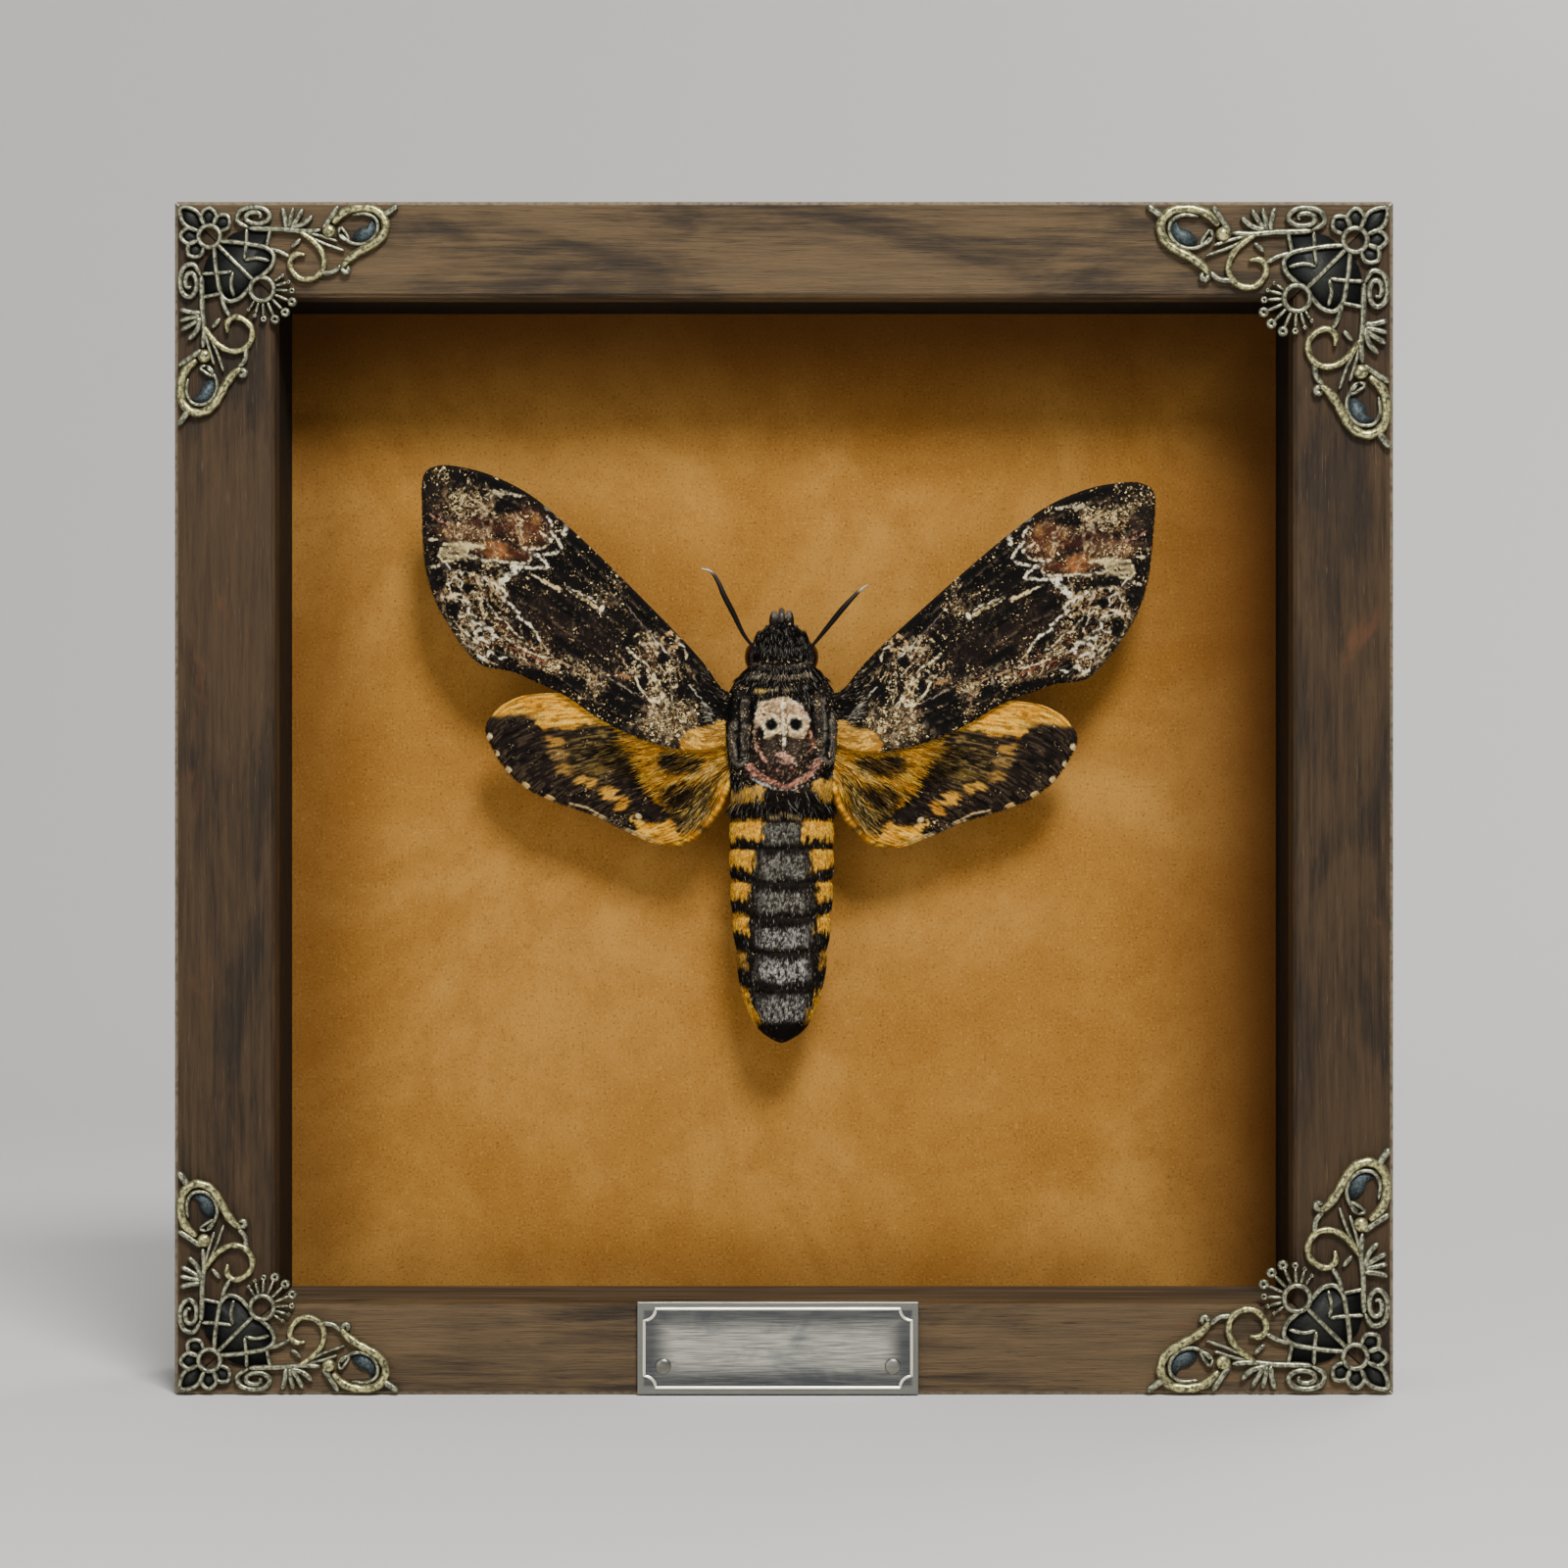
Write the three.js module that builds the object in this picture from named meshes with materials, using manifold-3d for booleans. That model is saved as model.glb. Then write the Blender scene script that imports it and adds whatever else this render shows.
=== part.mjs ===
// A death's-head hawkmoth specimen, spread and set in a deep wooden shadow-box frame.
// The frame stands on its bottom rail. Pierced metal corner mounts and a blank title plate dress its face.
// Millimetres. +X right, +Y away from the viewer, +Z up.
// The origin is the middle of the footprint, on the floor.
import * as THREE from "three";
import { mergeVertices } from "three/addons/utils/BufferGeometryUtils.js";
import Module from "manifold-3d";

const wasm = await Module();
wasm.setup();

// Driving dimensions of the frame
const FRAME_WIDTH = 200;
const FRAME_HEIGHT = 195.8;
const WOOD_DEPTH = 36;
const FRONT_Y = -WOOD_DEPTH / 2;
const BACK_Y = WOOD_DEPTH / 2;
const SIDE_RAIL = 16.4;
const TOP_RAIL = 15.7;
const BOTTOM_RAIL = 14.9;
const EDGE_CHAMFER = 0.6;
const LIP_DEPTH = 7;
const RABBET = 4;
const GAP = 0.3;
const LINER_SETBACK = 0.4;
const RECESS_DEPTH = 28;
const CARD_THICKNESS = 2;
const BOARD_THICKNESS = 3;

// Driving dimensions of the mounts on the frame's face and back
const ORNAMENT_THICKNESS = 1.4;
const ORNAMENT_WEB = 0.95;
const ORNAMENT_TOLERANCE = 0.1;
const RAY_WIDTH = 0.5;
const CORNER_MARGIN = 0.25;
const PLATE_WIDTH = 46.1;
const PLATE_HEIGHT = 15.2;
const PLATE_THICKNESS = 0.8;
const PLATE_CENTRE_X = -1;
const PLATE_BORDER_INSET = 1.15;
const PLATE_BORDER_WIDTH = 0.45;
const PLATE_BORDER_HEIGHT = 0.35;
const PLATE_NOTCH = 1.9;
const SCREW_RADIUS = 1.35;
const SCREW_RIM = 0.12;
const SCREW_DOME = 0.33;
const SCREW_SPACING = 37.6;
const SCREW_Z = 4.9;

// Driving dimensions of the moth. Its own frame has the body's axis at x 0, y 0,
// and the middle of the thorax at z 0.
const MOTH_X = -0.4;
const MOTH_Z = 109.3;
const MOTH_ABOVE_CARD = 11.5;
const WING_THICKNESS = 0.5;
const FOREWING_Y = -3.2;
const HINDWING_Y = -1.7;
const RIGHT_FOREWING_DROP = 3.4;
const RIGHT_HINDWING_DROP = 2.6;
const VEIN_HEIGHT = 0.28;
const VEIN_HALF_WIDTH = 0.02;
const THORAX_HALF_WIDTH = 9.9;
const THORAX_HALF_DEPTH = 8;
const THORAX_END_Z = -11;
const THORAX_FRONT_Z = 10.8;
const ABDOMEN_HALF_WIDTH = 9.1;
const ABDOMEN_FLATNESS = 0.84;
const HEAD_HALF_WIDTH = 6.1;
const EYE = { x: 4.5, y: 0.5, z: 12.3, rx: 1.75, ry: 2.5, rz: 2.55 };
const PALP = { x: 1.25, y: 0.6, z: 18.2, rx: 0.95, ry: 1.9, rz: 2.1 };
const ANTENNA_RADIUS = 0.5;

const SIDES = [
  { name: "left", sign: -1 },
  { name: "right", sign: 1 },
];

const metal = new THREE.MeshStandardMaterial({ color: 0xb6ab7c, roughness: 0.4, metalness: 1 });
const pewter = new THREE.MeshStandardMaterial({ color: 0x9b9c92, roughness: 0.38, metalness: 1 });
const wood = new THREE.MeshStandardMaterial({ color: 0x54463a, roughness: 0.75 });
const darkWood = new THREE.MeshStandardMaterial({ color: 0x1d1813, roughness: 0.85 });
const parchment = new THREE.MeshStandardMaterial({ color: 0xa57938, roughness: 0.9 });
const hardboard = new THREE.MeshStandardMaterial({ color: 0x6b4a2f, roughness: 0.9 });
const steel = new THREE.MeshStandardMaterial({ color: 0x8d8f90, roughness: 0.35, metalness: 1 });
const cork = new THREE.MeshStandardMaterial({ color: 0xa47c4f, roughness: 0.95 });
const fur = new THREE.MeshStandardMaterial({ color: 0x2a241f, roughness: 0.95 });
const abdomenFur = new THREE.MeshStandardMaterial({ color: 0x5b503c, roughness: 0.95 });
const forewingScale = new THREE.MeshStandardMaterial({ color: 0x2e2620, roughness: 0.9 });
const hindwingScale = new THREE.MeshStandardMaterial({ color: 0xc48a2a, roughness: 0.9 });
const chitin = new THREE.MeshStandardMaterial({ color: 0x241812, roughness: 0.4 });

const root = new THREE.Group();
const moth = new THREE.Group();
moth.position.set(MOTH_X, FRONT_Y + RECESS_DEPTH - MOTH_ABOVE_CARD, MOTH_Z);
root.add(moth);

function addNode(name, geometry, material, group = root) {
  const mesh = new THREE.Mesh(geometry, material);
  mesh.name = name;
  group.add(mesh);
}

// Helpers that pass shapes to and from the solid modeller

function solidOf(geometry) {
  const bare = geometry.index ? geometry.toNonIndexed() : geometry.clone();
  const position = new THREE.BufferGeometry().setAttribute("position", bare.getAttribute("position"));
  const merged = mergeVertices(position, 1e-4);
  const made = new wasm.Manifold(
    new wasm.Mesh({
      numProp: 3,
      vertProperties: merged.attributes.position.array,
      triVerts: new Uint32Array(merged.index.array),
    }),
  );
  if (made.volume() < 0) throw new Error("a piece faces inwards");
  return made;
}

function geometryOf(solid) {
  const bodies = solid.decompose();
  const largest = bodies.reduce((best, body) => (body.volume() > best.volume() ? body : best));
  const mesh = largest.getMesh();
  const geometry = new THREE.BufferGeometry();
  geometry.setAttribute("position", new THREE.BufferAttribute(new Float32Array(mesh.vertProperties), 3));
  geometry.setIndex(new THREE.BufferAttribute(new Uint32Array(mesh.triVerts), 1));
  return geometry;
}

function indexedGeometry(points, triangles) {
  const geometry = new THREE.BufferGeometry();
  geometry.setAttribute("position", new THREE.Float32BufferAttribute(points.flat(), 3));
  geometry.setIndex(triangles.flat());
  return geometry;
}

function boxBetween(low, high) {
  const size = high.map((value, axis) => value - low[axis]);
  const geometry = new THREE.BoxGeometry(...size);
  return geometry.translate(...low.map((value, axis) => value + size[axis] / 2));
}

// A stack of closed rings with the same number of points, joined into one closed skin with flat ends.
function stackedRings(rings) {
  const sides = rings[0].length;
  const points = rings.flat();
  const triangles = [];
  for (let ring = 0; ring + 1 < rings.length; ring++) {
    for (let side = 0; side < sides; side++) {
      const next = (side + 1) % sides;
      const [a, b] = [ring * sides + side, ring * sides + next];
      const [c, d] = [a + sides, b + sides];
      triangles.push([a, b, d], [a, d, c]);
    }
  }
  const last = (rings.length - 1) * sides;
  for (let side = 1; side + 1 < sides; side++) {
    triangles.push([0, side + 1, side], [last, last + side, last + side + 1]);
  }
  return indexedGeometry(points, triangles);
}

function smoothCurve(points) {
  const vectors = points.map(([x, z]) => new THREE.Vector3(x, 0, z));
  return new THREE.CatmullRomCurve3(vectors, false, "centripetal");
}

function sampled(points, count) {
  const curve = smoothCurve(points);
  return Array.from({ length: count }, (_, i) => {
    const p = curve.getPoint(i / (count - 1));
    return [p.x, p.z];
  });
}

// The rails and liners: a profile of [inset, depth] points run between two mitred ends

const opening = {
  left: -FRAME_WIDTH / 2 + SIDE_RAIL,
  right: FRAME_WIDTH / 2 - SIDE_RAIL,
  bottom: BOTTOM_RAIL,
  top: FRAME_HEIGHT - TOP_RAIL,
};

const RAILS = [
  { name: "bottom", width: BOTTOM_RAIL, place: (along, inset) => [along, inset] },
  { name: "top", width: TOP_RAIL, place: (along, inset) => [-along, FRAME_HEIGHT - inset] },
  {
    name: "left",
    width: SIDE_RAIL,
    place: (along, inset) => [-FRAME_WIDTH / 2 + inset, FRAME_HEIGHT / 2 - along],
  },
  {
    name: "right",
    width: SIDE_RAIL,
    place: (along, inset) => [FRAME_WIDTH / 2 - inset, FRAME_HEIGHT / 2 + along],
  },
];

function mitredStrip(rail, profile) {
  const upright = rail.name === "left" || rail.name === "right";
  const half = (upright ? FRAME_HEIGHT : FRAME_WIDTH) / 2;
  const neighbours = { bottom: [SIDE_RAIL, SIDE_RAIL], top: [SIDE_RAIL, SIDE_RAIL] };
  neighbours.left = [TOP_RAIL, BOTTOM_RAIL];
  neighbours.right = [BOTTOM_RAIL, TOP_RAIL];
  const [startWidth, endWidth] = neighbours[rail.name];
  const rings = [startWidth, endWidth].map((neighbour, end) =>
    profile.map(([inset, depth]) => {
      const reach = half - (inset / rail.width) * neighbour - GAP / 2;
      const [x, z] = rail.place(end ? reach : -reach, inset);
      return [x, depth, z];
    }),
  );
  const points = rings.flat();
  const count = profile.length;
  const caps = THREE.ShapeUtils.triangulateShape(
    profile.map(([x, y]) => new THREE.Vector2(x, y)),
    [],
  );
  const triangles = [];
  for (let i = 0; i < count; i++) {
    const next = (i + 1) % count;
    triangles.push([i, next, count + next], [i, count + next, count + i]);
  }
  for (const [a, b, c] of caps) triangles.push([c, b, a], [count + a, count + b, count + c]);
  const geometry = indexedGeometry(points, triangles);
  if (signedVolume(points, triangles) < 0) geometry.setIndex(triangles.flatMap(([a, b, c]) => [a, c, b]));
  return geometry;
}

function signedVolume(points, triangles) {
  const corner = (i) => new THREE.Vector3(...points[i]);
  return triangles.reduce((sum, [a, b, c]) => sum + corner(a).dot(corner(b).cross(corner(c))), 0);
}

for (const rail of RAILS) {
  const lipBack = FRONT_Y + LIP_DEPTH;
  const railProfile = [
    [EDGE_CHAMFER, FRONT_Y],
    [rail.width - EDGE_CHAMFER, FRONT_Y],
    [rail.width, FRONT_Y + EDGE_CHAMFER],
    [rail.width, lipBack],
    [rail.width - RABBET, lipBack],
    [rail.width - RABBET, BACK_Y],
    [0, BACK_Y],
    [0, FRONT_Y + EDGE_CHAMFER],
  ];
  addNode("rail_" + rail.name, mitredStrip(rail, railProfile), wood);
  const linerOuter = rail.width - RABBET + GAP;
  const linerInner = rail.width - LINER_SETBACK;
  const linerProfile = [
    [linerOuter, lipBack + GAP],
    [linerInner, lipBack + GAP],
    [linerInner, FRONT_Y + RECESS_DEPTH - GAP],
    [linerOuter, FRONT_Y + RECESS_DEPTH - GAP],
  ];
  addNode("liner_" + rail.name, mitredStrip(rail, linerProfile), darkWood);
}

// The parchment card and the hardboard back lie in the rabbet, behind the liners

const rabbetReach = RABBET - GAP;
const boardLow = [opening.left - rabbetReach, opening.bottom - rabbetReach];
const boardHigh = [opening.right + rabbetReach, opening.top + rabbetReach];

function boardAt(front, thickness) {
  return boxBetween(
    [boardLow[0], front, boardLow[1]],
    [boardHigh[0], front + thickness, boardHigh[1]],
  );
}

const cardFront = FRONT_Y + RECESS_DEPTH;
const boardFront = cardFront + CARD_THICKNESS + GAP;
const boardBack = boardFront + BOARD_THICKNESS;
addNode("backing_card", boardAt(cardFront, CARD_THICKNESS), parchment);
addNode("back_board", boardAt(boardFront, BOARD_THICKNESS), hardboard);

// Two bent metal points on each side hold the hardboard in
const TAB = { length: 11, width: 6, thickness: 0.6, spacing: 44 };
for (const along of [-TAB.spacing, TAB.spacing]) {
  const level = FRAME_HEIGHT / 2 + along;
  const tabs = {
    bottom: [along - TAB.length / 2, boardLow[1], along + TAB.length / 2, boardLow[1] + TAB.width],
    top: [along - TAB.length / 2, boardHigh[1] - TAB.width, along + TAB.length / 2, boardHigh[1]],
    left: [boardLow[0], level - TAB.length / 2, boardLow[0] + TAB.width, level + TAB.length / 2],
    right: [boardHigh[0] - TAB.width, level - TAB.length / 2, boardHigh[0], level + TAB.length / 2],
  };
  for (const [side, [x0, z0, x1, z1]] of Object.entries(tabs)) {
    const front = boardBack + GAP;
    const name = `back_tab_${side}_${along < 0 ? "a" : "b"}`;
    addNode(name, boxBetween([x0, front, z0], [x1, front + TAB.thickness, z1]), steel);
  }
}

// A sawtooth hanger on the back of the top rail
const HANGER = { width: 44, height: 8, thickness: 1.4, teeth: 9, toothDepth: 1.6, toothPitch: 3.2 };
{
  const outline = new THREE.Shape();
  const bottom = -HANGER.height / 2;
  outline.moveTo(-HANGER.width / 2, bottom);
  const first = (-HANGER.teeth / 2) * HANGER.toothPitch;
  for (let tooth = 0; tooth < HANGER.teeth; tooth++) {
    const x = first + tooth * HANGER.toothPitch;
    outline.lineTo(x, bottom);
    outline.lineTo(x + HANGER.toothPitch / 2, bottom + HANGER.toothDepth);
  }
  outline.lineTo(first + HANGER.teeth * HANGER.toothPitch, bottom);
  outline.lineTo(HANGER.width / 2, bottom);
  outline.lineTo(HANGER.width / 2, -bottom);
  outline.lineTo(-HANGER.width / 2, -bottom);
  const plate = new THREE.ExtrudeGeometry(outline, { depth: HANGER.thickness, bevelEnabled: false });
  plate.rotateX(-Math.PI / 2).rotateX(Math.PI);
  plate.translate(0, BACK_Y + GAP + HANGER.thickness, FRAME_HEIGHT - TOP_RAIL / 2);
  plate.computeBoundingBox();
  plate.translate(0, BACK_Y + GAP - plate.boundingBox.min.y, 0);
  addNode("sawtooth_hanger", geometryOf(solidOf(plate)), steel);
}

// The pierced corner mounts. Strokes are in [a, b] from the frame's corner,
// where a runs along one edge and b along the other.
// Each stroke of this half is repeated with a and b swapped.
const FLOWER = { centre: 5.8, radius: 1.75 };
const ROSETTE = { centre: 14.7, radius: 2 };
const FLOWER_PETALS = [
  { angle: 225, length: 6.7, width: 1.15, onDiagonal: true },
  { angle: 268, length: 4.7, width: 1.1 },
  { angle: 312, length: 4.5, width: 1.1 },
];
const ROSETTE_RAYS = [
  { angle: 45, reach: 5.5, bead: 0.8, onDiagonal: true },
  { angle: 23, reach: 5.5, bead: 0.75 },
  { angle: 2, reach: 4.9, bead: 0.5 },
  { angle: -17, reach: 4.6, bead: 0.4 },
  { angle: -36, reach: 4.4, bead: 0.35 },
];
const SPIRAL = { centre: [13.7, 2.3], radii: [3.2, 2], turns: 1.6, startAngle: 110, endShare: 0.2 };
const STROKES = [
  // The stem with its bar, and the four fingers that stand on it
  { points: [[12.6, 4.3], [17.1, 4.5], [21.4, 4.8], [25, 4.4], [27.7, 0.5]], width: 0.8, samples: 4 },
  { points: [[18.7, 4.4], [18.3, 2.8], [18.1, 0.9]], width: 0.85, samples: 2 },
  { points: [[19.5, 4.3], [20, 0.9]], width: 0.75, samples: 2 },
  { points: [[19.8, 4.3], [21.7, 1.3]], width: 0.75, samples: 2 },
  { points: [[19.6, 4.3], [21.6, 3.8], [23, 2.4]], width: 0.8, samples: 3 },
  // The teardrop at the tip, with its tail, and the scalloped edge below it
  {
    points: [
      [26.7, 3.7], [28.9, 1.5], [31.5, 0.95], [34.3, 1.5], [35.5, 3.5],
      [34.9, 5.8], [32.6, 7.4], [30.3, 7.6], [28.4, 6.5], [27.5, 5.2],
    ],
    width: 0.9,
    samples: 8,
  },
  { points: [[35.2, 2.4], [37.6, 0.6]], width: 0.9, samples: 2 },
  { points: [[35.2, 5.6], [33.4, 7.7], [30.9, 8.8], [28.9, 10.1], [28, 11.2]], width: 0.95, samples: 4 },
  { points: [[28.2, 10.8], [24.3, 12]], width: 0.7, samples: 2 },
  // The hooked curl
  {
    points: [
      [21, 4.9], [23.9, 7.2], [25.2, 9.6], [24.7, 11.7], [22.9, 13],
      [20.9, 12.7], [19.6, 11.1], [19.5, 9.6], [20.7, 8.7], [21.9, 9.1],
    ],
    width: 0.8,
    samples: 8,
  },
  { points: [[21.6, 13], [22.4, 13.9]], width: 1.4, samples: 2 },
  // The lattice between the flower and the rosette
  { points: [[7.2, 6.7], [12, 7], [15.6, 7.8], [16.3, 9.9], [13.2, 13.2]], width: 0.7, samples: 4 },
  { points: [[12.1, 4.4], [12, 7], [11.7, 9.6], [15.9, 9.8]], width: 0.6, samples: 4, straight: true },
  { points: [[16.1, 4.5], [15.4, 7.8]], width: 0.6, samples: 2 },
  { points: [[15.6, 7.8], [19.6, 9.3]], width: 0.6, samples: 2 },
];
const DIAGONAL_STROKES = [{ points: [[6.8, 6.8], [13.3, 13.3]], width: 0.65, samples: 2 }];
const BALL = { at: [26, 4.9], radius: 1.15 };

// A flat strip along a line. A width given as a pair runs from the first to the second.
function stripPrism(centreline, widths, height, closed = false) {
  const count = centreline.length;
  const [startWidth, endWidth] = Array.isArray(widths) ? widths : [widths, widths];
  const side = centreline.map((_, i) => {
    const [px, py] = centreline[closed ? (i + count - 1) % count : Math.max(i - 1, 0)];
    const [nx, ny] = centreline[closed ? (i + 1) % count : Math.min(i + 1, count - 1)];
    const width = THREE.MathUtils.lerp(startWidth, endWidth, i / (count - 1));
    const scale = width / 2 / Math.hypot(nx - px, ny - py);
    return [-(ny - py) * scale, (nx - px) * scale];
  });
  const left = centreline.map(([x, y], i) => new THREE.Vector2(x + side[i][0], y + side[i][1]));
  const right = centreline.map(([x, y], i) => new THREE.Vector2(x - side[i][0], y - side[i][1]));
  let shape;
  if (closed) {
    const leftIsOuter = Math.abs(THREE.ShapeUtils.area(left)) > Math.abs(THREE.ShapeUtils.area(right));
    shape = new THREE.Shape(leftIsOuter ? left : right);
    shape.holes.push(new THREE.Path(leftIsOuter ? right : left));
  } else {
    shape = new THREE.Shape([...left, ...right.reverse()]);
  }
  return new THREE.ExtrudeGeometry(shape, { depth: height, bevelEnabled: false });
}

function circlePoints(centre, radius, count) {
  return Array.from({ length: count }, (_, i) => {
    const angle = (i / count) * 2 * Math.PI;
    return [centre + radius * Math.cos(angle), centre + radius * Math.sin(angle)];
  });
}

function along(centre, degrees, distance) {
  const angle = THREE.MathUtils.degToRad(degrees);
  return [centre + distance * Math.cos(angle), centre + distance * Math.sin(angle)];
}

function petalStroke({ angle, length, width }) {
  const spread = 24;
  const rim = FLOWER.radius;
  const middle = along(FLOWER.centre, angle, rim * 0.3 + length * 0.7);
  const across = THREE.MathUtils.degToRad(angle + 90);
  const shift = [Math.cos(across) * width, Math.sin(across) * width];
  return [
    along(FLOWER.centre, angle - spread, rim),
    [middle[0] - shift[0], middle[1] - shift[1]],
    along(FLOWER.centre, angle, length),
    [middle[0] + shift[0], middle[1] + shift[1]],
  ];
}

function spiralStroke() {
  const count = 9;
  return Array.from({ length: count }, (_, i) => {
    const share = i / (count - 1);
    const angle = THREE.MathUtils.degToRad(SPIRAL.startAngle + share * SPIRAL.turns * 360);
    const size = 1 - share * (1 - SPIRAL.endShare);
    const [centreA, centreB] = SPIRAL.centre;
    return [
      centreA + SPIRAL.radii[0] * size * Math.cos(angle),
      centreB + SPIRAL.radii[1] * size * Math.sin(angle),
    ];
  });
}

function cornerPieces() {
  const strips = [];
  const mirrored = (points) => points.map(([a, b]) => [b, a]);
  const addBoth = (points, width, height, onDiagonal) => {
    strips.push(stripPrism(points, width, height));
    if (!onDiagonal) strips.push(stripPrism(mirrored(points), width, height));
  };
  for (const { points, width, samples, straight } of STROKES) {
    addBoth(straight ? points : sampled(points, samples), width, ORNAMENT_WEB, false);
  }
  for (const { points, width } of DIAGONAL_STROKES) addBoth(points, width, ORNAMENT_WEB, true);
  for (const petal of FLOWER_PETALS) addBoth(petalStroke(petal), 0.6, ORNAMENT_WEB, petal.onDiagonal);
  addBoth(spiralStroke(), 0.75, ORNAMENT_WEB, false);
  for (const { angle, reach, bead, onDiagonal } of ROSETTE_RAYS) {
    const ray = [along(ROSETTE.centre, angle, ROSETTE.radius), along(ROSETTE.centre, angle, reach)];
    addBoth(ray, [RAY_WIDTH, bead * 2], ORNAMENT_WEB, onDiagonal);
  }
  strips.push(stripPrism(circlePoints(FLOWER.centre, FLOWER.radius, 8), 0.75, ORNAMENT_WEB, true));
  strips.push(stripPrism(circlePoints(ROSETTE.centre, ROSETTE.radius, 9), 0.8, ORNAMENT_WEB, true));
  const ball = new THREE.CylinderGeometry(BALL.radius * 0.6, BALL.radius, ORNAMENT_THICKNESS, 7);
  ball.rotateX(Math.PI / 2).translate(0, 0, ORNAMENT_THICKNESS / 2);
  strips.push(ball.clone().translate(BALL.at[0], BALL.at[1], 0));
  strips.push(ball.clone().translate(BALL.at[1], BALL.at[0], 0));
  return strips;
}

// Each corner's place, the directions of a and b, and its size beside the drawn one
const CORNERS = [
  { name: "top_left", x: -1, z: 1, size: 0.97 },
  { name: "top_right", x: 1, z: 1, size: 1.07 },
  { name: "bottom_left", x: -1, z: -1, size: 0.97 },
  { name: "bottom_right", x: 1, z: -1, size: 1.07 },
];

const cornerSolid = wasm.Manifold.union(cornerPieces().map(solidOf)).simplify(ORNAMENT_TOLERANCE);
for (const corner of CORNERS) {
  const geometry = geometryOf(cornerSolid);
  const edgeX = corner.x * (FRAME_WIDTH / 2 - CORNER_MARGIN);
  const edgeZ = corner.z > 0 ? FRAME_HEIGHT - CORNER_MARGIN : CORNER_MARGIN;
  const position = geometry.getAttribute("position");
  for (let i = 0; i < position.count; i++) {
    const [a, b, height] = [position.getX(i), position.getY(i), position.getZ(i)];
    const x = edgeX - corner.x * Math.max(a * corner.size, 0);
    const z = edgeZ - corner.z * Math.max(b * corner.size, 0);
    position.setXYZ(i, x, FRONT_Y - GAP - height, z);
  }
  if (corner.x * corner.z < 0) {
    const index = geometry.index.array;
    for (let i = 0; i < index.length; i += 3) [index[i + 1], index[i + 2]] = [index[i + 2], index[i + 1]];
  }
  addNode("corner_" + corner.name, geometry, metal);
}

// The blank title plate: a thin plate with a raised border line whose corners are notched in
function notchedOutline(halfWidth, halfHeight, notch) {
  const outline = [];
  const corners = [[1, -1, 90], [1, 1, 180], [-1, 1, 270], [-1, -1, 0]];
  for (const [x, z, start] of corners) {
    for (const step of [90, 45, 0]) {
      const angle = THREE.MathUtils.degToRad(start + step);
      outline.push([x * halfWidth + notch * Math.cos(angle), z * halfHeight + notch * Math.sin(angle)]);
    }
  }
  return outline;
}

{
  const plateZ = CORNER_MARGIN + PLATE_HEIGHT / 2;
  const plateBack = FRONT_Y - GAP;
  const plate = boxBetween(
    [-PLATE_WIDTH / 2, -PLATE_THICKNESS, -PLATE_HEIGHT / 2],
    [PLATE_WIDTH / 2, 0, PLATE_HEIGHT / 2],
  );
  const halfWidth = PLATE_WIDTH / 2 - PLATE_BORDER_INSET;
  const halfHeight = PLATE_HEIGHT / 2 - PLATE_BORDER_INSET;
  const line = notchedOutline(halfWidth, halfHeight, PLATE_NOTCH);
  const border = stripPrism(line, PLATE_BORDER_WIDTH, PLATE_BORDER_HEIGHT + PLATE_THICKNESS / 2, true);
  border.rotateX(Math.PI / 2).translate(0, -PLATE_THICKNESS / 2, 0);
  const solid = solidOf(plate).add(solidOf(border));
  addNode("title_plate", geometryOf(solid).translate(PLATE_CENTRE_X, plateBack, plateZ), pewter);
  const dome = Array.from({ length: 6 }, (_, i) => {
    const angle = (i / 5) * (Math.PI / 2);
    const radius = i === 5 ? 0 : SCREW_RADIUS * Math.cos(angle);
    return new THREE.Vector2(radius, SCREW_RIM + SCREW_DOME * Math.sin(angle));
  });
  const profile = [new THREE.Vector2(0, 0), new THREE.Vector2(SCREW_RADIUS, 0), ...dome];
  for (const { name, sign } of SIDES) {
    const screw = new THREE.LatheGeometry(profile, 12).rotateX(Math.PI);
    const x = PLATE_CENTRE_X + (sign * SCREW_SPACING) / 2;
    screw.translate(x, plateBack - PLATE_THICKNESS - GAP / 2, SCREW_Z);
    addNode("plate_screw_" + name, screw, steel);
  }
}

// The moth's body: rings of [z, half width, half depth, shift towards the card]

function bodyLoft(rings, sides, grow = 0) {
  return stackedRings(
    rings.map(([z, halfWidth, halfDepth, shift = 0]) =>
      Array.from({ length: sides }, (_, i) => {
        const angle = (i / sides) * 2 * Math.PI;
        return [
          (halfWidth + grow) * Math.cos(angle),
          shift + (halfDepth + grow) * Math.sin(angle),
          z,
        ];
      }),
    ),
  );
}

function ellipsoid({ x, y, z, rx, ry, rz }, grow = 0, detail = 14) {
  const ball = new THREE.SphereGeometry(1, detail, Math.round(detail * 0.65));
  return ball.scale(rx + grow, ry + grow, rz + grow).translate(x, y, z);
}

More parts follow.
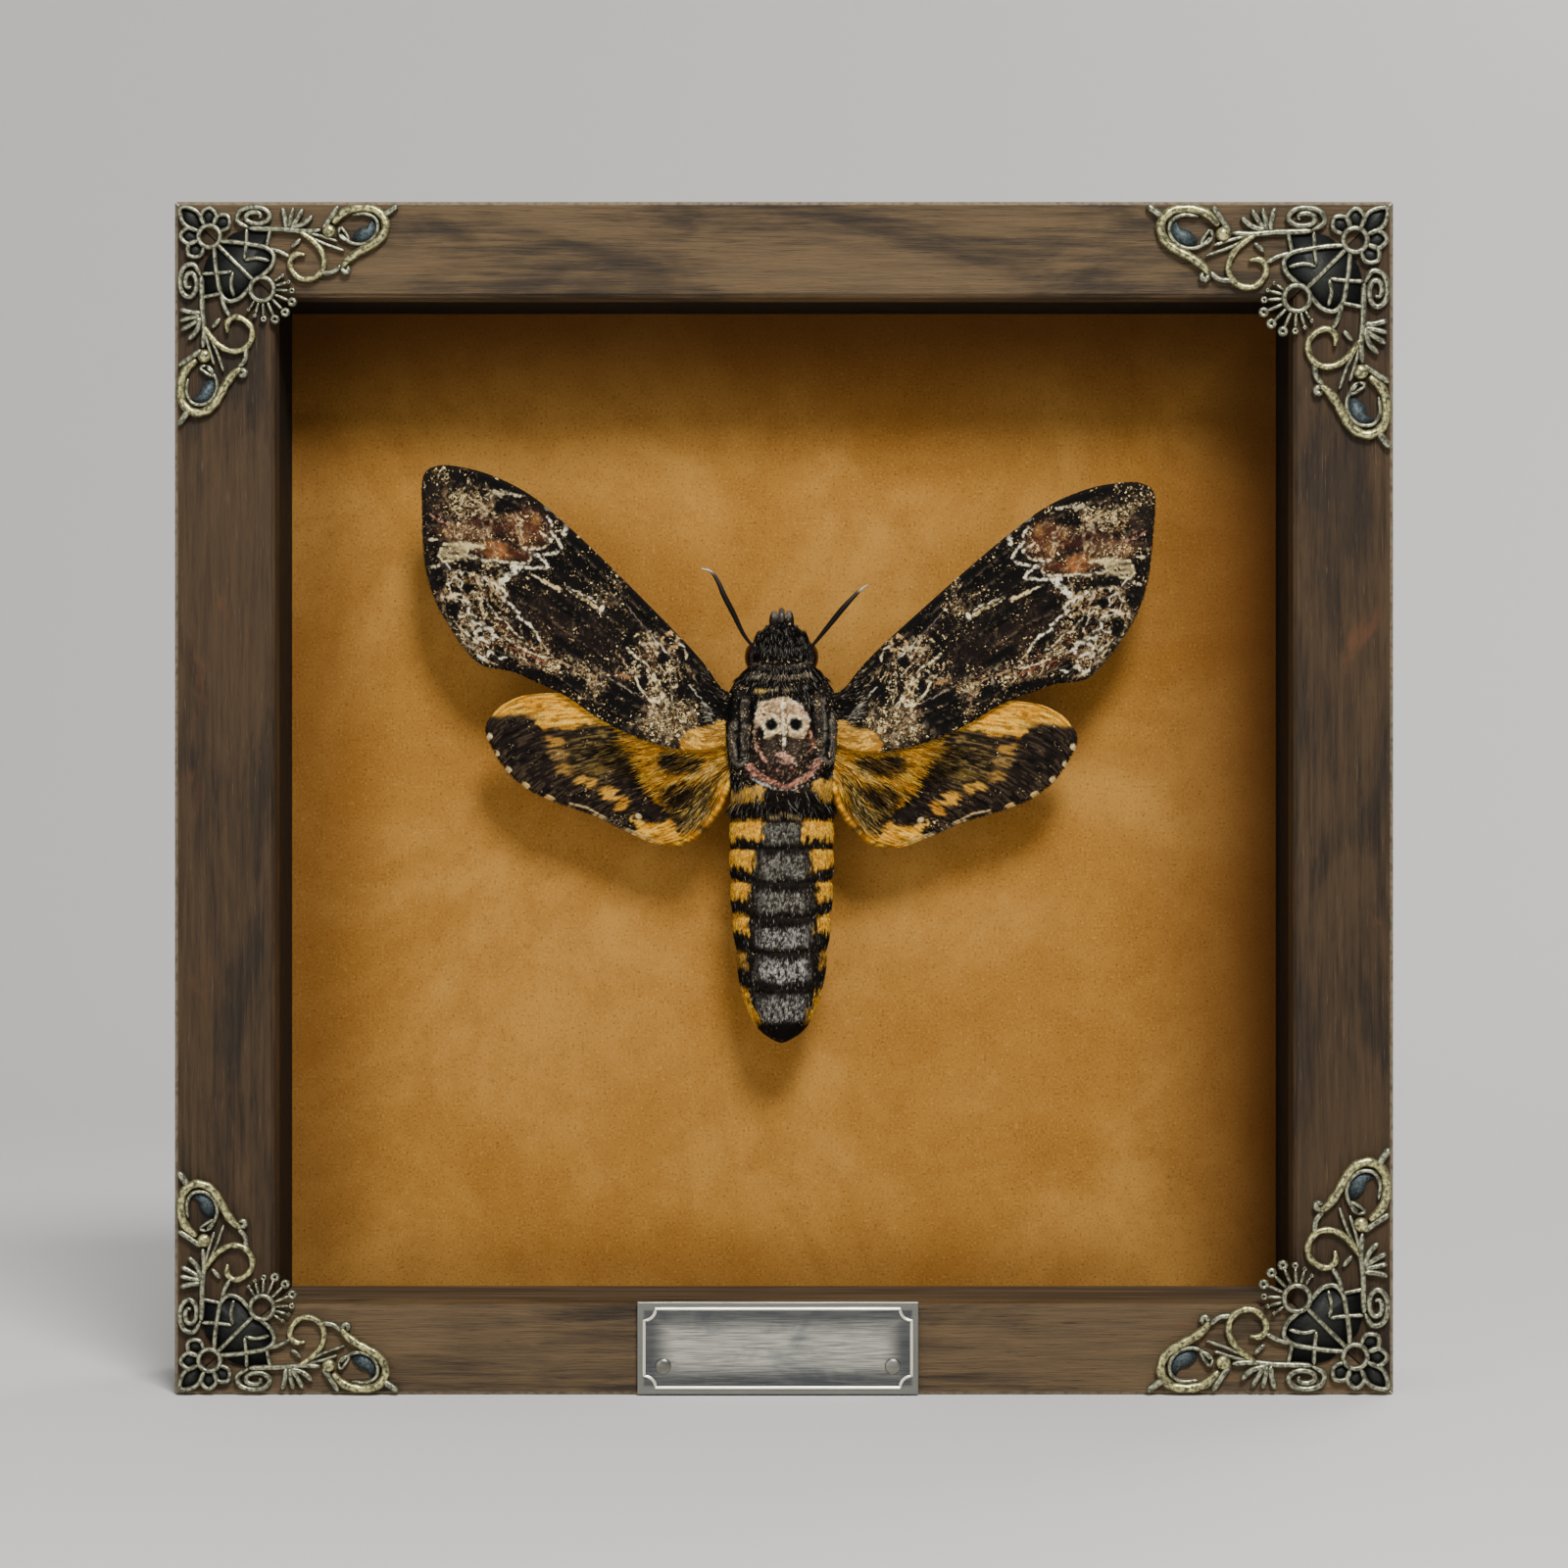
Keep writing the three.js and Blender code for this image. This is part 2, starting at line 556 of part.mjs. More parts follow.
const THORAX_RINGS = [
  [THORAX_END_Z, THORAX_HALF_WIDTH * 0.9, THORAX_HALF_DEPTH * 0.88],
  [-9, THORAX_HALF_WIDTH * 0.95, THORAX_HALF_DEPTH * 0.94],
  [-6, THORAX_HALF_WIDTH * 0.99, THORAX_HALF_DEPTH * 0.99],
  [-2.5, THORAX_HALF_WIDTH, THORAX_HALF_DEPTH],
  [1, THORAX_HALF_WIDTH * 0.99, THORAX_HALF_DEPTH * 0.99],
  [4, THORAX_HALF_WIDTH * 0.96, THORAX_HALF_DEPTH * 0.95],
  [6.6, THORAX_HALF_WIDTH * 0.9, THORAX_HALF_DEPTH * 0.88],
  [8.6, THORAX_HALF_WIDTH * 0.79, THORAX_HALF_DEPTH * 0.79],
  [9.4, THORAX_HALF_WIDTH * 0.72, THORAX_HALF_DEPTH * 0.73],
  [9.6, THORAX_HALF_WIDTH * 0.73, THORAX_HALF_DEPTH * 0.74],
  [THORAX_FRONT_Z, THORAX_HALF_WIDTH * 0.6, THORAX_HALF_DEPTH * 0.64],
];

// The raised shield that carries the skull mark, on the back of the thorax
const SHIELD = { x: 0, y: -THORAX_HALF_DEPTH + 3.1, z: -2.6, rx: 5.2, ry: 3.9, rz: 8.2 };

const HEAD_RINGS = [
  [THORAX_FRONT_Z + GAP, HEAD_HALF_WIDTH * 0.93, 5, 0.2],
  [12.4, HEAD_HALF_WIDTH, 4.9, 0.3],
  [14, HEAD_HALF_WIDTH * 0.94, 4.7, 0.5],
  [15.6, HEAD_HALF_WIDTH * 0.78, 4.2, 0.8],
  [17, HEAD_HALF_WIDTH * 0.53, 3.3, 1.2],
  [18.1, HEAD_HALF_WIDTH * 0.3, 2.1, 1.5],
];

// Where each ring of the abdomen ends, and its half width there beside the widest
const SEGMENT_ENDS = [
  { z: -15.2, share: 0.985 },
  { z: -19.8, share: 1 },
  { z: -25.4, share: 0.985 },
  { z: -31.3, share: 0.955 },
  { z: -37.2, share: 0.885 },
  { z: -43.8, share: 0.8 },
  { z: -49.4, share: 0.56 },
  { z: -52.9, share: 0.16 },
];

function abdomenRings() {
  const rings = [];
  let top = { z: THORAX_END_Z - GAP, share: 0.95 };
  for (const end of SEGMENT_ENDS) {
    const last = end === SEGMENT_ENDS[SEGMENT_ENDS.length - 1];
    const profile = last
      ? [[0.02, 0.95], [0.35, 1.02], [0.7, 1.05], [0.92, 1.04], [1, 0.95]]
      : [[0.02, 0.955], [0.25, 1.015], [0.8, 1.02], [0.97, 0.975]];
    for (const [along, swell] of profile) {
      const share = THREE.MathUtils.lerp(top.share, end.share, along);
      const halfWidth = ABDOMEN_HALF_WIDTH * share * swell;
      const z = THREE.MathUtils.lerp(top.z, end.z, along);
      rings.push([z, halfWidth, halfWidth * ABDOMEN_FLATNESS, 0.4]);
    }
    top = end;
  }
  return rings.reverse();
}

const BODY_SIDES = 18;
const TEGULA = { x: 7.3, y: -4.1, z: 0.3, rx: 2.35, ry: 3.1, rz: 7 };
const TEGULA_GROOVE = { x: 7.5, y: -7.2, z: 0.6, rx: 0.5, ry: 0.95, rz: 4.6 };
const tegulaOf = (sign, grow) => solidOf(ellipsoid({ ...TEGULA, x: TEGULA.x * sign }, grow, 12));
const eyeOf = (sign, grow) => solidOf(ellipsoid({ ...EYE, x: EYE.x * sign }, grow, 12));

function thoraxSolid(grow) {
  const rings = THORAX_RINGS.map((ring) => [...ring]);
  rings[0][0] -= grow;
  rings[rings.length - 1][0] += grow;
  return solidOf(bodyLoft(rings, BODY_SIDES, grow));
}

const headSolid = (grow) => solidOf(bodyLoft(HEAD_RINGS, BODY_SIDES, grow));

const thoraxClear = thoraxSolid(GAP);
const eyesClear = wasm.Manifold.union(SIDES.map(({ sign }) => eyeOf(sign, GAP)));
const shield = solidOf(ellipsoid(SHIELD, 0, 16));
addNode("thorax", geometryOf(thoraxSolid(0).add(shield).subtract(eyesClear)), fur, moth);
const shieldClear = solidOf(ellipsoid(SHIELD, GAP, 16));

addNode("head", geometryOf(headSolid(0).subtract(eyesClear)), fur, moth);
const headClear = headSolid(GAP);

addNode("abdomen", geometryOf(solidOf(bodyLoft(abdomenRings(), BODY_SIDES))), abdomenFur, moth);
const abdomenClear = solidOf(bodyLoft(abdomenRings(), BODY_SIDES, GAP));

for (const { name, sign } of SIDES) {
  addNode("eye_" + name, ellipsoid({ ...EYE, x: EYE.x * sign }, 0, 12), chitin, moth);
  const groove = solidOf(ellipsoid({ ...TEGULA_GROOVE, x: TEGULA_GROOVE.x * sign }, 0, 8));
  const tegula = tegulaOf(sign, 0).subtract(thoraxClear).subtract(shieldClear).subtract(groove);
  addNode("tegula_" + name, geometryOf(tegula), fur, moth);
  const palp = solidOf(ellipsoid({ ...PALP, x: PALP.x * sign }, 0, 10));
  addNode("palp_" + name, geometryOf(palp.subtract(headClear)), fur, moth);
}

// Tapered round limbs: points of [x, y, z, radius]

function limb(stations, sides, samples) {
  const curve = new THREE.CatmullRomCurve3(
    stations.map(([x, y, z]) => new THREE.Vector3(x, y, z)),
    false,
    "centripetal",
  );
  const frames = curve.computeFrenetFrames(samples - 1, false);
  const rings = Array.from({ length: samples }, (_, i) => {
    const share = i / (samples - 1);
    const centre = curve.getPointAt(share);
    const place = share * (stations.length - 1);
    const from = Math.min(Math.floor(place), stations.length - 2);
    const radius = THREE.MathUtils.lerp(stations[from][3], stations[from + 1][3], place - from);
    return Array.from({ length: sides }, (_, side) => {
      const angle = (side / sides) * 2 * Math.PI;
      const p = centre.clone();
      p.addScaledVector(frames.normals[i], radius * Math.cos(angle));
      p.addScaledVector(frames.binormals[i], radius * Math.sin(angle));
      return p.toArray();
    });
  });
  return stackedRings(rings);
}

// Antennae: thicker past the middle, with a hooked tip
const ANTENNAE = {
  left: [[-3.9, 12.7], [-6.2, 15.7], [-8, 19.3], [-9.6, 22.4], [-10.7, 24.9], [-11.8, 26.5], [-13.4, 27]],
  right: [[4.1, 12.7], [5.7, 14.7], [7.9, 17.4], [10.1, 20.1], [12.1, 22.3], [13.3, 23.5], [14.3, 24.2]],
};
const ANTENNA_SHAPE = [0.5, 0.62, 0.85, 1, 0.95, 0.7, 0.4];
for (const { name } of SIDES) {
  const radii = ANTENNA_SHAPE.map((share) => share * ANTENNA_RADIUS);
  const stations = ANTENNAE[name].map(([x, z], i) => [x, -4 - i * 0.12, z, radii[i]]);
  addNode("antenna_" + name, geometryOf(solidOf(limb(stations, 6, 14)).subtract(headClear)), chitin, moth);
}

// The short stout proboscis, curled back under the head between the palps
const PROBOSCIS = [
  [0, 1.6, 16.5, 0.62], [0, 1.2, 19.4, 0.6], [0, 2.9, 20.3, 0.55], [0, 4.7, 19.2, 0.5], [0, 5.2, 17.2, 0.4],
];
const palpsClear = SIDES.map(({ sign }) => solidOf(ellipsoid({ ...PALP, x: PALP.x * sign }, GAP, 10)));
{
  let proboscis = solidOf(limb(PROBOSCIS, 7, 9)).subtract(headClear);
  for (const palp of palpsClear) proboscis = proboscis.subtract(palp);
  addNode("proboscis", geometryOf(proboscis), chitin, moth);
}

// Legs, folded flat between the body and the card: thigh, shin and foot
const LEGS = {
  fore: [[2.2, 6.2, 6, 0.8], [3, 8.9, 9.5, 0.8], [3.1, 9.6, 13.5, 0.6], [2.4, 9.8, 18, 0.35]],
  mid: [[3.6, 6, 0.5, 0.85], [7.2, 8.6, 4.2, 0.85], [8.4, 9.4, -2.5, 0.65], [7.6, 10, -13, 0.35]],
  hind: [[2.6, 6.2, -4.8, 0.85], [4.9, 9.2, -2.6, 0.85], [5.6, 9.9, -11, 0.65], [4.8, 10.3, -24, 0.35]],
};
for (const { name, sign } of SIDES) {
  for (const [pair, stations] of Object.entries(LEGS)) {
    const placed = stations.map(([x, y, z, radius]) => [x * sign, y, z, radius]);
    const leg = solidOf(limb(placed, 6, 10));
    const clear = leg.subtract(thoraxClear).subtract(headClear).subtract(abdomenClear);
    addNode(`leg_${pair}_${name}`, geometryOf(clear), chitin, moth);
  }
}

// The cork block that carries the specimen off the card
const BLOCK = { halfWidth: 3, top: -13, bottom: -24, front: 3 };
{
  const low = [-BLOCK.halfWidth, BLOCK.front, BLOCK.bottom];
  const block = solidOf(boxBetween(low, [BLOCK.halfWidth, MOTH_ABOVE_CARD - GAP, BLOCK.top]));
  addNode("mounting_block", geometryOf(block.subtract(abdomenClear)), cork, moth);
}

// Wings: four edges of [x, z] make a patch.
// u runs from root to margin, and v from the front edge to the rear edge.
const FOREWING = {
  front: [
    [-6.6, 5.2], [-9.8, 6.2], [-16.1, 14.7], [-26, 25.2],
    [-35.9, 34.8], [-44.2, 40.6], [-52.4, 43.9], [-58.2, 44.6],
  ],
  margin: [
    [-58.2, 44.6], [-60, 43.4], [-60.5, 40.4], [-60.4, 33],
    [-59.2, 24.8], [-56, 17.6], [-52.7, 12.7], [-50.4, 10.6],
  ],
  rear: [[-6.6, -0.6], [-16.9, -3], [-22.8, -1.1], [-32.6, 3.9], [-40.9, 7.9], [-47.5, 10.2], [-50.4, 10.6]],
  veins: [
    { at: 0.07, from: 0, to: 0.8 },
    { at: 0.17, from: 0, to: 1 },
    { at: 0.28, from: 0.4, to: 1 },
    { at: 0.4, from: 0.45, to: 1 },
    { at: 0.52, from: 0.45, to: 1 },
    { at: 0.64, from: 0.4, to: 1 },
    { at: 0.75, from: 0, to: 1 },
    { at: 0.87, from: 0, to: 1 },
  ],
};
const HINDWING = {
  front: [[-6.6, 1.6], [-15.7, 4.2], [-26, 5.9], [-36.3, 6.2], [-42.4, 5.9], [-46.8, 4.6], [-49.2, 2]],
  margin: [
    [-49.2, 2], [-49.6, -0.6], [-48.6, -3.6], [-44.4, -8.6],
    [-38.5, -11.8], [-29.8, -15.4], [-22.5, -18.2], [-19.6, -19.1],
  ],
  rear: [[-6.6, -5.4], [-9.4, -8], [-11.4, -12], [-13.8, -16], [-16.4, -18.4], [-19.6, -19.1]],
  veins: [
    { at: 0.12, from: 0, to: 1 },
    { at: 0.27, from: 0.35, to: 1 },
    { at: 0.4, from: 0.35, to: 1 },
    { at: 0.53, from: 0.35, to: 1 },
    { at: 0.66, from: 0.3, to: 1 },
    { at: 0.79, from: 0, to: 1 },
    { at: 0.9, from: 0, to: 1 },
  ],
};

function edgePoint(curve, share) {
  const p = curve.getPointAt(THREE.MathUtils.clamp(share, 0, 1));
  return [p.x, p.z];
}

function patchOf(wing) {
  const [front, margin, rear] = [wing.front, wing.margin, wing.rear].map((edge) => smoothCurve(edge));
  const rootFront = wing.front[0];
  const rootRear = wing.rear[0];
  const tipFront = wing.margin[0];
  const tipRear = wing.margin[wing.margin.length - 1];
  return (u, v) => {
    const f = edgePoint(front, u);
    const r = edgePoint(rear, u);
    const m = edgePoint(margin, v);
    return [0, 1].map((axis) => {
      const rootEdge = THREE.MathUtils.lerp(rootFront[axis], rootRear[axis], v);
      const ruledV = (1 - v) * f[axis] + v * r[axis];
      const ruledU = (1 - u) * rootEdge + u * m[axis];
      const corners =
        (1 - u) * ((1 - v) * rootFront[axis] + v * rootRear[axis]) +
        u * ((1 - v) * tipFront[axis] + v * tipRear[axis]);
      return ruledV + ruledU - corners;
    });
  };
}

// The wing rises a little from its root, and droops towards the card at the tip and the rear edge.
function wingRise(u, v) {
  return 1.1 * Math.sin(Math.PI * u) - 1.3 * u * u - 0.7 * v * v * u;
}

function veinRise(wing, u, v) {
  return wing.veins.some((vein) => Math.abs(vein.at - v) < 1e-6 && u >= vein.from && u <= vein.to)
    ? VEIN_HEIGHT
    : 0;
}

function wingGeometry(wing, spanSteps, level, sign, drop) {
  const patch = patchOf(wing);
  const rows = [0];
  for (const { at } of wing.veins) rows.push(at - VEIN_HALF_WIDTH, at, at + VEIN_HALF_WIDTH);
  rows.push(1);
  const pivot = new THREE.Vector2(THORAX_HALF_WIDTH * sign, 0);
  const turn = THREE.MathUtils.degToRad(-sign * drop);
  const face = (raised) => {
    const points = [];
    for (let i = 0; i <= spanSteps; i++) {
      for (const v of rows) {
        const u = i / spanSteps;
        const [x, z] = patch(u, v);
        const flat = new THREE.Vector2(-sign * x, z).rotateAround(pivot, turn);
        const lift = wingRise(u, v) + (raised ? veinRise(wing, u, v) : 0);
        const offset = raised ? WING_THICKNESS / 2 : -WING_THICKNESS / 2;
        points.push([flat.x, level - lift - offset, flat.y]);
      }
    }
    return points;
  };
  const points = [...face(true), ...face(false)];
  const width = rows.length;
  const layer = width * (spanSteps + 1);
  const triangles = [];
  const at = (i, j, back) => i * width + j + (back ? layer : 0);
  const quad = (a, b, c, d) => triangles.push([a, b, c], [a, c, d]);
  for (let i = 0; i < spanSteps; i++) {
    for (let j = 0; j + 1 < width; j++) {
      quad(at(i, j, false), at(i + 1, j, false), at(i + 1, j + 1, false), at(i, j + 1, false));
      const [a, b, c, d] = [at(i, j, true), at(i + 1, j, true), at(i + 1, j + 1, true), at(i, j + 1, true)];
      triangles.push([a, c, b], [a, d, c]);
    }
  }
  for (let i = 0; i < spanSteps; i++) {
    quad(at(i, 0, true), at(i + 1, 0, true), at(i + 1, 0, false), at(i, 0, false));
    const last = width - 1;
    quad(at(i, last, false), at(i + 1, last, false), at(i + 1, last, true), at(i, last, true));
  }
  for (let j = 0; j + 1 < width; j++) {
    quad(at(0, j, false), at(0, j + 1, false), at(0, j + 1, true), at(0, j, true));
    const [near, far] = [at(spanSteps, j, true), at(spanSteps, j + 1, true)];
    quad(near, far, at(spanSteps, j + 1, false), at(spanSteps, j, false));
  }
  const facing = signedVolume(points, triangles) > 0;
  return indexedGeometry(points, facing ? triangles : triangles.map(([a, b, c]) => [a, c, b]));
}

for (const { name, sign } of SIDES) {
  const right = sign > 0;
  const forewing = solidOf(wingGeometry(FOREWING, 10, FOREWING_Y, sign, right ? RIGHT_FOREWING_DROP : 0));
  const forewingCut = forewing.subtract(thoraxClear).subtract(tegulaOf(sign, GAP));
  addNode("forewing_" + name, geometryOf(forewingCut), forewingScale, moth);
  const hindwing = solidOf(wingGeometry(HINDWING, 8, HINDWING_Y, sign, right ? RIGHT_HINDWING_DROP : 0));
  const hindwingCut = hindwing.subtract(thoraxClear).subtract(abdomenClear);
  addNode("hindwing_" + name, geometryOf(hindwingCut), hindwingScale, moth);
}

export default root;
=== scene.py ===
# A spread death's-head hawkmoth in its shadow-box frame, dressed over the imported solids.
# Lengths are in millimetres until a mesh is made. The moth's own frame has the body's axis at x 0, y 0
# and the middle of the thorax at z 0, with -y the side that faces the viewer.
import itertools
import math

import bmesh
import bpy
import numpy as np
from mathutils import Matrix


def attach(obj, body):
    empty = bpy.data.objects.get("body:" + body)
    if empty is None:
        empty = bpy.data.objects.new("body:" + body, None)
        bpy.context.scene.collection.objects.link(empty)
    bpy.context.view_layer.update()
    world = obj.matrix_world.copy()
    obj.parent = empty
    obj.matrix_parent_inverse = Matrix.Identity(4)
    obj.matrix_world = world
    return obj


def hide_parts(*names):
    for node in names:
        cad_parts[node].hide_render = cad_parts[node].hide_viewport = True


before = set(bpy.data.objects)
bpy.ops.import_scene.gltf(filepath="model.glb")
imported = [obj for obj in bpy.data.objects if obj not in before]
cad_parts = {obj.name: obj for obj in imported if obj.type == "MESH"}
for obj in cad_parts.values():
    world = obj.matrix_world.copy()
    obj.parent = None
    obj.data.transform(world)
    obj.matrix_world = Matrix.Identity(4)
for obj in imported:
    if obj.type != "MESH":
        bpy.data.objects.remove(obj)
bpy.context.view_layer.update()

MM = 0.001

# Driving dimensions of the frame
FRAME_WIDTH = 200.0
FRAME_HEIGHT = 195.8
FRONT_Y = -18.0
SIDE_RAIL = 16.4
TOP_RAIL = 15.7
BOTTOM_RAIL = 14.9
RECESS_DEPTH = 28.0
RABBET = 4.0
GAP = 0.3
EDGE_MARGIN = 0.25
ORNAMENT_BASE = -FRONT_Y + GAP
PLATE_WIDTH = 46.1
PLATE_HEIGHT = 15.2
PLATE_THICKNESS = 0.8
PLATE_CENTRE = (-1.0, -ORNAMENT_BASE, EDGE_MARGIN + PLATE_HEIGHT / 2)

# The photo's camera: its distance from the frame's face, its height, and the width in view at the face
CAMERA_DISTANCE = 672.0
CAMERA_HEIGHT = 100.24
VIEW_WIDTH = 257.2

# The moth's place in the frame, and the photo's scale and centre where the wings lie
MOTH_PLACE = np.array([-0.4, -1.5, 109.3])
PIXEL = 0.16436
AXIS_PIXEL = 797.0
THORAX_PIXEL = 744.9

# How far the bare skin lies inside the solids, the wings' levels and thickness, and how far each wing is
# turned down about its root, in degrees
COAT_DEPTH = 0.45
FOREWING_Y = -3.2
HINDWING_Y = -1.7
WING_THICKNESS = 0.42
FOREWING_DROP = {"left": 0.0, "right": 3.4}
HINDWING_DROP = {"left": 0.0, "right": 2.6}
SIDES = {"left": -1, "right": 1}


# Small numeric helpers

def smoothstep(low, high, value):
    t = np.clip((value - low) / (high - low), 0, 1)
    return t * t * (3 - 2 * t)


def unit(vectors):
    return vectors / np.maximum(np.linalg.norm(vectors, axis=-1, keepdims=True), 1e-9)


# Numbers that scatter the grid of the noise, and a shift that keeps its layers off the grid's origin
HASH_STEPS = (73856093, 19349663, 83492791)
HASH_SEED = 2654435
HASH_MIX = 1274126177
HASH_BITS = 0xFFFFFF
NOISE_SHIFT = 31.7


def lattice_noise(points, seed):
    """Smooth noise from 0 to 1 at points of two or three coordinates."""
    cell = np.floor(points).astype(np.int64)
    ease = points - cell
    ease = ease * ease * (3 - 2 * ease)
    total = np.zeros(len(points))
    for corner in itertools.product((0, 1), repeat=points.shape[1]):
        key = np.full(len(points), seed * HASH_SEED, dtype=np.int64)
        weight = np.ones(len(points))
        for axis, step in enumerate(corner):
            key ^= (cell[:, axis] + step) * HASH_STEPS[axis]
            weight *= ease[:, axis] if step else 1 - ease[:, axis]
        key = (key ^ (key >> 13)) * HASH_MIX
        key = (key ^ (key >> 16)) & HASH_BITS
        total += weight * key / HASH_BITS
    return total


def cloud(axes, size, seed, octaves=3):
    """Layered noise from 0 to 1, at coordinates given axis by axis, with forms up to about a size."""
    points = np.stack(axes, axis=1)
    total, weight = 0, 0
    for octave in range(octaves):
        share = 0.5 ** octave
        total = total + share * lattice_noise(points * (2 ** octave / size) + NOISE_SHIFT, seed + octave)
        weight += share
    return total / weight


def smooth_line(points, count, closed=False):
    """Points evenly spaced along a smooth curve through the given ones."""
    p = np.array(points, float)
    if closed:
        p = np.vstack([p[-1:], p, p[:2]])
    else:
        p = np.vstack([2 * p[0] - p[1], p, 2 * p[-1] - p[-2]])
    pieces = []
    steps = np.linspace(0, 1, 24, endpoint=False)[:, None]
    for a, b, c, d in zip(p[:-3], p[1:-2], p[2:-1], p[3:]):
        gaps = [np.linalg.norm(v - u) for u, v in ((a, b), (b, c), (c, d))]
        knots = np.cumsum([0] + [max(gap ** 0.5, 1e-6) for gap in gaps])
        t = knots[1] + (knots[2] - knots[1]) * steps
        a1 = a + (b - a) * (t - knots[0]) / (knots[1] - knots[0])
        a2 = b + (c - b) * (t - knots[1]) / (knots[2] - knots[1])
        a3 = c + (d - c) * (t - knots[2]) / (knots[3] - knots[2])
        b1 = a1 + (a2 - a1) * (t - knots[0]) / (knots[2] - knots[0])
        b2 = a2 + (a3 - a2) * (t - knots[1]) / (knots[3] - knots[1])
        pieces.append(b1 + (b2 - b1) * (t - knots[1]) / (knots[2] - knots[1]))
    line = np.vstack(pieces + [p[-2:-1]])
    travelled = np.concatenate([[0], np.cumsum(np.linalg.norm(np.diff(line, axis=0), axis=1))])
    wanted = np.linspace(0, travelled[-1], count, endpoint=not closed)
    return np.stack([np.interp(wanted, travelled, line[:, axis]) for axis in range(p.shape[1])], axis=1)


def to_linear(colours):
    """Display colours from 0 to 255 as the linear values that a mesh attribute holds."""
    c = np.clip(np.asarray(colours, float) / 255, 0, 1)
    return np.where(c <= 0.04045, c / 12.92, ((c + 0.055) / 1.055) ** 2.4)


def shade(*colour):
    return (*to_linear(colour), 1.0)


# Mesh building

class Pile:
    """Points, faces and colours gathered from many pieces of one object, moved to the object's place."""

    def __init__(self, place=(0.0, 0.0, 0.0)):
        self.place = np.array(place)
        self.points, self.quads, self.tris, self.tints, self.uvs = [], [], [], [], []
        self.count = 0

    def add(self, points, quads=None, tris=None, tint=None, uv=None):
        """Adds a piece. Its tint is one colour, or one for each point."""
        if quads is not None and len(quads):
            self.quads.append(np.asarray(quads) + self.count)
        if tris is not None and len(tris):
            self.tris.append(np.asarray(tris) + self.count)
        self.points.append(points + self.place)
        self.count += len(points)
        if tint is not None:
            self.tints.append(np.broadcast_to(tint, (len(points), 4)))
        if uv is not None:
            self.uvs.append(uv)

    def build(self, name, material, replaces=(), smooth=True, fix_normals=False):
        """Makes the object and hides the solids that it replaces."""
        points = np.concatenate(self.points) * MM
        groups = [np.concatenate(g) for g in (self.quads, self.tris) if g]
        loops = np.concatenate([g.ravel() for g in groups]).astype(np.int32)
        sizes = np.concatenate([np.full(len(g), g.shape[1]) for g in groups])
        starts = np.concatenate([[0], np.cumsum(sizes)[:-1]]).astype(np.int32)
        mesh = bpy.data.meshes.new(name)
        mesh.vertices.add(len(points))
        mesh.vertices.foreach_set("co", points.astype(np.float32).ravel())
        mesh.loops.add(len(loops))
        mesh.loops.foreach_set("vertex_index", loops)
        mesh.polygons.add(len(starts))
        mesh.polygons.foreach_set("loop_start", starts)
        mesh.update(calc_edges=True)
        if self.tints:
            layer = mesh.color_attributes.new("tint", "FLOAT_COLOR", "POINT")
            tints = np.concatenate(self.tints).astype(float)
            tints[:, :3] = to_linear(tints[:, :3])
            layer.data.foreach_set("color", tints.astype(np.float32).ravel())
        if self.uvs:
            layer = mesh.uv_layers.new(name="OFBake")
            layer.data.foreach_set("uv", np.concatenate(self.uvs)[loops].astype(np.float32).ravel())
        if fix_normals:
            work = bmesh.new()
            work.from_mesh(mesh)
            bmesh.ops.recalc_face_normals(work, faces=work.faces)
            work.to_mesh(mesh)
            work.free()
        mesh.polygons.foreach_set("use_smooth", np.full(len(mesh.polygons), smooth))
        mesh.materials.append(material)
        mesh.update()
        piece = bpy.data.objects.new(name, mesh)
        bpy.context.scene.collection.objects.link(piece)
        if replaces:
            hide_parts(*replaces)
        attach(piece, "root")
        return piece


def tube_quads(rows, sides, closed=False):
    """Faces between the rings of a tube, joined end to end if it is closed."""
    i, j = np.meshgrid(np.arange(rows if closed else rows - 1), np.arange(sides), indexing="ij")
    here, there = i * sides, ((i + 1) % rows) * sides
    nxt = (j + 1) % sides
    return np.stack([here + j, there + j, there + nxt, here + nxt], axis=-1).reshape(-1, 4)


def end_fans(rows, sides):
    """Triangles that close a tube's ends on the two points that follow its rings."""
    k, last, start = np.arange(sides), (rows - 1) * sides, rows * sides
    nxt = (k + 1) % sides
    return np.vstack([
        np.stack([np.full(sides, start), k, nxt], axis=1),
        np.stack([np.full(sides, start + 1), last + nxt, last + k], axis=1),
    ])


# The order of a face's corners that turns it round
TURNED_QUAD = [0, 3, 2, 1]
TURNED_TRI = [0, 2, 1]


def box_quads(rings):
    """Faces of a box made of four-cornered rings, closed by its first and last ring."""
    last = np.arange(rings * 4)[:-5:-1]
    return np.vstack([tube_quads(rings, 4), [np.arange(4), last]])


def sweep(line, wide, high, sides, up=(0, -1, 0), closed=False):
    """A round bar along a line. wide and high are its half sizes, each one number or one for each point."""
    line = np.asarray(line, float)
    count = len(line)
    wide, high = np.broadcast_to(wide, count), np.broadcast_to(high, count)
    ahead = np.roll(line, -1, axis=0) - np.roll(line, 1, axis=0)
    if not closed:
        ahead[0], ahead[-1] = line[1] - line[0], line[-1] - line[-2]
    ahead = unit(ahead)
    across = unit(np.cross(ahead, np.array(up, float)))
    upward = np.cross(across, ahead)
    angles = np.linspace(0, 2 * np.pi, sides, endpoint=False)
    ring = (line[:, None] + across[:, None] * (wide[:, None] * np.cos(angles))[..., None]
            + upward[:, None] * (high[:, None] * np.sin(angles))[..., None])
    points, quads = ring.reshape(-1, 3), tube_quads(count, sides, closed)
    if closed:
        return points, quads, None
    return np.vstack([points, line[:1], line[-1:]]), quads, end_fans(count, sides)


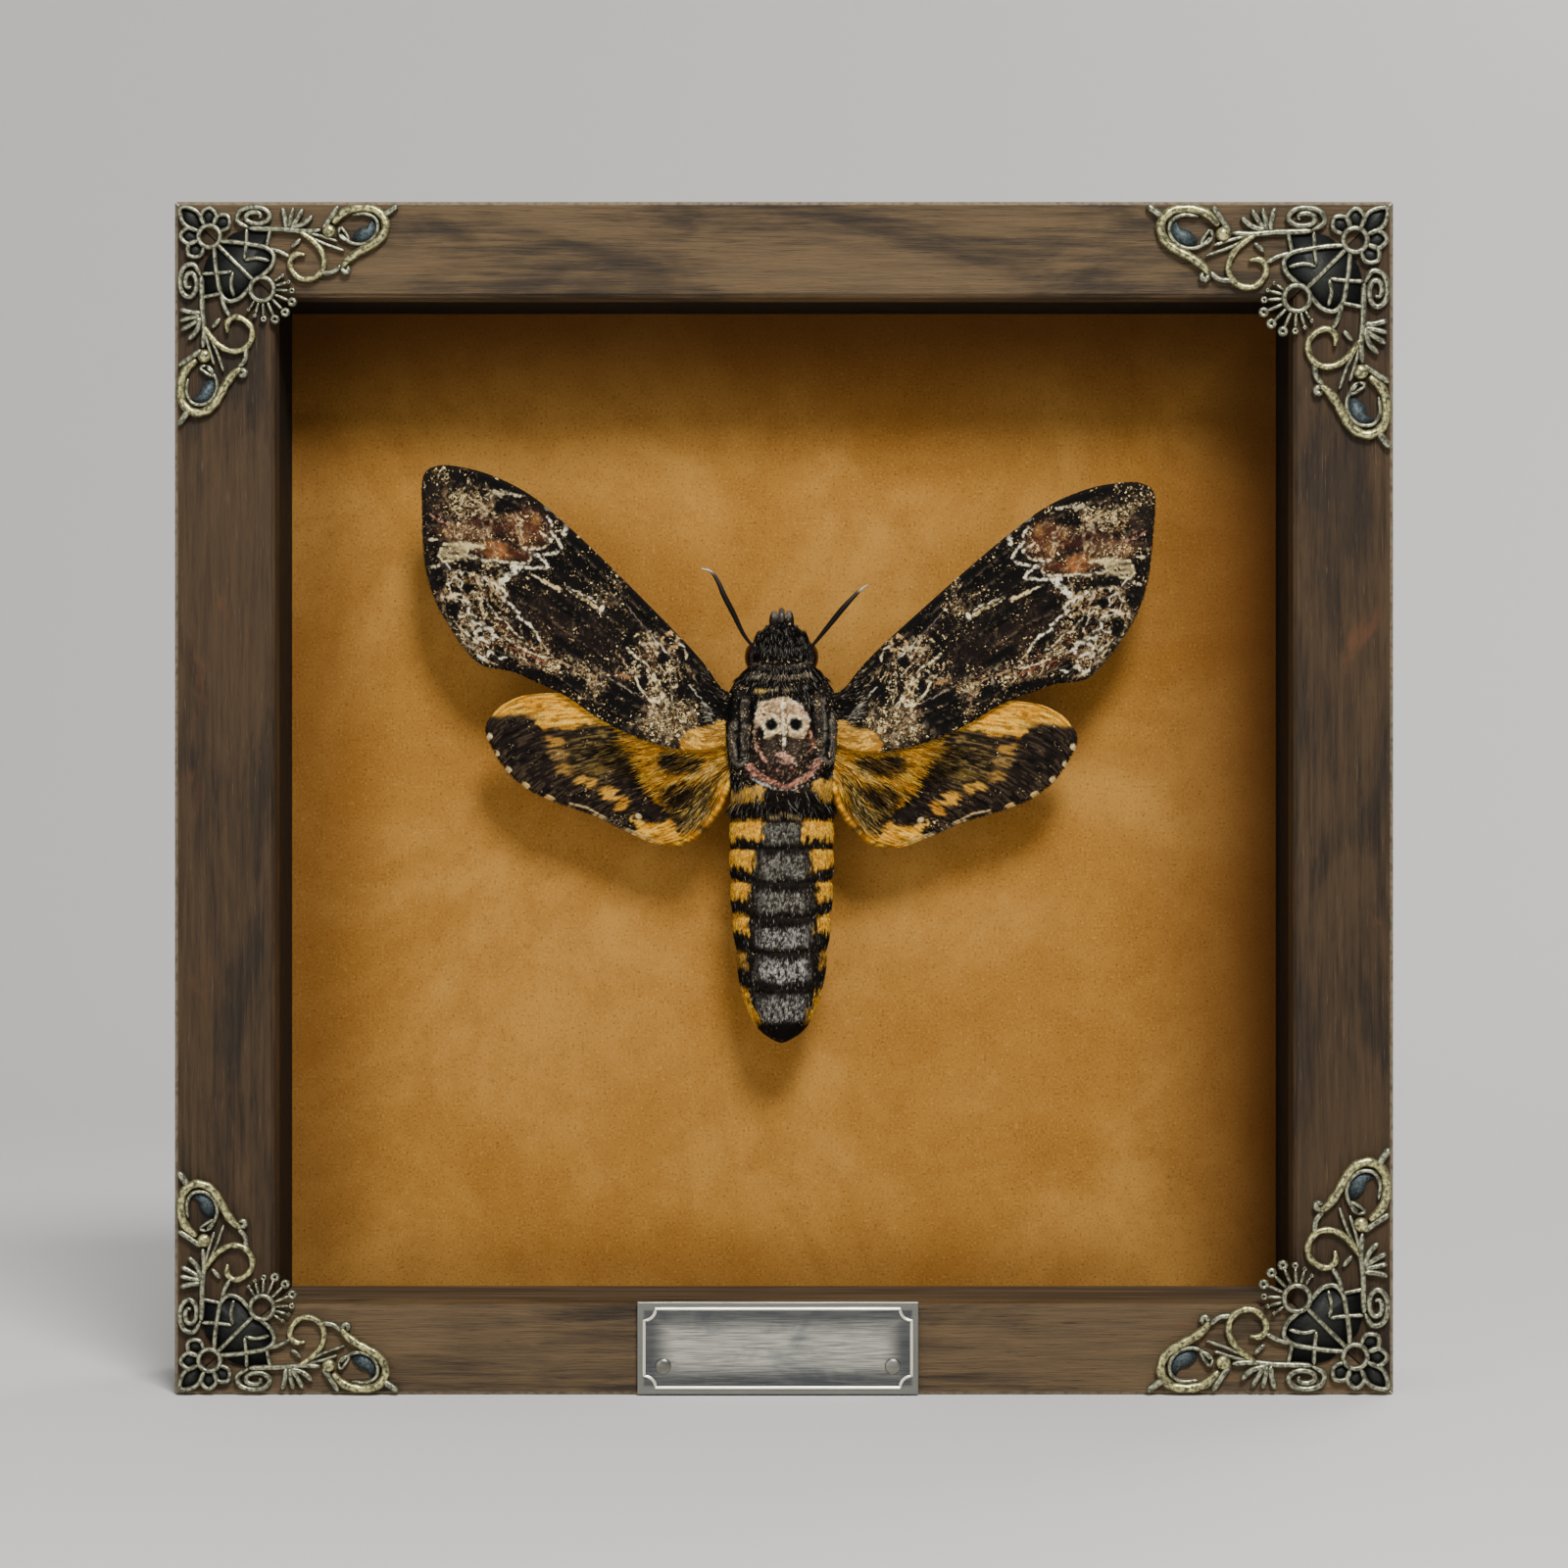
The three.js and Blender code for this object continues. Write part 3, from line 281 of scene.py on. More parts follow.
def ball_points(centre, radii, rings, sides):
    """A closed ball with its poles along z."""
    lat = np.linspace(0, np.pi, rings + 1)[1:-1]
    lon = np.linspace(0, 2 * np.pi, sides, endpoint=False)
    lat, lon = np.meshgrid(lat, lon, indexing="ij")
    body = np.stack([np.sin(lat) * np.cos(lon), np.sin(lat) * np.sin(lon), np.cos(lat)], axis=-1)
    points = np.vstack([body.reshape(-1, 3), [[0, 0, 1], [0, 0, -1]]]) * radii + centre
    return points, tube_quads(rings - 1, sides), end_fans(rings - 1, sides)


# A tuft's root depth, how it narrows, its thickness against its width, how much of its lift it keeps,
# how dark its root is, and the size of its patch in the unwrap
ROOT_DEPTH = 0.08
ROOT_WIDTH = 0.75
TAPER_POWER = 0.6
TUFT_THICKNESS = 0.55
LIFT_KEPT = 0.45
ROOT_SHADE = 0.78
PATCH = 0.003
TUFT_SIDES = ((0, 1), (1, 2), (2, 0))


def add_tufts(pile, roots, normals, lie, length, width, lift, tint, uv, tip_shade=1.0, stations=1):
    """Thin closed blades that grow from roots along lie, raised from the skin by the angle lift."""
    count = len(roots)
    length, width, lift = (np.broadcast_to(v, count)[:, None] for v in (length, width, lift))
    lie = unit(lie - normals * np.sum(lie * normals, axis=1, keepdims=True))
    side = unit(np.cross(lie, normals))
    levels = stations + 1
    centre = roots - normals * ROOT_DEPTH
    sections = []
    for level in range(levels):
        share = level / levels
        taper = (1 - share) ** TAPER_POWER * (ROOT_WIDTH if level == 0 else 1.0)
        half, thick = side * width * taper / 2, normals * width * taper * TUFT_THICKNESS
        sections += [centre - half, centre + half, centre + thick]
        angle = lift * (1 - share * (1 - LIFT_KEPT))
        centre = centre + (np.cos(angle) * lie + np.sin(angle) * normals) * length / levels
    sections.append(centre)
    per = len(sections)
    points = np.stack(sections, axis=1).reshape(-1, 3)
    tris = [[0, 1, 2]]
    for base in range(0, 3 * stations, 3):
        for a, b in TUFT_SIDES:
            tris += [[base + a, base + a + 3, base + b + 3], [base + a, base + b + 3, base + b]]
    tris += [[3 * stations + a, per - 1, 3 * stations + b] for a, b in TUFT_SIDES]
    tris = (np.array(tris)[None] + (np.arange(count) * per)[:, None, None]).reshape(-1, 3)
    shades = np.ones((per, 1))
    shades[:3], shades[-1] = ROOT_SHADE, tip_shade
    colours = np.repeat(tint[:, None, :], per, axis=1)
    colours[..., :3] = np.clip(colours[..., :3] * shades, 0, 255)
    across = np.resize((0, 0.6, 0.3), per)
    across[-1] = 0.5
    offsets = np.stack([across, np.linspace(0, 1, per)], axis=1) * PATCH
    uvs = (uv[:, None, :] + offsets).reshape(-1, 2)
    pile.add(points, tris=tris, tint=colours.reshape(-1, 4), uv=uvs)


# Materials

class Material:
    """A short way to write a node material."""

    def __init__(self, name, **values):
        self.material = bpy.data.materials.new(name)
        self.material.use_nodes = True
        self.tree = self.material.node_tree
        self.shader = self.tree.nodes["Principled BSDF"]
        for key, value in values.items():
            self.shader.inputs[key.replace("_", " ")].default_value = value

    def node(self, kind, inputs=(), **settings):
        node = self.tree.nodes.new("ShaderNode" + kind)
        for key, value in settings.items():
            setattr(node, key, value)
        for key, value in dict(inputs).items():
            self.put(node.inputs[key], value)
        return node

    def put(self, socket, value):
        if isinstance(value, bpy.types.NodeSocket):
            self.tree.links.new(value, socket)
        else:
            socket.default_value = value

    def place(self, scale=(1, 1, 1)):
        """The point on the surface in millimetres, stretched by a scale."""
        where = self.node("TexCoord").outputs["Object"]
        size = tuple(s * 1000 for s in scale)
        return self.node("Mapping", {"Vector": where, "Scale": size}).outputs["Vector"]

    def axes(self):
        """The point on the surface in millimetres, axis by axis."""
        return self.node("SeparateXYZ", {0: self.place()}).outputs

    def tint(self):
        """The mesh's own painted colours."""
        return self.node("Attribute", attribute_name="tint").outputs

    def noise(self, vector, scale=1.0, detail=4.0, roughness=0.55, distortion=0.0):
        values = {"Vector": vector, "Scale": scale, "Detail": detail, "Roughness": roughness}
        return self.node("TexNoise", {**values, "Distortion": distortion}).outputs["Fac"]

    def ramp(self, value, low, high, to_low=0.0, to_high=1.0):
        values = {"Value": value, "From Min": low, "From Max": high, "To Min": to_low, "To Max": to_high}
        return self.node("MapRange", values, interpolation_type="SMOOTHSTEP").outputs["Result"]

    def mix(self, factor, a, b, blend="MIX"):
        node = self.node("Mix", data_type="RGBA", blend_type=blend)
        for socket, value in ((node.inputs[0], factor), (node.inputs[6], a), (node.inputs[7], b)):
            self.put(socket, value)
        return node.outputs[2]

    def laid(self, base, layers):
        """Colours over a base. A layer has the value that guides it, where it starts and is full,
        its share and its colour."""
        for value, start, full, share, colour in layers:
            base = self.mix(self.ramp(value, start, full, 0, share), base, shade(*colour))
        return base

    def math(self, operation, a, b=0.0):
        return self.node("Math", {0: a, 1: b}, operation=operation).outputs[0]

    def times(self, *factors):
        product = factors[0]
        for factor in factors[1:]:
            product = self.math("MULTIPLY", product, factor)
        return product

    def largest(self, *values):
        found = values[0]
        for value in values[1:]:
            found = self.math("MAXIMUM", found, value)
        return found

    def bump(self, height, distance, strength=1.0):
        values = {"Height": height, "Distance": distance * MM, "Strength": strength}
        self.put(self.shader.inputs["Normal"], self.node("Bump", values).outputs["Normal"])

    def colour(self, value):
        self.put(self.shader.inputs["Base Color"], value)

    def rough(self, value):
        self.put(self.shader.inputs["Roughness"], value)


def rail_wood(name, upright):
    """Dark stained, brushed wood with reddish wear, a patchy painted highlight on its outer edges, and
    painted shade if upright.
    """
    m = Material(name, Roughness=0.66, Specular_IOR_Level=0.22)
    along, across = 0.05, 1.0
    scale = (across, across, along) if upright else (along, across, across)
    grain = m.noise(m.place(scale), 1.25, 8, 0.66, 0.25)
    fibre = m.noise(m.place(tuple(s * 3.6 for s in scale)), 1.0, 4, 0.62)
    wide = m.noise(m.place(tuple(0.07 * s ** 0.35 for s in scale)), 1.0, 4, 0.6, 0.8)
    wear = m.noise(m.place(tuple(0.045 * s ** 0.2 for s in scale)), 1.0, 5, 0.62, 1.2)
    # Upright rails get darker colours than the rails across: painted shade on the uprights, painted light
    # on the rails across
    dark, pale = ((31, 22, 13), (66, 50, 32)) if upright else ((44, 34, 22), (92, 74, 50))
    base = m.mix(m.ramp(grain, 0.3, 0.7), shade(*dark), shade(*pale))
    base = m.laid(base, [
        (wide, 0.42, 0.62, 0.45, 1.15 * np.array(pale)),
        (wear, 0.6, 0.7, 0.4, (98, 60, 36)),
        (wide, 0.48, 0.34, 0.6, (34, 28, 21)),
        (fibre, 0.4, 0.26, 0.7, (20, 14, 10)),
        (fibre, 0.62, 0.76, 0.45, (118, 100, 76)),
    ])
    where = m.axes()
    from_side = m.math("SUBTRACT", FRAME_WIDTH / 2, m.math("ABSOLUTE", where["X"]))
    height = m.math("ABSOLUTE", m.math("SUBTRACT", where["Z"], FRAME_HEIGHT / 2))
    from_end = m.math("SUBTRACT", FRAME_HEIGHT / 2, height)
    outer = m.math("MINIMUM", from_side, from_end)
    front = m.ramp(where["Y"], FRONT_Y + 1.4, FRONT_Y + 0.2)
    patchy = m.ramp(m.noise(m.place(), 0.9, 4), 0.3, 0.6, 0.25, 0.85)
    # Painted highlight: a pale, patchy line along the outer edges of the front face
    edge_highlight = m.times(m.ramp(outer, 0.75, 0.35), front, patchy)
    m.colour(m.mix(edge_highlight, base, shade(136, 122, 98)))
    m.rough(m.ramp(grain, 0.3, 0.75, 0.54, 0.78))
    m.bump(m.math("ADD", grain, m.times(fibre, 0.7)), 0.3, 0.9)
    return m.material


def stained_liner(name, dark, pale, stretch=(0.3, 0.3, 0.3)):
    """Plain stained wood. The stretch sets how its grain runs."""
    m = Material(name, Roughness=0.7, Specular_IOR_Level=0.2)
    grain = m.noise(m.place(stretch), 1.0, 6, 0.6, 0.4)
    m.colour(m.mix(m.ramp(grain, 0.3, 0.75), dark, pale))
    m.bump(grain, 0.3, 0.6)
    return m.material


def parchment():
    """Ochre card, mottled, with a darker border, partly the card's own darker tone and partly painted
    shadow of the rails.
    """
    m = Material("parchment", Roughness=0.88, Specular_IOR_Level=0.15)
    here = m.place()
    broad = m.noise(here, 0.028, 5, 0.6, 0.6)
    patch = m.noise(here, 0.16, 5, 0.65, 0.3)
    fleck = m.noise(here, 0.75, 5, 0.7)
    dust = m.noise(here, 2.4, 3, 0.6)
    base = m.mix(m.ramp(broad, 0.3, 0.72), shade(148, 100, 36), shade(176, 128, 58))
    base = m.laid(base, [
        (patch, 0.62, 0.34, 0.24, (128, 82, 26)),
        (fleck, 0.42, 0.3, 0.35, (104, 62, 16)),
        (fleck, 0.58, 0.75, 0.3, (200, 154, 80)),
        (dust, 0.45, 0.3, 0.7, (88, 52, 14)),
        (dust, 0.56, 0.7, 0.35, (206, 164, 96)),
    ])
    where = m.axes()
    # A darker border: partly the card's own darker tone, partly painted shadow of the rails, deepest at the
    # top and right
    half = FRAME_WIDTH / 2 - SIDE_RAIL
    toned_and_shaded = m.largest(
        m.ramp(m.math("ADD", half, where["X"]), 1, 22, 0.5, 0),
        m.ramp(m.math("SUBTRACT", half, where["X"]), 1, 32, 0.85, 0),
        m.ramp(m.math("SUBTRACT", FRAME_HEIGHT - TOP_RAIL, where["Z"]), 0, 32, 0.85, 0),
        m.ramp(m.math("SUBTRACT", where["Z"], BOTTOM_RAIL), 0, 14, 0.35, 0),
    )
    m.colour(m.mix(toned_and_shaded, base, shade(68, 36, 6)))
    m.bump(m.math("ADD", fleck, m.times(patch, 0.5)), 0.18, 0.5)
    return m.material


def antique_metal():
    """Cast metal: pale ridges, dark recesses by height above the wood, and painted shade on flanks by
    slope.
    """
    m = Material("antique_metal", Metallic=0.8, Roughness=0.36)
    tint = m.tint()["Color"]
    grime = m.noise(m.place(), 1.5, 5, 0.65)
    height = m.math("ADD", m.times(m.axes()["Y"], -1), m.times(grime, 0.4))
    normal = m.node("NewGeometry").outputs["Normal"]
    # Flanks that turn from the viewer take the dark colour of the recesses: painted shade
    facing = m.times(m.node("SeparateXYZ", {0: normal}).outputs["Y"], -1)
    raised = m.times(m.ramp(height, ORNAMENT_BASE + 0.35, ORNAMENT_BASE + 0.85), m.ramp(facing, 0.55, 0.95))
    ridge = m.mix(m.ramp(grime, 0.38, 0.64), shade(84, 84, 70), tint)
    recess_and_shade = m.mix(m.ramp(m.noise(m.place(), 4, 3), 0.35, 0.65, 0.1, 0.42), shade(8, 8, 7), tint)
    m.colour(m.mix(raised, recess_and_shade, ridge))
    m.rough(m.ramp(raised, 0, 1, 0.6, 0.3))
    m.bump(m.noise(m.place(), 3.0, 3, 0.55), 0.06, 0.6)
    return m.material


def pewter():
    """Brushed grey plate that darkens inside its bright border line."""
    m = Material("pewter", Metallic=0.8, Roughness=0.34)
    brushed = m.noise(m.place((0.1, 1.5, 3.8)), 1.6, 6, 0.65)
    blotch = m.noise(m.place((0.6, 1, 1)), 0.16, 4, 0.6, 0.5)
    where = m.axes()
    from_mid = m.math("ABSOLUTE", m.math("SUBTRACT", where["Z"], PLATE_CENTRE[2]))
    aside = m.math("ABSOLUTE", m.math("SUBTRACT", where["X"], PLATE_CENTRE[0]))
    from_side = m.math("SUBTRACT", PLATE_WIDTH / 2, aside)
    near_edge = m.largest(m.ramp(from_mid, 2.0, 5.4), m.ramp(from_side, 6.5, 2.2))
    outside = m.largest(m.ramp(from_mid, 5.9, 6.5), m.ramp(from_side, 1.4, 0.8))
    base = m.mix(m.ramp(brushed, 0.3, 0.7), shade(118, 118, 110), shade(206, 204, 190))
    base = m.laid(base, [(blotch, 0.46, 0.68, 0.5, (92, 98, 104))])
    base = m.mix(m.times(near_edge, 0.8), base, shade(44, 48, 58))
    base = m.mix(m.times(outside, 0.75), base, shade(134, 134, 126))
    face = ORNAMENT_BASE + PLATE_THICKNESS
    raised = m.ramp(m.times(where["Y"], -1), face + 0.05, face + 0.14)
    m.colour(m.mix(raised, base, shade(240, 236, 214)))
    m.rough(m.ramp(brushed, 0.3, 0.7, 0.28, 0.46))
    m.bump(brushed, 0.04, 0.7)
    return m.material


def plain_metal(name, low, high, rough):
    """Dull rolled metal, a little worn."""
    m = Material(name, Metallic=0.95, Roughness=rough)
    wear = m.noise(m.place((0.08, 1, 0.5)), 1.2, 5, 0.6)
    m.colour(m.mix(m.ramp(wear, 0.3, 0.7), low, high))
    m.rough(m.ramp(wear, 0.3, 0.7, rough - 0.08, rough + 0.12))
    m.bump(wear, 0.05, 0.5)
    return m.material


def pressed_board(name, low, high, size):
    """Board or cork, with a grain of one size."""
    m = Material(name, Roughness=0.85, Specular_IOR_Level=0.2)
    grain = m.noise(m.place(), size, 6, 0.7)
    m.colour(m.mix(m.ramp(grain, 0.32, 0.68), low, high))
    m.bump(grain, 0.25, 0.7)
    return m.material


def scaled_skin(name):
    """Scaled surface painted by the mesh's own tint, whose alpha gives the share of pale scales on it."""
    m = Material(name, Roughness=0.8, Specular_IOR_Level=0.08)
    tint = m.tint()
    fine = m.noise(m.place(), 4.2, 3, 0.6)
    winding = m.noise(m.place((1, 1, 1.25)), 1.0, 2, 0.5, 1.3)
    scatter = m.noise(m.place(), 2.3, 2, 0.5, 0.4)
    broad = m.noise(m.place(), 0.5, 3, 0.6)
    share = m.math("ADD", m.times(tint["Alpha"], 0.8), m.times(m.math("SUBTRACT", broad, 0.5), 1.5))
    worms = m.ramp(m.math("ABSOLUTE", m.math("SUBTRACT", winding, 0.5)), 0.025, 0.06, 1, 0)
    worms = m.times(worms, m.ramp(share, 0.42, 0.7), m.ramp(scatter, 0.38, 0.5))
    dots = m.times(m.ramp(scatter, 0.61, 0.66), m.ramp(share, 0.05, 0.45))
    flecks = m.times(m.largest(worms, dots), 0.95)
    warmth = m.ramp(m.noise(m.place(), 0.9, 3, 0.6), 0.4, 0.6)
    pale = m.mix(warmth, shade(118, 88, 50), shade(242, 214, 154))
    ground = m.mix(m.ramp(fine, 0.36, 0.7, 0, 0.5), tint["Color"], shade(4, 3, 3))
    m.colour(m.mix(flecks, ground, pale))
    m.bump(m.math("ADD", fine, m.times(flecks, 0.5)), 0.1, 0.8)
    return m.material


def hair(name):
    """Hair in the colours of its tufts."""
    m = Material(name, Roughness=0.62, Specular_IOR_Level=0.07)
    tint = m.tint()
    uneven = m.noise(m.place(), 2.2, 3, 0.6)
    m.colour(m.mix(m.ramp(uneven, 0.3, 0.7, 0.35, 0), tint["Color"], shade(5, 4, 3)))
    return m.material


def shell(name, gloss, shine=0.4):
    """The hard parts of the moth, in their painted colours."""
    m = Material(name, Roughness=gloss, Specular_IOR_Level=shine)
    tint = m.tint()
    uneven = m.noise(m.place(), 3.0, 3, 0.6)
    m.colour(m.mix(m.ramp(uneven, 0.35, 0.7, 0, 0.4), tint["Color"], shade(4, 3, 3)))
    m.bump(uneven, 0.05, 0.5)
    return m.material


# Lit and shaded copies of one wood: painted light on the rails across, painted shade on the uprights
wood_across_painted_light = rail_wood("wood_across_painted_light", False)
wood_upright_painted_shade = rail_wood("wood_upright_painted_shade", True)
liner_look = stained_liner("liner_black", shade(10, 8, 6), shade(26, 21, 16))
# The bottom liner is a lighter copy of the black liner: painted light, as if lit from above
lit_sill_look = stained_liner("liner_painted_lit", shade(52, 43, 32), shade(90, 76, 58), (0.03, 0.5, 0.5))
card_look = parchment()
metal_look = antique_metal()
plate_look = pewter()
steel_look = plain_metal("dull_steel", shade(112, 110, 103), shade(140, 138, 129), 0.36)
board_look = pressed_board("hardboard_brown", shade(88, 60, 38), shade(120, 86, 56), 1.4)
cork_look = pressed_board("cork_brown", shade(118, 84, 52), shade(176, 134, 90), 0.9)
wing_look = scaled_skin("wing_scales")
body_look = scaled_skin("body_scales")
hair_look = hair("moth_hair")
shell_look = shell("dark_shell", 0.34)
feeler_look = shell("feeler", 0.62, 0.12)
eye_look = shell("eye_shell", 0.22, 0.5)


# CAD nodes that stay, with their looks

def dress_node(name, material):
    """Gives a solid of the part its material."""
    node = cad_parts[name]
    node.data.materials.clear()
    node.data.materials.append(material)


for side in ("top", "bottom", "left", "right"):
    dress_node("rail_" + side, wood_upright_painted_shade if side in SIDES else wood_across_painted_light)
    # The bottom liner takes the lighter copy, painted light
    dress_node("liner_" + side, lit_sill_look if side == "bottom" else liner_look)
    for letter in "ab":
        dress_node(f"back_tab_{side}_{letter}", steel_look)
dress_node("backing_card", card_look)
dress_node("back_board", board_look)
dress_node("sawtooth_hanger", steel_look)
dress_node("mounting_block", cork_look)


# The pierced corner mounts, in [a, b] from the frame's corner, a along one edge and b along the other.
# Each stroke has its name, its points, its half width and its height above the wood.
BRASS = np.array([222, 212, 146, 1.0])
SILVER = np.array([184, 183, 152, 1.0])
# The dark web behind the bars: the casting's own web, and behind the lattice also painted shade for the
# wood in its holes
WEB_AND_SHADE = np.array([52, 54, 54, 1.0])
LEAF = np.array([112, 128, 134, 1.0])
FLOWER = (5.8, 5.8)
ROSETTE = (14.7, 14.7)
STROKES = [
    ("stem", [(12.4, 4.4), (15, 4.5), (18.5, 4.6), (21.5, 4.9), (24.6, 4.7)], 0.42, 1.0),
    ("bar", [(25, 4.4), (26.3, 2.6), (27.6, 0.6)], 0.45, 1.0),
    ("finger_a", [(18.7, 4.4), (18.6, 2.8), (18.1, 0.9)], 0.42, 1.0),
    ("finger_b", [(19.3, 4.3), (19.5, 2.8), (20, 0.9)], 0.38, 1.0),
    ("finger_c", [(19.6, 4.3), (20.5, 3), (21.6, 1.1)], 0.4, 1.0),
    ("finger_d", [(19.4, 4.3), (21.6, 3.7), (23.2, 2.3)], 0.42, 1.0),
    ("crescent", [(26.7, 3.6), (28.6, 1.7), (31.5, 0.95), (34.2, 1.5), (35.6, 3.6), (34.9, 5.9),
      (33, 7.4), (30.9, 8.5), (29, 9.9), (28.1, 11.1)], 0.62, 1.25),
    ("inner_rim", [(28, 5.4), (29.2, 6.6), (31, 7.1), (32.9, 6.5), (34.1, 5), (34, 3), (32.2, 1.95),
      (29.8, 2.2)], 0.3, 0.85),
    ("tail", [(35, 2.3), (36.3, 1.5), (37.6, 0.5)], 0.5, 1.05),
    ("knuckle", [(28.1, 11.1), (28.7, 11.9), (29.3, 11.7), (29.2, 10.8)], 0.45, 1.15),
    ("neck", [(28, 10.7), (26.6, 11.8), (24.6, 12)], 0.4, 0.95),
    ("curl", [(21, 4.9), (23.6, 6.8), (25.1, 9.2), (24.9, 11.4), (23.4, 12.8), (21.2, 12.9),
      (19.7, 11.4), (19.4, 9.9), (20.4, 8.8), (22, 8.9)], 0.45, 1.05),
    ("leaf_edge", [(27.6, 5.3), (27.9, 4.2), (28.8, 5.2), (29.4, 6.4), (28.3, 6.2),
      (27.6, 5.3)], 0.26, 0.9),
    ("vein_a", [(21.6, 5), (24.6, 5.7), (27.4, 6.6)], 0.26, 0.75),
    ("vein_b", [(22, 5.5), (25.2, 7), (28.6, 8.2)], 0.26, 0.75),
    ("small_bar", [(19.6, 7.6), (21.2, 6.2)], 0.36, 0.7),
    ("lattice_rim", [(7.2, 6.6), (9.6, 6.7), (12.6, 7.1), (15.6, 7.8), (16.7, 9), (16.3, 10.8),
      (14.9, 12.2), (13.4, 13.4)], 0.36, 0.95),
    ("lattice_a", [(12.1, 4.5), (12, 7), (11.7, 9.6)], 0.3, 0.85),
    ("lattice_b", [(11.8, 9.8), (13.6, 9.4), (15.9, 9.9)], 0.3, 0.85),
    ("lattice_c", [(16.1, 4.5), (15.4, 7.8)], 0.3, 0.85),
    ("link", [(15.6, 7.8), (17.6, 8.3), (19.4, 9.3)], 0.36, 0.9),
]
SPINE = [(6.8, 6.8), (13.3, 13.3)]
LATTICE = [
    (7.6, 7.6), (9.4, 5.4), (12.1, 4.7), (16, 4.7), (15.5, 7.8), (16.3, 9.6), (15, 12), (13.2, 13.2),
]
LATTICE_MIDDLE = (11.5, 11.5)
LEAF_EDGE = [
    (29.9, 5.9), (31.2, 4.3), (32.6, 3.9), (33.4, 2.6), (34.3, 4), (33.8, 5.8), (32.2, 6.8), (30.6, 6.9),
]
SPIRAL = {
    "centre": (13.6, 2.45),
    "reach": (3.5, 2.0),
    "start": 110,
    "turns": 1.8,
    "shrink": 0.78,
    "points": 14,
}
BEAD = {"at": (26, 4.9), "height": 0.7, "radii": (1.15, 1.15, 0.68)}
# Petals and rays: direction in degrees, length or reach, and the width of the petal or of the ray's bead
PETALS = [(225, 6.9, 1.5), (268, 4.9, 1.35), (182, 4.9, 1.35), (312, 4.7, 1.35), (138, 4.7, 1.35)]
RAYS = [(45, 5.6, 0.85), (23, 5.6, 0.85), (67, 5.6, 0.85), (3, 5.1, 0.6), (87, 5.1, 0.6),
        (-15, 4.7, 0.45), (105, 4.7, 0.45), (-33, 4.2, 0.4), (123, 4.2, 0.4)]
# Corners of the frame: the signs of x and z, and the mount's size against its drawing
CORNERS = {
    "top_left": (-1, 1, 0.97),
    "top_right": (1, 1, 1.07),
    "bottom_left": (-1, -1, 0.97),
    "bottom_right": (1, -1, 1.07),
}


# How much wider than its line a bar is cast, and how high the web behind the bars is at its rim and middle
BOLDNESS = 1.2
WEB_RIM = 0.2
WEB_MIDDLE = 0.34
BAR_SIDES = 8
BAR_SPACING = 0.42
# Where petals and rays start, the half angle of a petal's foot, and the two hubs
PETAL_FOOT = 1.9
PETAL_SPREAD = 22
RAY_FOOT = 2.2
HUBS = [(FLOWER, 1.85), (ROSETTE, 2.0)]
# Half width and height of the bars that the strokes don't give
SPINE_BAR = (0.34, 0.9)
PETAL_BAR = (0.34, 1.0)
RAY_BAR = (0.26, 0.9)
HUB_BAR = (0.38, 1.2)
SPIRAL_BAR = (0.4, 1.0)


def around(centre, degrees, distance):
    """The point at a distance from a centre, in a direction."""
    angle = math.radians(degrees)
    return (centre[0] + distance * math.cos(angle), centre[1] + distance * math.sin(angle))


def swapped(points):
    """A line mirrored in the corner's diagonal."""
    return [(b, a) for a, b in points]


def ornament_bar(pile, points, half, high, closed=False, spacing=BAR_SPACING, ribs=0.0, tint=SILVER):
    """A cast bar along a line, narrowed at its ends and ribbed along its length."""
    points = np.array(points, float)
    length = np.sum(np.linalg.norm(np.diff(points, axis=0), axis=1))
    count = max(int(length / spacing), 3)
    line = smooth_line(points, count, closed)
    t = np.arange(count) / max(count - 1, 1)
    swell = 1 + 0.6 * ribs * np.sin(np.arange(count) * 1.3)
    ends = 1.0 if closed else np.minimum(1, 0.55 + 6 * np.minimum(t, 1 - t))
    wide = half * BOLDNESS * swell * ends
    lifted = np.column_stack([line, np.full(count, high / 2)])
    pile.add(*sweep(lifted, wide, high / 2, BAR_SIDES, up=(0, 0, 1), closed=closed), tint)


def ornament_web(pile, outline, middle, tint=WEB_AND_SHADE):
    """A thin slab behind an outline of [a, b] points."""
    ring = smooth_line(outline, 36, closed=True)
    count = len(ring)
    low, high = np.zeros((count, 1)), np.full((count, 1), WEB_RIM)
    middles = [[*middle, WEB_MIDDLE], [*middle, 0]]
    points = np.vstack([np.hstack([ring, high]), np.hstack([ring, low]), middles])
    pile.add(points, tube_quads(2, count)[:, TURNED_QUAD], end_fans(2, count)[:, TURNED_TRI], tint)


def hub(centre, radius, count):
    """Points of a ring round a centre."""
    return [around(centre, k * 360 / count, radius) for k in range(count)]


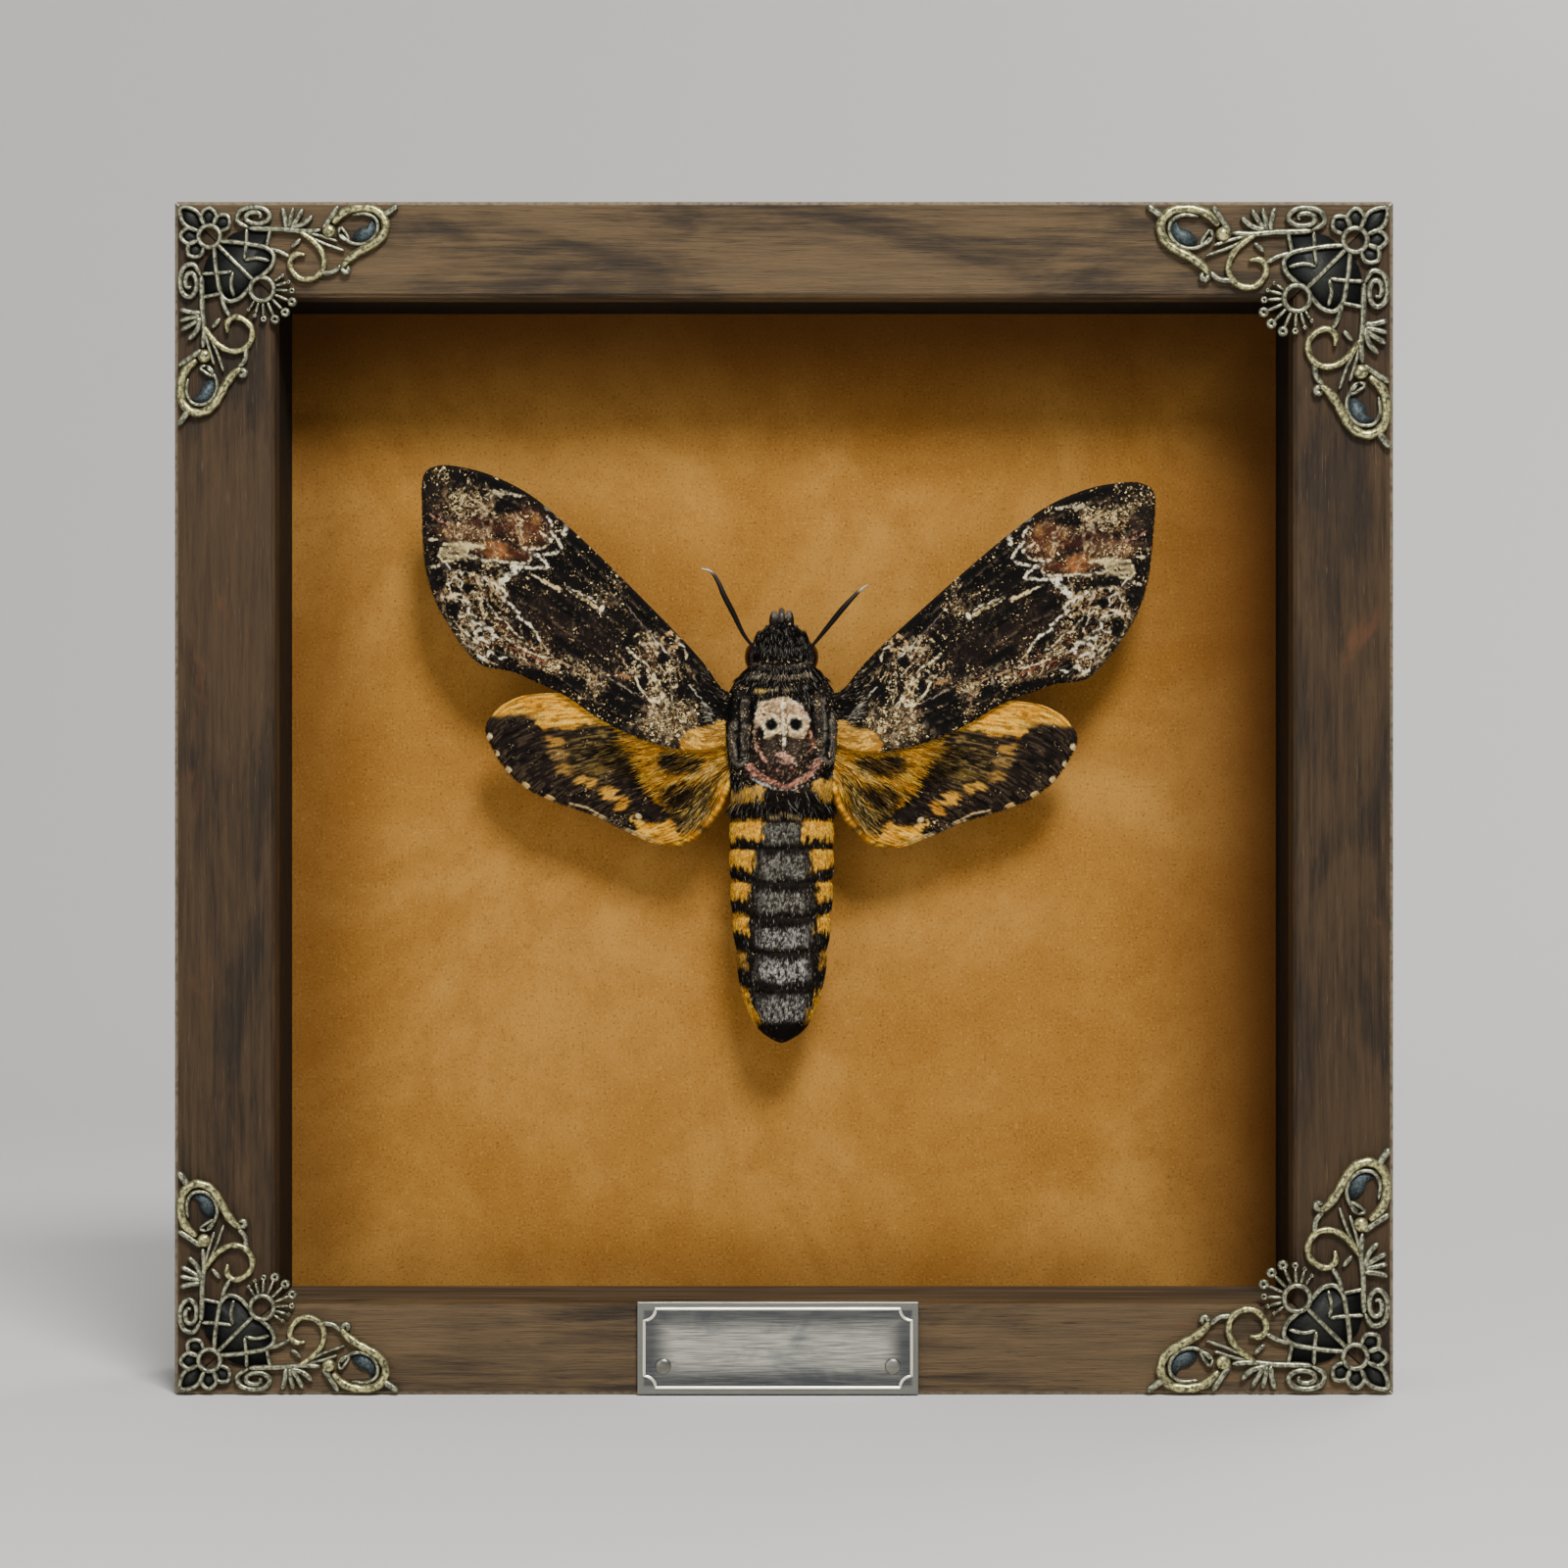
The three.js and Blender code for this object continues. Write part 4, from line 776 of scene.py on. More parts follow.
def ornament_pile():
    """One corner mount in its own [a, b, height] frame."""
    pile = Pile()
    for name, points, half, high in STROKES:
        cast, ribs = (BRASS, 0.16) if name in ("crescent", "curl") else (SILVER, 0.05)
        for line in (points, swapped(points)):
            ornament_bar(pile, line, half, high, ribs=ribs, tint=cast)
    ornament_bar(pile, SPINE, *SPINE_BAR)
    for angle, length, width in PETALS:
        middle = around(FLOWER, angle, PETAL_FOOT * 0.45 + length * 0.55)
        shift = around((0, 0), angle + 90, width)
        loop = [
            around(FLOWER, angle - PETAL_SPREAD, PETAL_FOOT),
            (middle[0] - shift[0], middle[1] - shift[1]),
            around(FLOWER, angle, length),
            (middle[0] + shift[0], middle[1] + shift[1]),
            around(FLOWER, angle + PETAL_SPREAD, PETAL_FOOT),
        ]
        ornament_bar(pile, loop, *PETAL_BAR)
        ornament_web(pile, loop[:4], middle)
    for angle, reach, bead in RAYS:
        line = [around(ROSETTE, angle, RAY_FOOT), around(ROSETTE, angle, reach - bead * 0.8)]
        ornament_bar(pile, line, *RAY_BAR)
        centre = around(ROSETTE, angle, reach - bead * 0.1)
        ornament_web(pile, hub(centre, bead * 0.5, 6), centre)
        ornament_bar(pile, hub(centre, bead * 0.62, 6), bead * 0.36, 1.0, closed=True, spacing=0.3)
    for centre, radius in HUBS:
        ornament_bar(pile, hub(centre, radius, 12), *HUB_BAR, closed=True)
    # Behind the lattice the dark web stands in for the wood in shade: painted shade
    ornament_web(pile, LATTICE + swapped(LATTICE[-2:0:-1]), LATTICE_MIDDLE)
    (a, b), (wide, high) = SPIRAL["centre"], SPIRAL["reach"]
    spiral = []
    for share in np.arange(SPIRAL["points"]) / (SPIRAL["points"] - 1):
        angle = math.radians(SPIRAL["start"] + share * SPIRAL["turns"] * 360)
        size = 1 - SPIRAL["shrink"] * share
        spiral.append((a + wide * size * math.cos(angle), b + high * size * math.sin(angle)))
    for line in (spiral, swapped(spiral)):
        ornament_bar(pile, line, *SPIRAL_BAR, spacing=0.36)
    for at in (BEAD["at"], BEAD["at"][::-1]):
        pile.add(*ball_points((*at, BEAD["height"]), BEAD["radii"], 10, 16), BRASS)
    for outline in (LEAF_EDGE, swapped(LEAF_EDGE)):
        ornament_web(pile, outline, np.mean(outline, axis=0), LEAF)
    return pile


def build_corners():
    """The four corner mounts, each scaled a little, over their solids."""
    drawn = ornament_pile()
    local = np.concatenate(drawn.points)
    for name, (x_sign, z_sign, size) in CORNERS.items():
        edge_z = FRAME_HEIGHT - EDGE_MARGIN if z_sign > 0 else EDGE_MARGIN
        placed = np.empty_like(local)
        placed[:, 0] = x_sign * (FRAME_WIDTH / 2 - EDGE_MARGIN - np.maximum(local[:, 0] * size, 0))
        placed[:, 1] = -ORNAMENT_BASE - local[:, 2]
        placed[:, 2] = edge_z - z_sign * np.maximum(local[:, 1] * size, 0)
        pile = Pile()
        pile.add(placed, *(np.concatenate(part) for part in (drawn.quads, drawn.tris, drawn.tints)))
        pile.build("filigree_" + name, metal_look, ["corner_" + name], fix_normals=True)


# The keys in the mitres: how far they end inside the frame's outline and inside the rails' inner edges,
# and their half thickness against the gap
KEY_INSET = 0.7
KEY_REACH = 0.4
KEY_HALF = 0.75


def build_mitre_keys():
    """A dark key that closes the joint between the rails at each corner."""
    middle = FRAME_HEIGHT / 2
    for name, (x_sign, z_sign, _) in CORNERS.items():
        rail = TOP_RAIL if z_sign > 0 else BOTTOM_RAIL
        outer = np.array([x_sign * (FRAME_WIDTH / 2 - KEY_INSET), middle + z_sign * (middle - KEY_INSET)])
        inner = np.array([x_sign * (FRAME_WIDTH / 2 - SIDE_RAIL + KEY_REACH),
                          middle + z_sign * (middle - rail + KEY_REACH)])
        side = np.array([inner[1] - outer[1], outer[0] - inner[0]])
        side = side / np.linalg.norm(side) * (GAP * KEY_HALF)
        # Behind the card the key ends at the rabbet, clear of the boards
        behind = inner + (outer - inner) * (RABBET / SIDE_RAIL)
        card, back = FRONT_Y + RECESS_DEPTH - GAP, -FRONT_Y - EDGE_MARGIN
        points = []
        for y, end in ((FRONT_Y + EDGE_MARGIN, inner), (card, inner), (card, behind), (back, behind)):
            ring = [outer + side, end + side, end - side, outer - side]
            points += [[p[0], y, p[1]] for p in ring]
        pile = Pile()
        pile.add(np.array(points), box_quads(4))
        pile.build("mitre_key_" + name, liner_look, smooth=False, fix_normals=True)


# The title plate's rounded edge, its raised border line and its screws
PLATE_EDGE = 0.22
PLATE_STEPS = [(0, 0), (0, PLATE_THICKNESS - PLATE_EDGE),
               (PLATE_EDGE * 0.3, PLATE_THICKNESS - PLATE_EDGE * 0.3), (PLATE_EDGE, PLATE_THICKNESS)]
BORDER_INSET = 1.15
BORDER_NOTCH = 1.9
NOTCH_STEPS = 6
BORDER_BAR = (0.3, 0.34)
BORDER_SPACING = 1.2
SCREW_X = 18.8
SCREW_Z = 4.9
SCREW_RADII = (1.32, 1.32, 0.42)


def build_plate():
    """The blank title plate with its raised border line, and its screws."""
    centre = np.array(PLATE_CENTRE)
    pile = Pile()
    rings = []
    for inset, depth in PLATE_STEPS:
        w, h = PLATE_WIDTH / 2 - inset, PLATE_HEIGHT / 2 - inset
        rings.append([[-w, -depth, -h], [w, -depth, -h], [w, -depth, h], [-w, -depth, h]])
    pile.add(np.vstack(rings) + centre, box_quads(4))
    border = []
    half_w, half_h = PLATE_WIDTH / 2 - BORDER_INSET, PLATE_HEIGHT / 2 - BORDER_INSET
    for x, z, start in ((1, -1, 90), (1, 1, 180), (-1, 1, 270), (-1, -1, 0)):
        for step in range(NOTCH_STEPS, -1, -1):
            angle = start + step * 90 / NOTCH_STEPS
            across, up = around((x * half_w, z * half_h), angle, BORDER_NOTCH)
            border.append((across, -PLATE_THICKNESS, up))
    dense = []
    for a, b in zip(border, border[1:] + border[:1]):
        pieces = max(int(math.dist(a, b) / BORDER_SPACING), 1)
        dense += [np.array(a) + (np.array(b) - a) * k / pieces for k in range(pieces)]
    pile.add(*sweep(np.array(dense) + centre, *BORDER_BAR, 8, closed=True))
    nodes = ["title_plate"]
    pile.build("bare_title_plate", plate_look, nodes, smooth=False, fix_normals=True)
    for side, sign in SIDES.items():
        screw = Pile((centre[0] + sign * SCREW_X, -ORNAMENT_BASE - PLATE_THICKNESS - 0.1, SCREW_Z))
        points, faces, ends = ball_points((0, 0, 0), SCREW_RADII, 12, 28)
        points = np.column_stack([points[:, 0], -np.maximum(points[:, 2], 0), points[:, 1]])
        screw.add(points, faces, ends)
        node = "plate_screw_" + side
        screw.build("plate_screw_head_" + side, steel_look, [node], fix_normals=True)


# The bare body, as in the solids. A ring of the thorax has its height and its shares of the half width
# and half depth. One of the head has its height, its share of the half width, its half depth and its
# shift towards the card. A segment of the abdomen has the height of its upper end and its share of the
# half width there.
THORAX_HALF_WIDTH = 9.9
THORAX_HALF_DEPTH = 8.0
ABDOMEN_HALF_WIDTH = 9.1
ABDOMEN_FLATNESS = 0.84
HEAD_HALF_WIDTH = 6.1
THORAX_SHAPE = [(-11, 0.9, 0.88), (-9, 0.95, 0.94), (-6, 0.99, 0.99), (-2.5, 1, 1), (1, 0.99, 0.99),
                (4, 0.96, 0.95), (6.6, 0.9, 0.88), (8.6, 0.79, 0.79), (9.5, 0.7, 0.72), (10.8, 0.61, 0.65)]
HEAD_SHAPE = [(12.4, 1.0, 4.9, 0.3), (14, 0.94, 4.7, 0.5), (15.6, 0.78, 4.2, 0.8), (17, 0.53, 3.3, 1.2),
              (18.1, 0.3, 2.1, 1.5), (18.5, 0.02, 0.1, 1.5)]
SEGMENTS = [(-11.3, 0.95), (-15.2, 0.985), (-19.8, 1), (-25.4, 0.985), (-31.3, 0.955), (-37.2, 0.885),
            (-43.8, 0.8), (-49.4, 0.56), (-52.9, 0.16)]
SHIELD = {"centre": (0, -4.9, -2.6), "radii": (5.2, 3.9, 8.2)}
TEGULAE = [{"centre": (sign * 7.3, -4.1, 0.3), "radii": (2.35, 3.1, 7)} for sign in SIDES.values()]
GROOVES = [(sign * 7.5, 0.6) for sign in SIDES.values()]
EYE = {"centre": (4.5, 0.5, 12.3), "radii": (1.75, 2.5, 2.55)}
BODY_END = -52.6
BODY_TOP = 18.4
# Heights between which the abdomen gives way to the thorax, how far its rounded tail reaches up,
# and how its segments, and the last of them, swell between their ends
WAIST = (-11.6, -10.8)
END_REACH = 1.7
SEGMENT_SWELL = (0.955, 0.06)
LAST_SWELL = (0.97, 0.08)
ABDOMEN_SHIFT = 0.4
ABDOMEN_TOP = -10.2
# How sharply the shield and the tegulae stand out of the thorax, and the groove along each tegula,
# whose place (x, z) is in GROOVES
BALL_BLEND = 18.0
GROOVE_DEPTH = 0.75
GROOVE_WIDTH = 0.45
GROOVE_REACH = 5.2


def body_section(z):
    """Half width, half depth and shift of the bare body at heights z."""
    ends = np.array([s[0] for s in SEGMENTS][::-1])
    shares = np.array([s[1] for s in SEGMENTS][::-1])
    share = np.interp(z, ends, shares)
    index = np.clip(np.searchsorted(ends, z) - 1, 0, len(ends) - 2)
    t = (ends[index + 1] - z) / (ends[index + 1] - ends[index])
    last = index == 0
    slow = np.sin(np.pi * np.clip(t, 0, 1))
    steep = np.sqrt(np.clip(np.sin(np.pi * np.clip(t, 0.01, 0.99)), 0, 1))
    swell = np.where(last, LAST_SWELL[0] + LAST_SWELL[1] * slow,
                     SEGMENT_SWELL[0] + SEGMENT_SWELL[1] * steep)
    round_end = np.sqrt(1 - (1 - np.clip((z - BODY_END) / END_REACH, 0, 1)) ** 2)
    abdomen = ABDOMEN_HALF_WIDTH * share * swell * np.where(last, np.maximum(round_end, 0.04), 1)
    rows = [(h, THORAX_HALF_WIDTH * w, THORAX_HALF_DEPTH * d, 0) for h, w, d in THORAX_SHAPE]
    rows += [(h, HEAD_HALF_WIDTH * w, d, s) for h, w, d, s in HEAD_SHAPE]
    table = np.array(rows)
    wide, deep, shift = (np.interp(z, table[:, 0], table[:, k]) for k in (1, 2, 3))
    front = smoothstep(*WAIST, z)
    return (abdomen * (1 - front) + wide * front,
            abdomen * ABDOMEN_FLATNESS * (1 - front) + deep * front,
            ABDOMEN_SHIFT * (1 - front) + shift * front)


def reach_through(ball, z, cos, sin, start_y):
    """How far a ray from the body's axis goes before it leaves a ball, or 0 where it misses."""
    (x0, y0, z0), (rx, ry, rz) = ball["centre"], ball["radii"]
    left = 1 - ((z - z0) / rz) ** 2
    a = (cos / rx) ** 2 + (sin / ry) ** 2
    b = -2 * (cos * x0 / rx ** 2 + sin * (y0 - start_y) / ry ** 2)
    c = (x0 / rx) ** 2 + ((y0 - start_y) / ry) ** 2 - left
    inside = b * b - 4 * a * c
    return np.where(inside > 0, (-b + np.sqrt(np.maximum(inside, 0))) / (2 * a), 0)


def body_point(z, angle):
    """A point of the skin at height z and angle, -pi/2 facing the viewer."""
    *halves, shift = body_section(z)
    wide, deep = (half - COAT_DEPTH * np.minimum(half / 3, 1) for half in halves)
    cos, sin = np.cos(angle), np.sin(angle)
    radius = wide * deep / np.sqrt((deep * cos) ** 2 + (wide * sin) ** 2)
    for ball in [SHIELD] + TEGULAE:
        reach = reach_through(ball, z, cos, sin, shift) - COAT_DEPTH
        radius = (radius ** BALL_BLEND + np.maximum(reach, 0.01) ** BALL_BLEND) ** (1 / BALL_BLEND)
    x, y = radius * cos, radius * sin
    for groove_x, groove_z in GROOVES:
        along = np.clip(np.abs(z - groove_z) / GROOVE_REACH, 0, 1)
        groove = np.exp(-((x - groove_x) / GROOVE_WIDTH) ** 2) * (1 - along ** 4) * (y < 0)
        radius = radius - GROOVE_DEPTH * groove
    return np.stack([radius * cos, shift + radius * sin, z], axis=-1)


def body_normal(z, angle):
    """The outward direction of the skin, from places a small step apart."""
    rise, turn = 0.05, 0.01
    up = body_point(z + rise, angle) - body_point(z - rise, angle)
    round_body = body_point(z, angle + turn) - body_point(z, angle - turn)
    return unit(np.cross(round_body, up))


# Marks. They are placed by photo pixels: a mask is 1 on the mark and 0 off it.

def distance_to(x, y, start, end):
    """How far each place is from a straight line between two points."""
    (ax, ay), (bx, by) = start, end
    span = max((bx - ax) ** 2 + (by - ay) ** 2, 1e-6)
    t = np.clip(((x - ax) * (bx - ax) + (y - ay) * (by - ay)) / span, 0, 1)
    return np.hypot(x - ax - t * (bx - ax), y - ay - t * (by - ay))


def stroke_mask(x, y, points, width, soft=1.2):
    """A line of some width through the points."""
    points = np.array(points, float)
    nearest = np.min([distance_to(x, y, a, b) for a, b in zip(points[:-1], points[1:])], axis=0)
    return 1 - smoothstep(width / 2 - soft / 2, width / 2 + soft / 2, nearest)


def blob_mask(x, y, centre, radii, soft=0.3, turn=0.0):
    """An oval, turned by some degrees."""
    angle = math.radians(turn)
    dx, dy = x - centre[0], y - centre[1]
    u = (dx * math.cos(angle) + dy * math.sin(angle)) / radii[0]
    v = (-dx * math.sin(angle) + dy * math.cos(angle)) / radii[1]
    return 1 - smoothstep(1 - soft, 1 + soft, np.hypot(u, v))


def area_mask(x, y, corners, soft=3.0):
    """The area inside a closed outline."""
    corners = np.array(corners, float)
    following = np.roll(corners, -1, axis=0)
    nearest = np.min([distance_to(x, y, a, b) for a, b in zip(corners, following)], axis=0)
    inside = np.zeros(x.shape, bool)
    for (ax, ay), (bx, by) in zip(corners, following):
        if ay != by:
            inside ^= ((ay > y) != (by > y)) & (x < ax + (y - ay) * (bx - ax) / (by - ay))
    return smoothstep(-soft / 2, soft / 2, np.where(inside, nearest, -nearest))


def paint(tint, colour, mask, flecks=None):
    """Lays a colour, and a share of pale flecks where one is given, over the tint where the mask is 1."""
    tint[:, :3] += (np.array(colour, float) - tint[:, :3]) * mask[:, None]
    if flecks is not None:
        tint[:, 3] += (flecks - tint[:, 3]) * mask


def ground(count, colour, flecks=0.0):
    """A tint of one colour for a number of points."""
    return np.tile(np.array([*colour, flecks], float), (count, 1))


def network(x, y, size, stretch, width, seed, turn=0.0):
    """Thin wavy lines, drawn where layered noise crosses its middle value, longer across the turn."""
    angle = math.radians(turn)
    along = x * math.cos(angle) + y * math.sin(angle)
    across = y * math.cos(angle) - x * math.sin(angle)
    field = cloud([along, across / stretch], size, seed, 3)
    return 1 - smoothstep(width * 0.35, width, np.abs(field - 0.5))


def to_pixels(x, z):
    """The photo pixel where a place of the moth's frame lies."""
    return AXIS_PIXEL + x / PIXEL, THORAX_PIXEL - z / PIXEL


BLACK = (8, 6, 5)
CREAM = (226, 208, 162)
WHITE = (240, 228, 196)
GOLD = (236, 160, 28)
DARK = (31, 22, 16)


# Zones of the forewing: colour, centre, radii, turn and share of pale scales
FOREWING_ZONES = [
    ((24, 19, 15), (452, 492), (18, 16), 0, 0.62), ((34, 25, 17), (481, 517), (28, 15), 12, 0.85),
    ((16, 12, 10), (484, 493), (24, 8), 14, 0.4), ((30, 23, 18), (445, 512), (13, 14), 0, 0.3),
    ((16, 12, 10), (486, 610), (38, 40), 15, 0.55), ((18, 14, 11), (488, 652), (26, 26), 30, 0.6),
    ((19, 15, 12), (668, 690), (42, 54), 30, 0.6), ((44, 36, 25), (682, 738), (30, 26), 0, 0.8),
    ((10, 8, 7), (722, 706), (26, 14), 48, 0.3),
    ((14, 11, 9), (625, 600), (22, 26), 45, 0.6), ((12, 9, 8), (592, 560), (18, 12), 45, 0.5),
    ((19, 14, 11), (590, 694), (62, 24), 28, 0.6), ((15, 11, 9), (716, 690), (22, 34), 35, 0.35),
    ((38, 21, 15), (540, 668), (26, 10), 22, 0.66), ((42, 26, 18), (512, 648), (14, 17), 0, 0.7),
    ((22, 15, 12), (572, 632), (62, 24), 34, 0.16), ((30, 20, 15), (566, 646), (30, 12), 34, 0.25),
    ((44, 22, 16), (498, 538), (20, 9), 14, 0.15), ((70, 38, 23), (536, 538), (24, 19), 35, 0.5),
    ((112, 76, 40), (547, 530), (7, 5), 25, 0.4), ((104, 72, 40), (536, 547), (6, 8), 0, 0.4),
    ((82, 56, 38), (472, 544), (27, 9), 6, 0.7), ((126, 76, 40), (507, 562), (19, 9), 16, 0.3),
    ((70, 34, 21), (529, 566), (11, 6), 16, 0.2), ((192, 170, 118), (473, 557), (21, 3.4), 4, 0.3),
    ((190, 170, 122), (462, 566), (14, 6), 0, 0.6), ((36, 22, 16), (483, 564.5), (6, 2.6), 8, 0.0),
    ((30, 22, 16), (463, 565), (7, 2.6), 0, 0.5),
]
# Black blotches of the forewing: centre, radii and turn
FOREWING_BLOTCHES = [
    ((518, 518), (15, 8), 8), ((634, 718), (24, 21), 20), ((600, 575), (36, 11), 44),
    ((665, 628), (36, 11), 47), ((705, 672), (20, 9), 50), ((446, 592), (10, 12), 0),
    ((500, 492), (30, 4), 20), ((512, 668), (9, 7), 0), ((505, 649), (5, 3.5), 0),
    ((548, 594), (16, 5), 20), ((566, 575), (16, 6), 30), ((590, 700), (16, 7), 30),
    ((482, 580), (12, 5), 10), ((463, 622), (7, 9), 30), ((580, 622), (24, 5), 34),
    ((645, 652), (7, 14), 40), ((530, 606), (12, 5), 30), ((578, 660), (20, 6), 34),
    ((560, 692), (20, 5), 25), ((700, 704), (7, 11), 30), ((500, 620), (7, 5), 40),
    ((655, 700), (5, 10), 20), ((478, 600), (7, 4), 0), ((676, 672), (5, 8), 30),
]
# Zones that carry wavy lines: centre, radii, turn and strength
MARBLED_ZONES = [
    ((536, 538), (26, 20), 30, 0.75), ((500, 562), (28, 10), 14, 0.4), ((480, 517), (34, 20), 10, 0.6),
    ((482, 612), (42, 44), 15, 0.9), ((494, 650), (30, 26), 20, 0.9), ((668, 690), (38, 52), 25, 0.9),
    ((690, 736), (24, 22), 0, 0.5), ((540, 664), (30, 14), 25, 0.8), ((600, 694), (44, 16), 30, 0.6),
    ((580, 640), (70, 30), 34, 0.12), ((480, 545), (34, 12), 5, 0.7), ((625, 600), (16, 22), 40, 0.4),
]
# Wavy lines: size, stretch, width, seed, turn and colour
MARBLE_LAYERS = [
    (8, 1.2, 0.06, 319, 30, (104, 66, 42)), (14, 2.2, 0.045, 301, -18, (192, 160, 108)),
    (10, 1.8, 0.045, 307, -26, (228, 208, 162)),
]
FOREWING_SPOT = {"centre": (614, 622), "radii": (2.4, 4.2), "turn": 30}
# Where yellow hair lies over the rear of the forewing's base
ROOT_TUFT = [
    (694, 756), (700, 746), (712, 741), (720, 744), (727, 741), (736, 736), (760, 740), (760, 772),
    (694, 772),
]
# Lines of the forewing: points, width and colour
FOREWING_LINES = [
    ([(557, 518), (567, 524), (575, 531), (579, 538), (576, 546)], 5.0, WHITE),
    ([(559, 529), (563, 536), (562, 543), (569, 550), (573, 560), (567, 565), (551, 567),
      (542, 565)], 3.2, WHITE),
    ([(552, 543), (562, 553), (557, 560), (546, 561), (534, 560)], 2.6, (232, 214, 170)),
    ([(537, 561), (543, 571), (536, 576), (524, 575)], 2.6, CREAM),
    ([(546, 567), (555, 572), (560, 579), (553, 581), (535, 580), (522, 578)], 3.2, WHITE),
    ([(452, 556), (470, 554), (480, 557), (494, 560)], 2.4, (222, 206, 150)),
    ([(476, 568), (492, 572), (507, 573), (523, 575), (539, 576)], 2.4, CREAM),
    ([(450, 560), (447, 567), (452, 573), (462, 572), (474, 568), (478, 561)], 2.6, (222, 206, 150)),
    ([(455, 574), (461, 583), (470, 586)], 1.8, WHITE),
    ([(458, 596), (464, 590), (472, 594), (470, 604)], 2.0, WHITE),
    ([(513, 594), (520, 588), (528, 582)], 7.0, (236, 228, 196)),
    ([(508, 600), (514, 595)], 4.0, (220, 204, 160)),
    ([(490, 588), (500, 594), (512, 600), (518, 606), (516, 612)], 2.2, WHITE),
    ([(539, 586), (548, 589), (556, 594)], 2.0, CREAM),
    ([(554, 593), (563, 598), (572, 603)], 4.4, (214, 188, 134)),
    ([(578, 599), (590, 605), (601, 611), (609, 616)], 1.4, WHITE),
    ([(590, 609), (598, 613), (608, 621)], 4.4, (226, 196, 132)), ([(578, 602), (586, 607)], 1.8, CREAM),
    ([(459, 608), (470, 606), (476, 612)], 2.2, CREAM),
    ([(472, 612), (480, 616), (478, 624), (486, 630)], 2.2, WHITE),
    ([(468, 628), (478, 632), (492, 638)], 2.4, WHITE),
    ([(510, 606), (516, 614), (524, 619), (530, 626)], 2.2, WHITE),
    ([(528, 630), (538, 636), (546, 644), (552, 654)], 2.4, WHITE),
    ([(505, 630), (514, 634), (524, 644), (534, 652)], 1.8, CREAM),
    ([(518, 652), (530, 660), (546, 668), (562, 672)], 2.0, CREAM),
    ([(484, 646), (492, 641), (501, 642), (506, 650), (499, 655), (490, 651)], 4.0, WHITE),
    ([(487, 669), (494, 672), (499, 666)], 3.2, WHITE),
    ([(500, 664), (508, 671), (516, 672)], 2.4, WHITE),
    ([(497, 612), (500, 622), (507, 628)], 2.0, CREAM),
    ([(470, 640), (478, 648), (486, 656)], 2.0, CREAM),
    ([(658, 640), (669, 655), (680, 666), (692, 678)], 1.8, (206, 196, 170)),
    ([(617, 690), (637, 701), (656, 713)], 1.4, (150, 140, 120)),
    ([(640, 619), (652, 634), (661, 646)], 1.2, (120, 108, 92)),
    ([(703, 700), (712, 710), (722, 722), (731, 735)], 1.6, (176, 168, 148)),
    ([(560, 668), (580, 680), (604, 690)], 1.6, (170, 132, 92)),
    ([(648, 690), (652, 702), (660, 711)], 2.4, CREAM),
    ([(646, 652), (654, 646), (663, 650), (665, 660), (658, 668)], 2.6, (206, 178, 124)),
    ([(640, 662), (650, 672), (660, 678), (662, 690)], 2.6, CREAM),
    ([(632, 668), (640, 682), (652, 690)], 2.0, (170, 140, 100)),
    ([(676, 652), (684, 645), (692, 651), (690, 660), (683, 664)], 3.6, (206, 160, 102)),
    ([(690, 655), (698, 661), (700, 672)], 2.2, CREAM),
    ([(667, 693), (672, 697), (671, 704)], 5.0, (232, 206, 142)),
    ([(664, 714), (672, 716), (677, 710)], 4.6, (226, 208, 160)),
    ([(662, 722), (668, 734), (662, 746)], 2.0, CREAM), ([(632, 688), (641, 692)], 3.0, (150, 100, 62)),
    ([(718, 724), (727, 738)], 2.6, (190, 180, 160)),
    ([(497, 508), (504, 503), (512, 506)], 5.0, (206, 186, 144)),
    ([(512, 500), (520, 505), (531, 507)], 2.6, (214, 198, 160)),
    ([(458, 508), (466, 504), (474, 508), (470, 514), (480, 518)], 1.8, (196, 172, 124)),
    ([(480, 508), (490, 514), (498, 522), (506, 528)], 1.8, (196, 172, 124)),
    ([(436, 523), (446, 530), (459, 536)], 1.6, (176, 122, 100)),
    ([(442, 522), (452, 528)], 1.4, (150, 100, 84)), ([(433, 549), (439, 551), (446, 550)], 2.4, CREAM),
    ([(434, 579), (441, 579), (448, 578)], 2.8, CREAM),
    ([(446, 611), (450, 609), (463, 609)], 2.8, (226, 196, 160)), ([(457, 636), (461, 640)], 3.6, CREAM),
    ([(474, 660), (482, 658)], 2.8, (214, 176, 150)),
    ([(520, 660), (532, 664), (546, 672), (558, 676)], 2.0, (140, 78, 54)),
]


def vein_gap(at, u, v):
    """How far a place on a wing is from the vein at a share of its width, narrowing towards the root."""
    return np.abs(v - at) * 26 * (0.25 + 0.75 * u)


def warped(x, y, amount, size, seed):
    """Pixel places pushed about by noise, so that a mark's edge is ragged."""
    pushes = [amount * 2 * (cloud([x, y], size, at) - 0.5) for at in (seed, seed + 9)]
    return x + pushes[0], y + pushes[1]


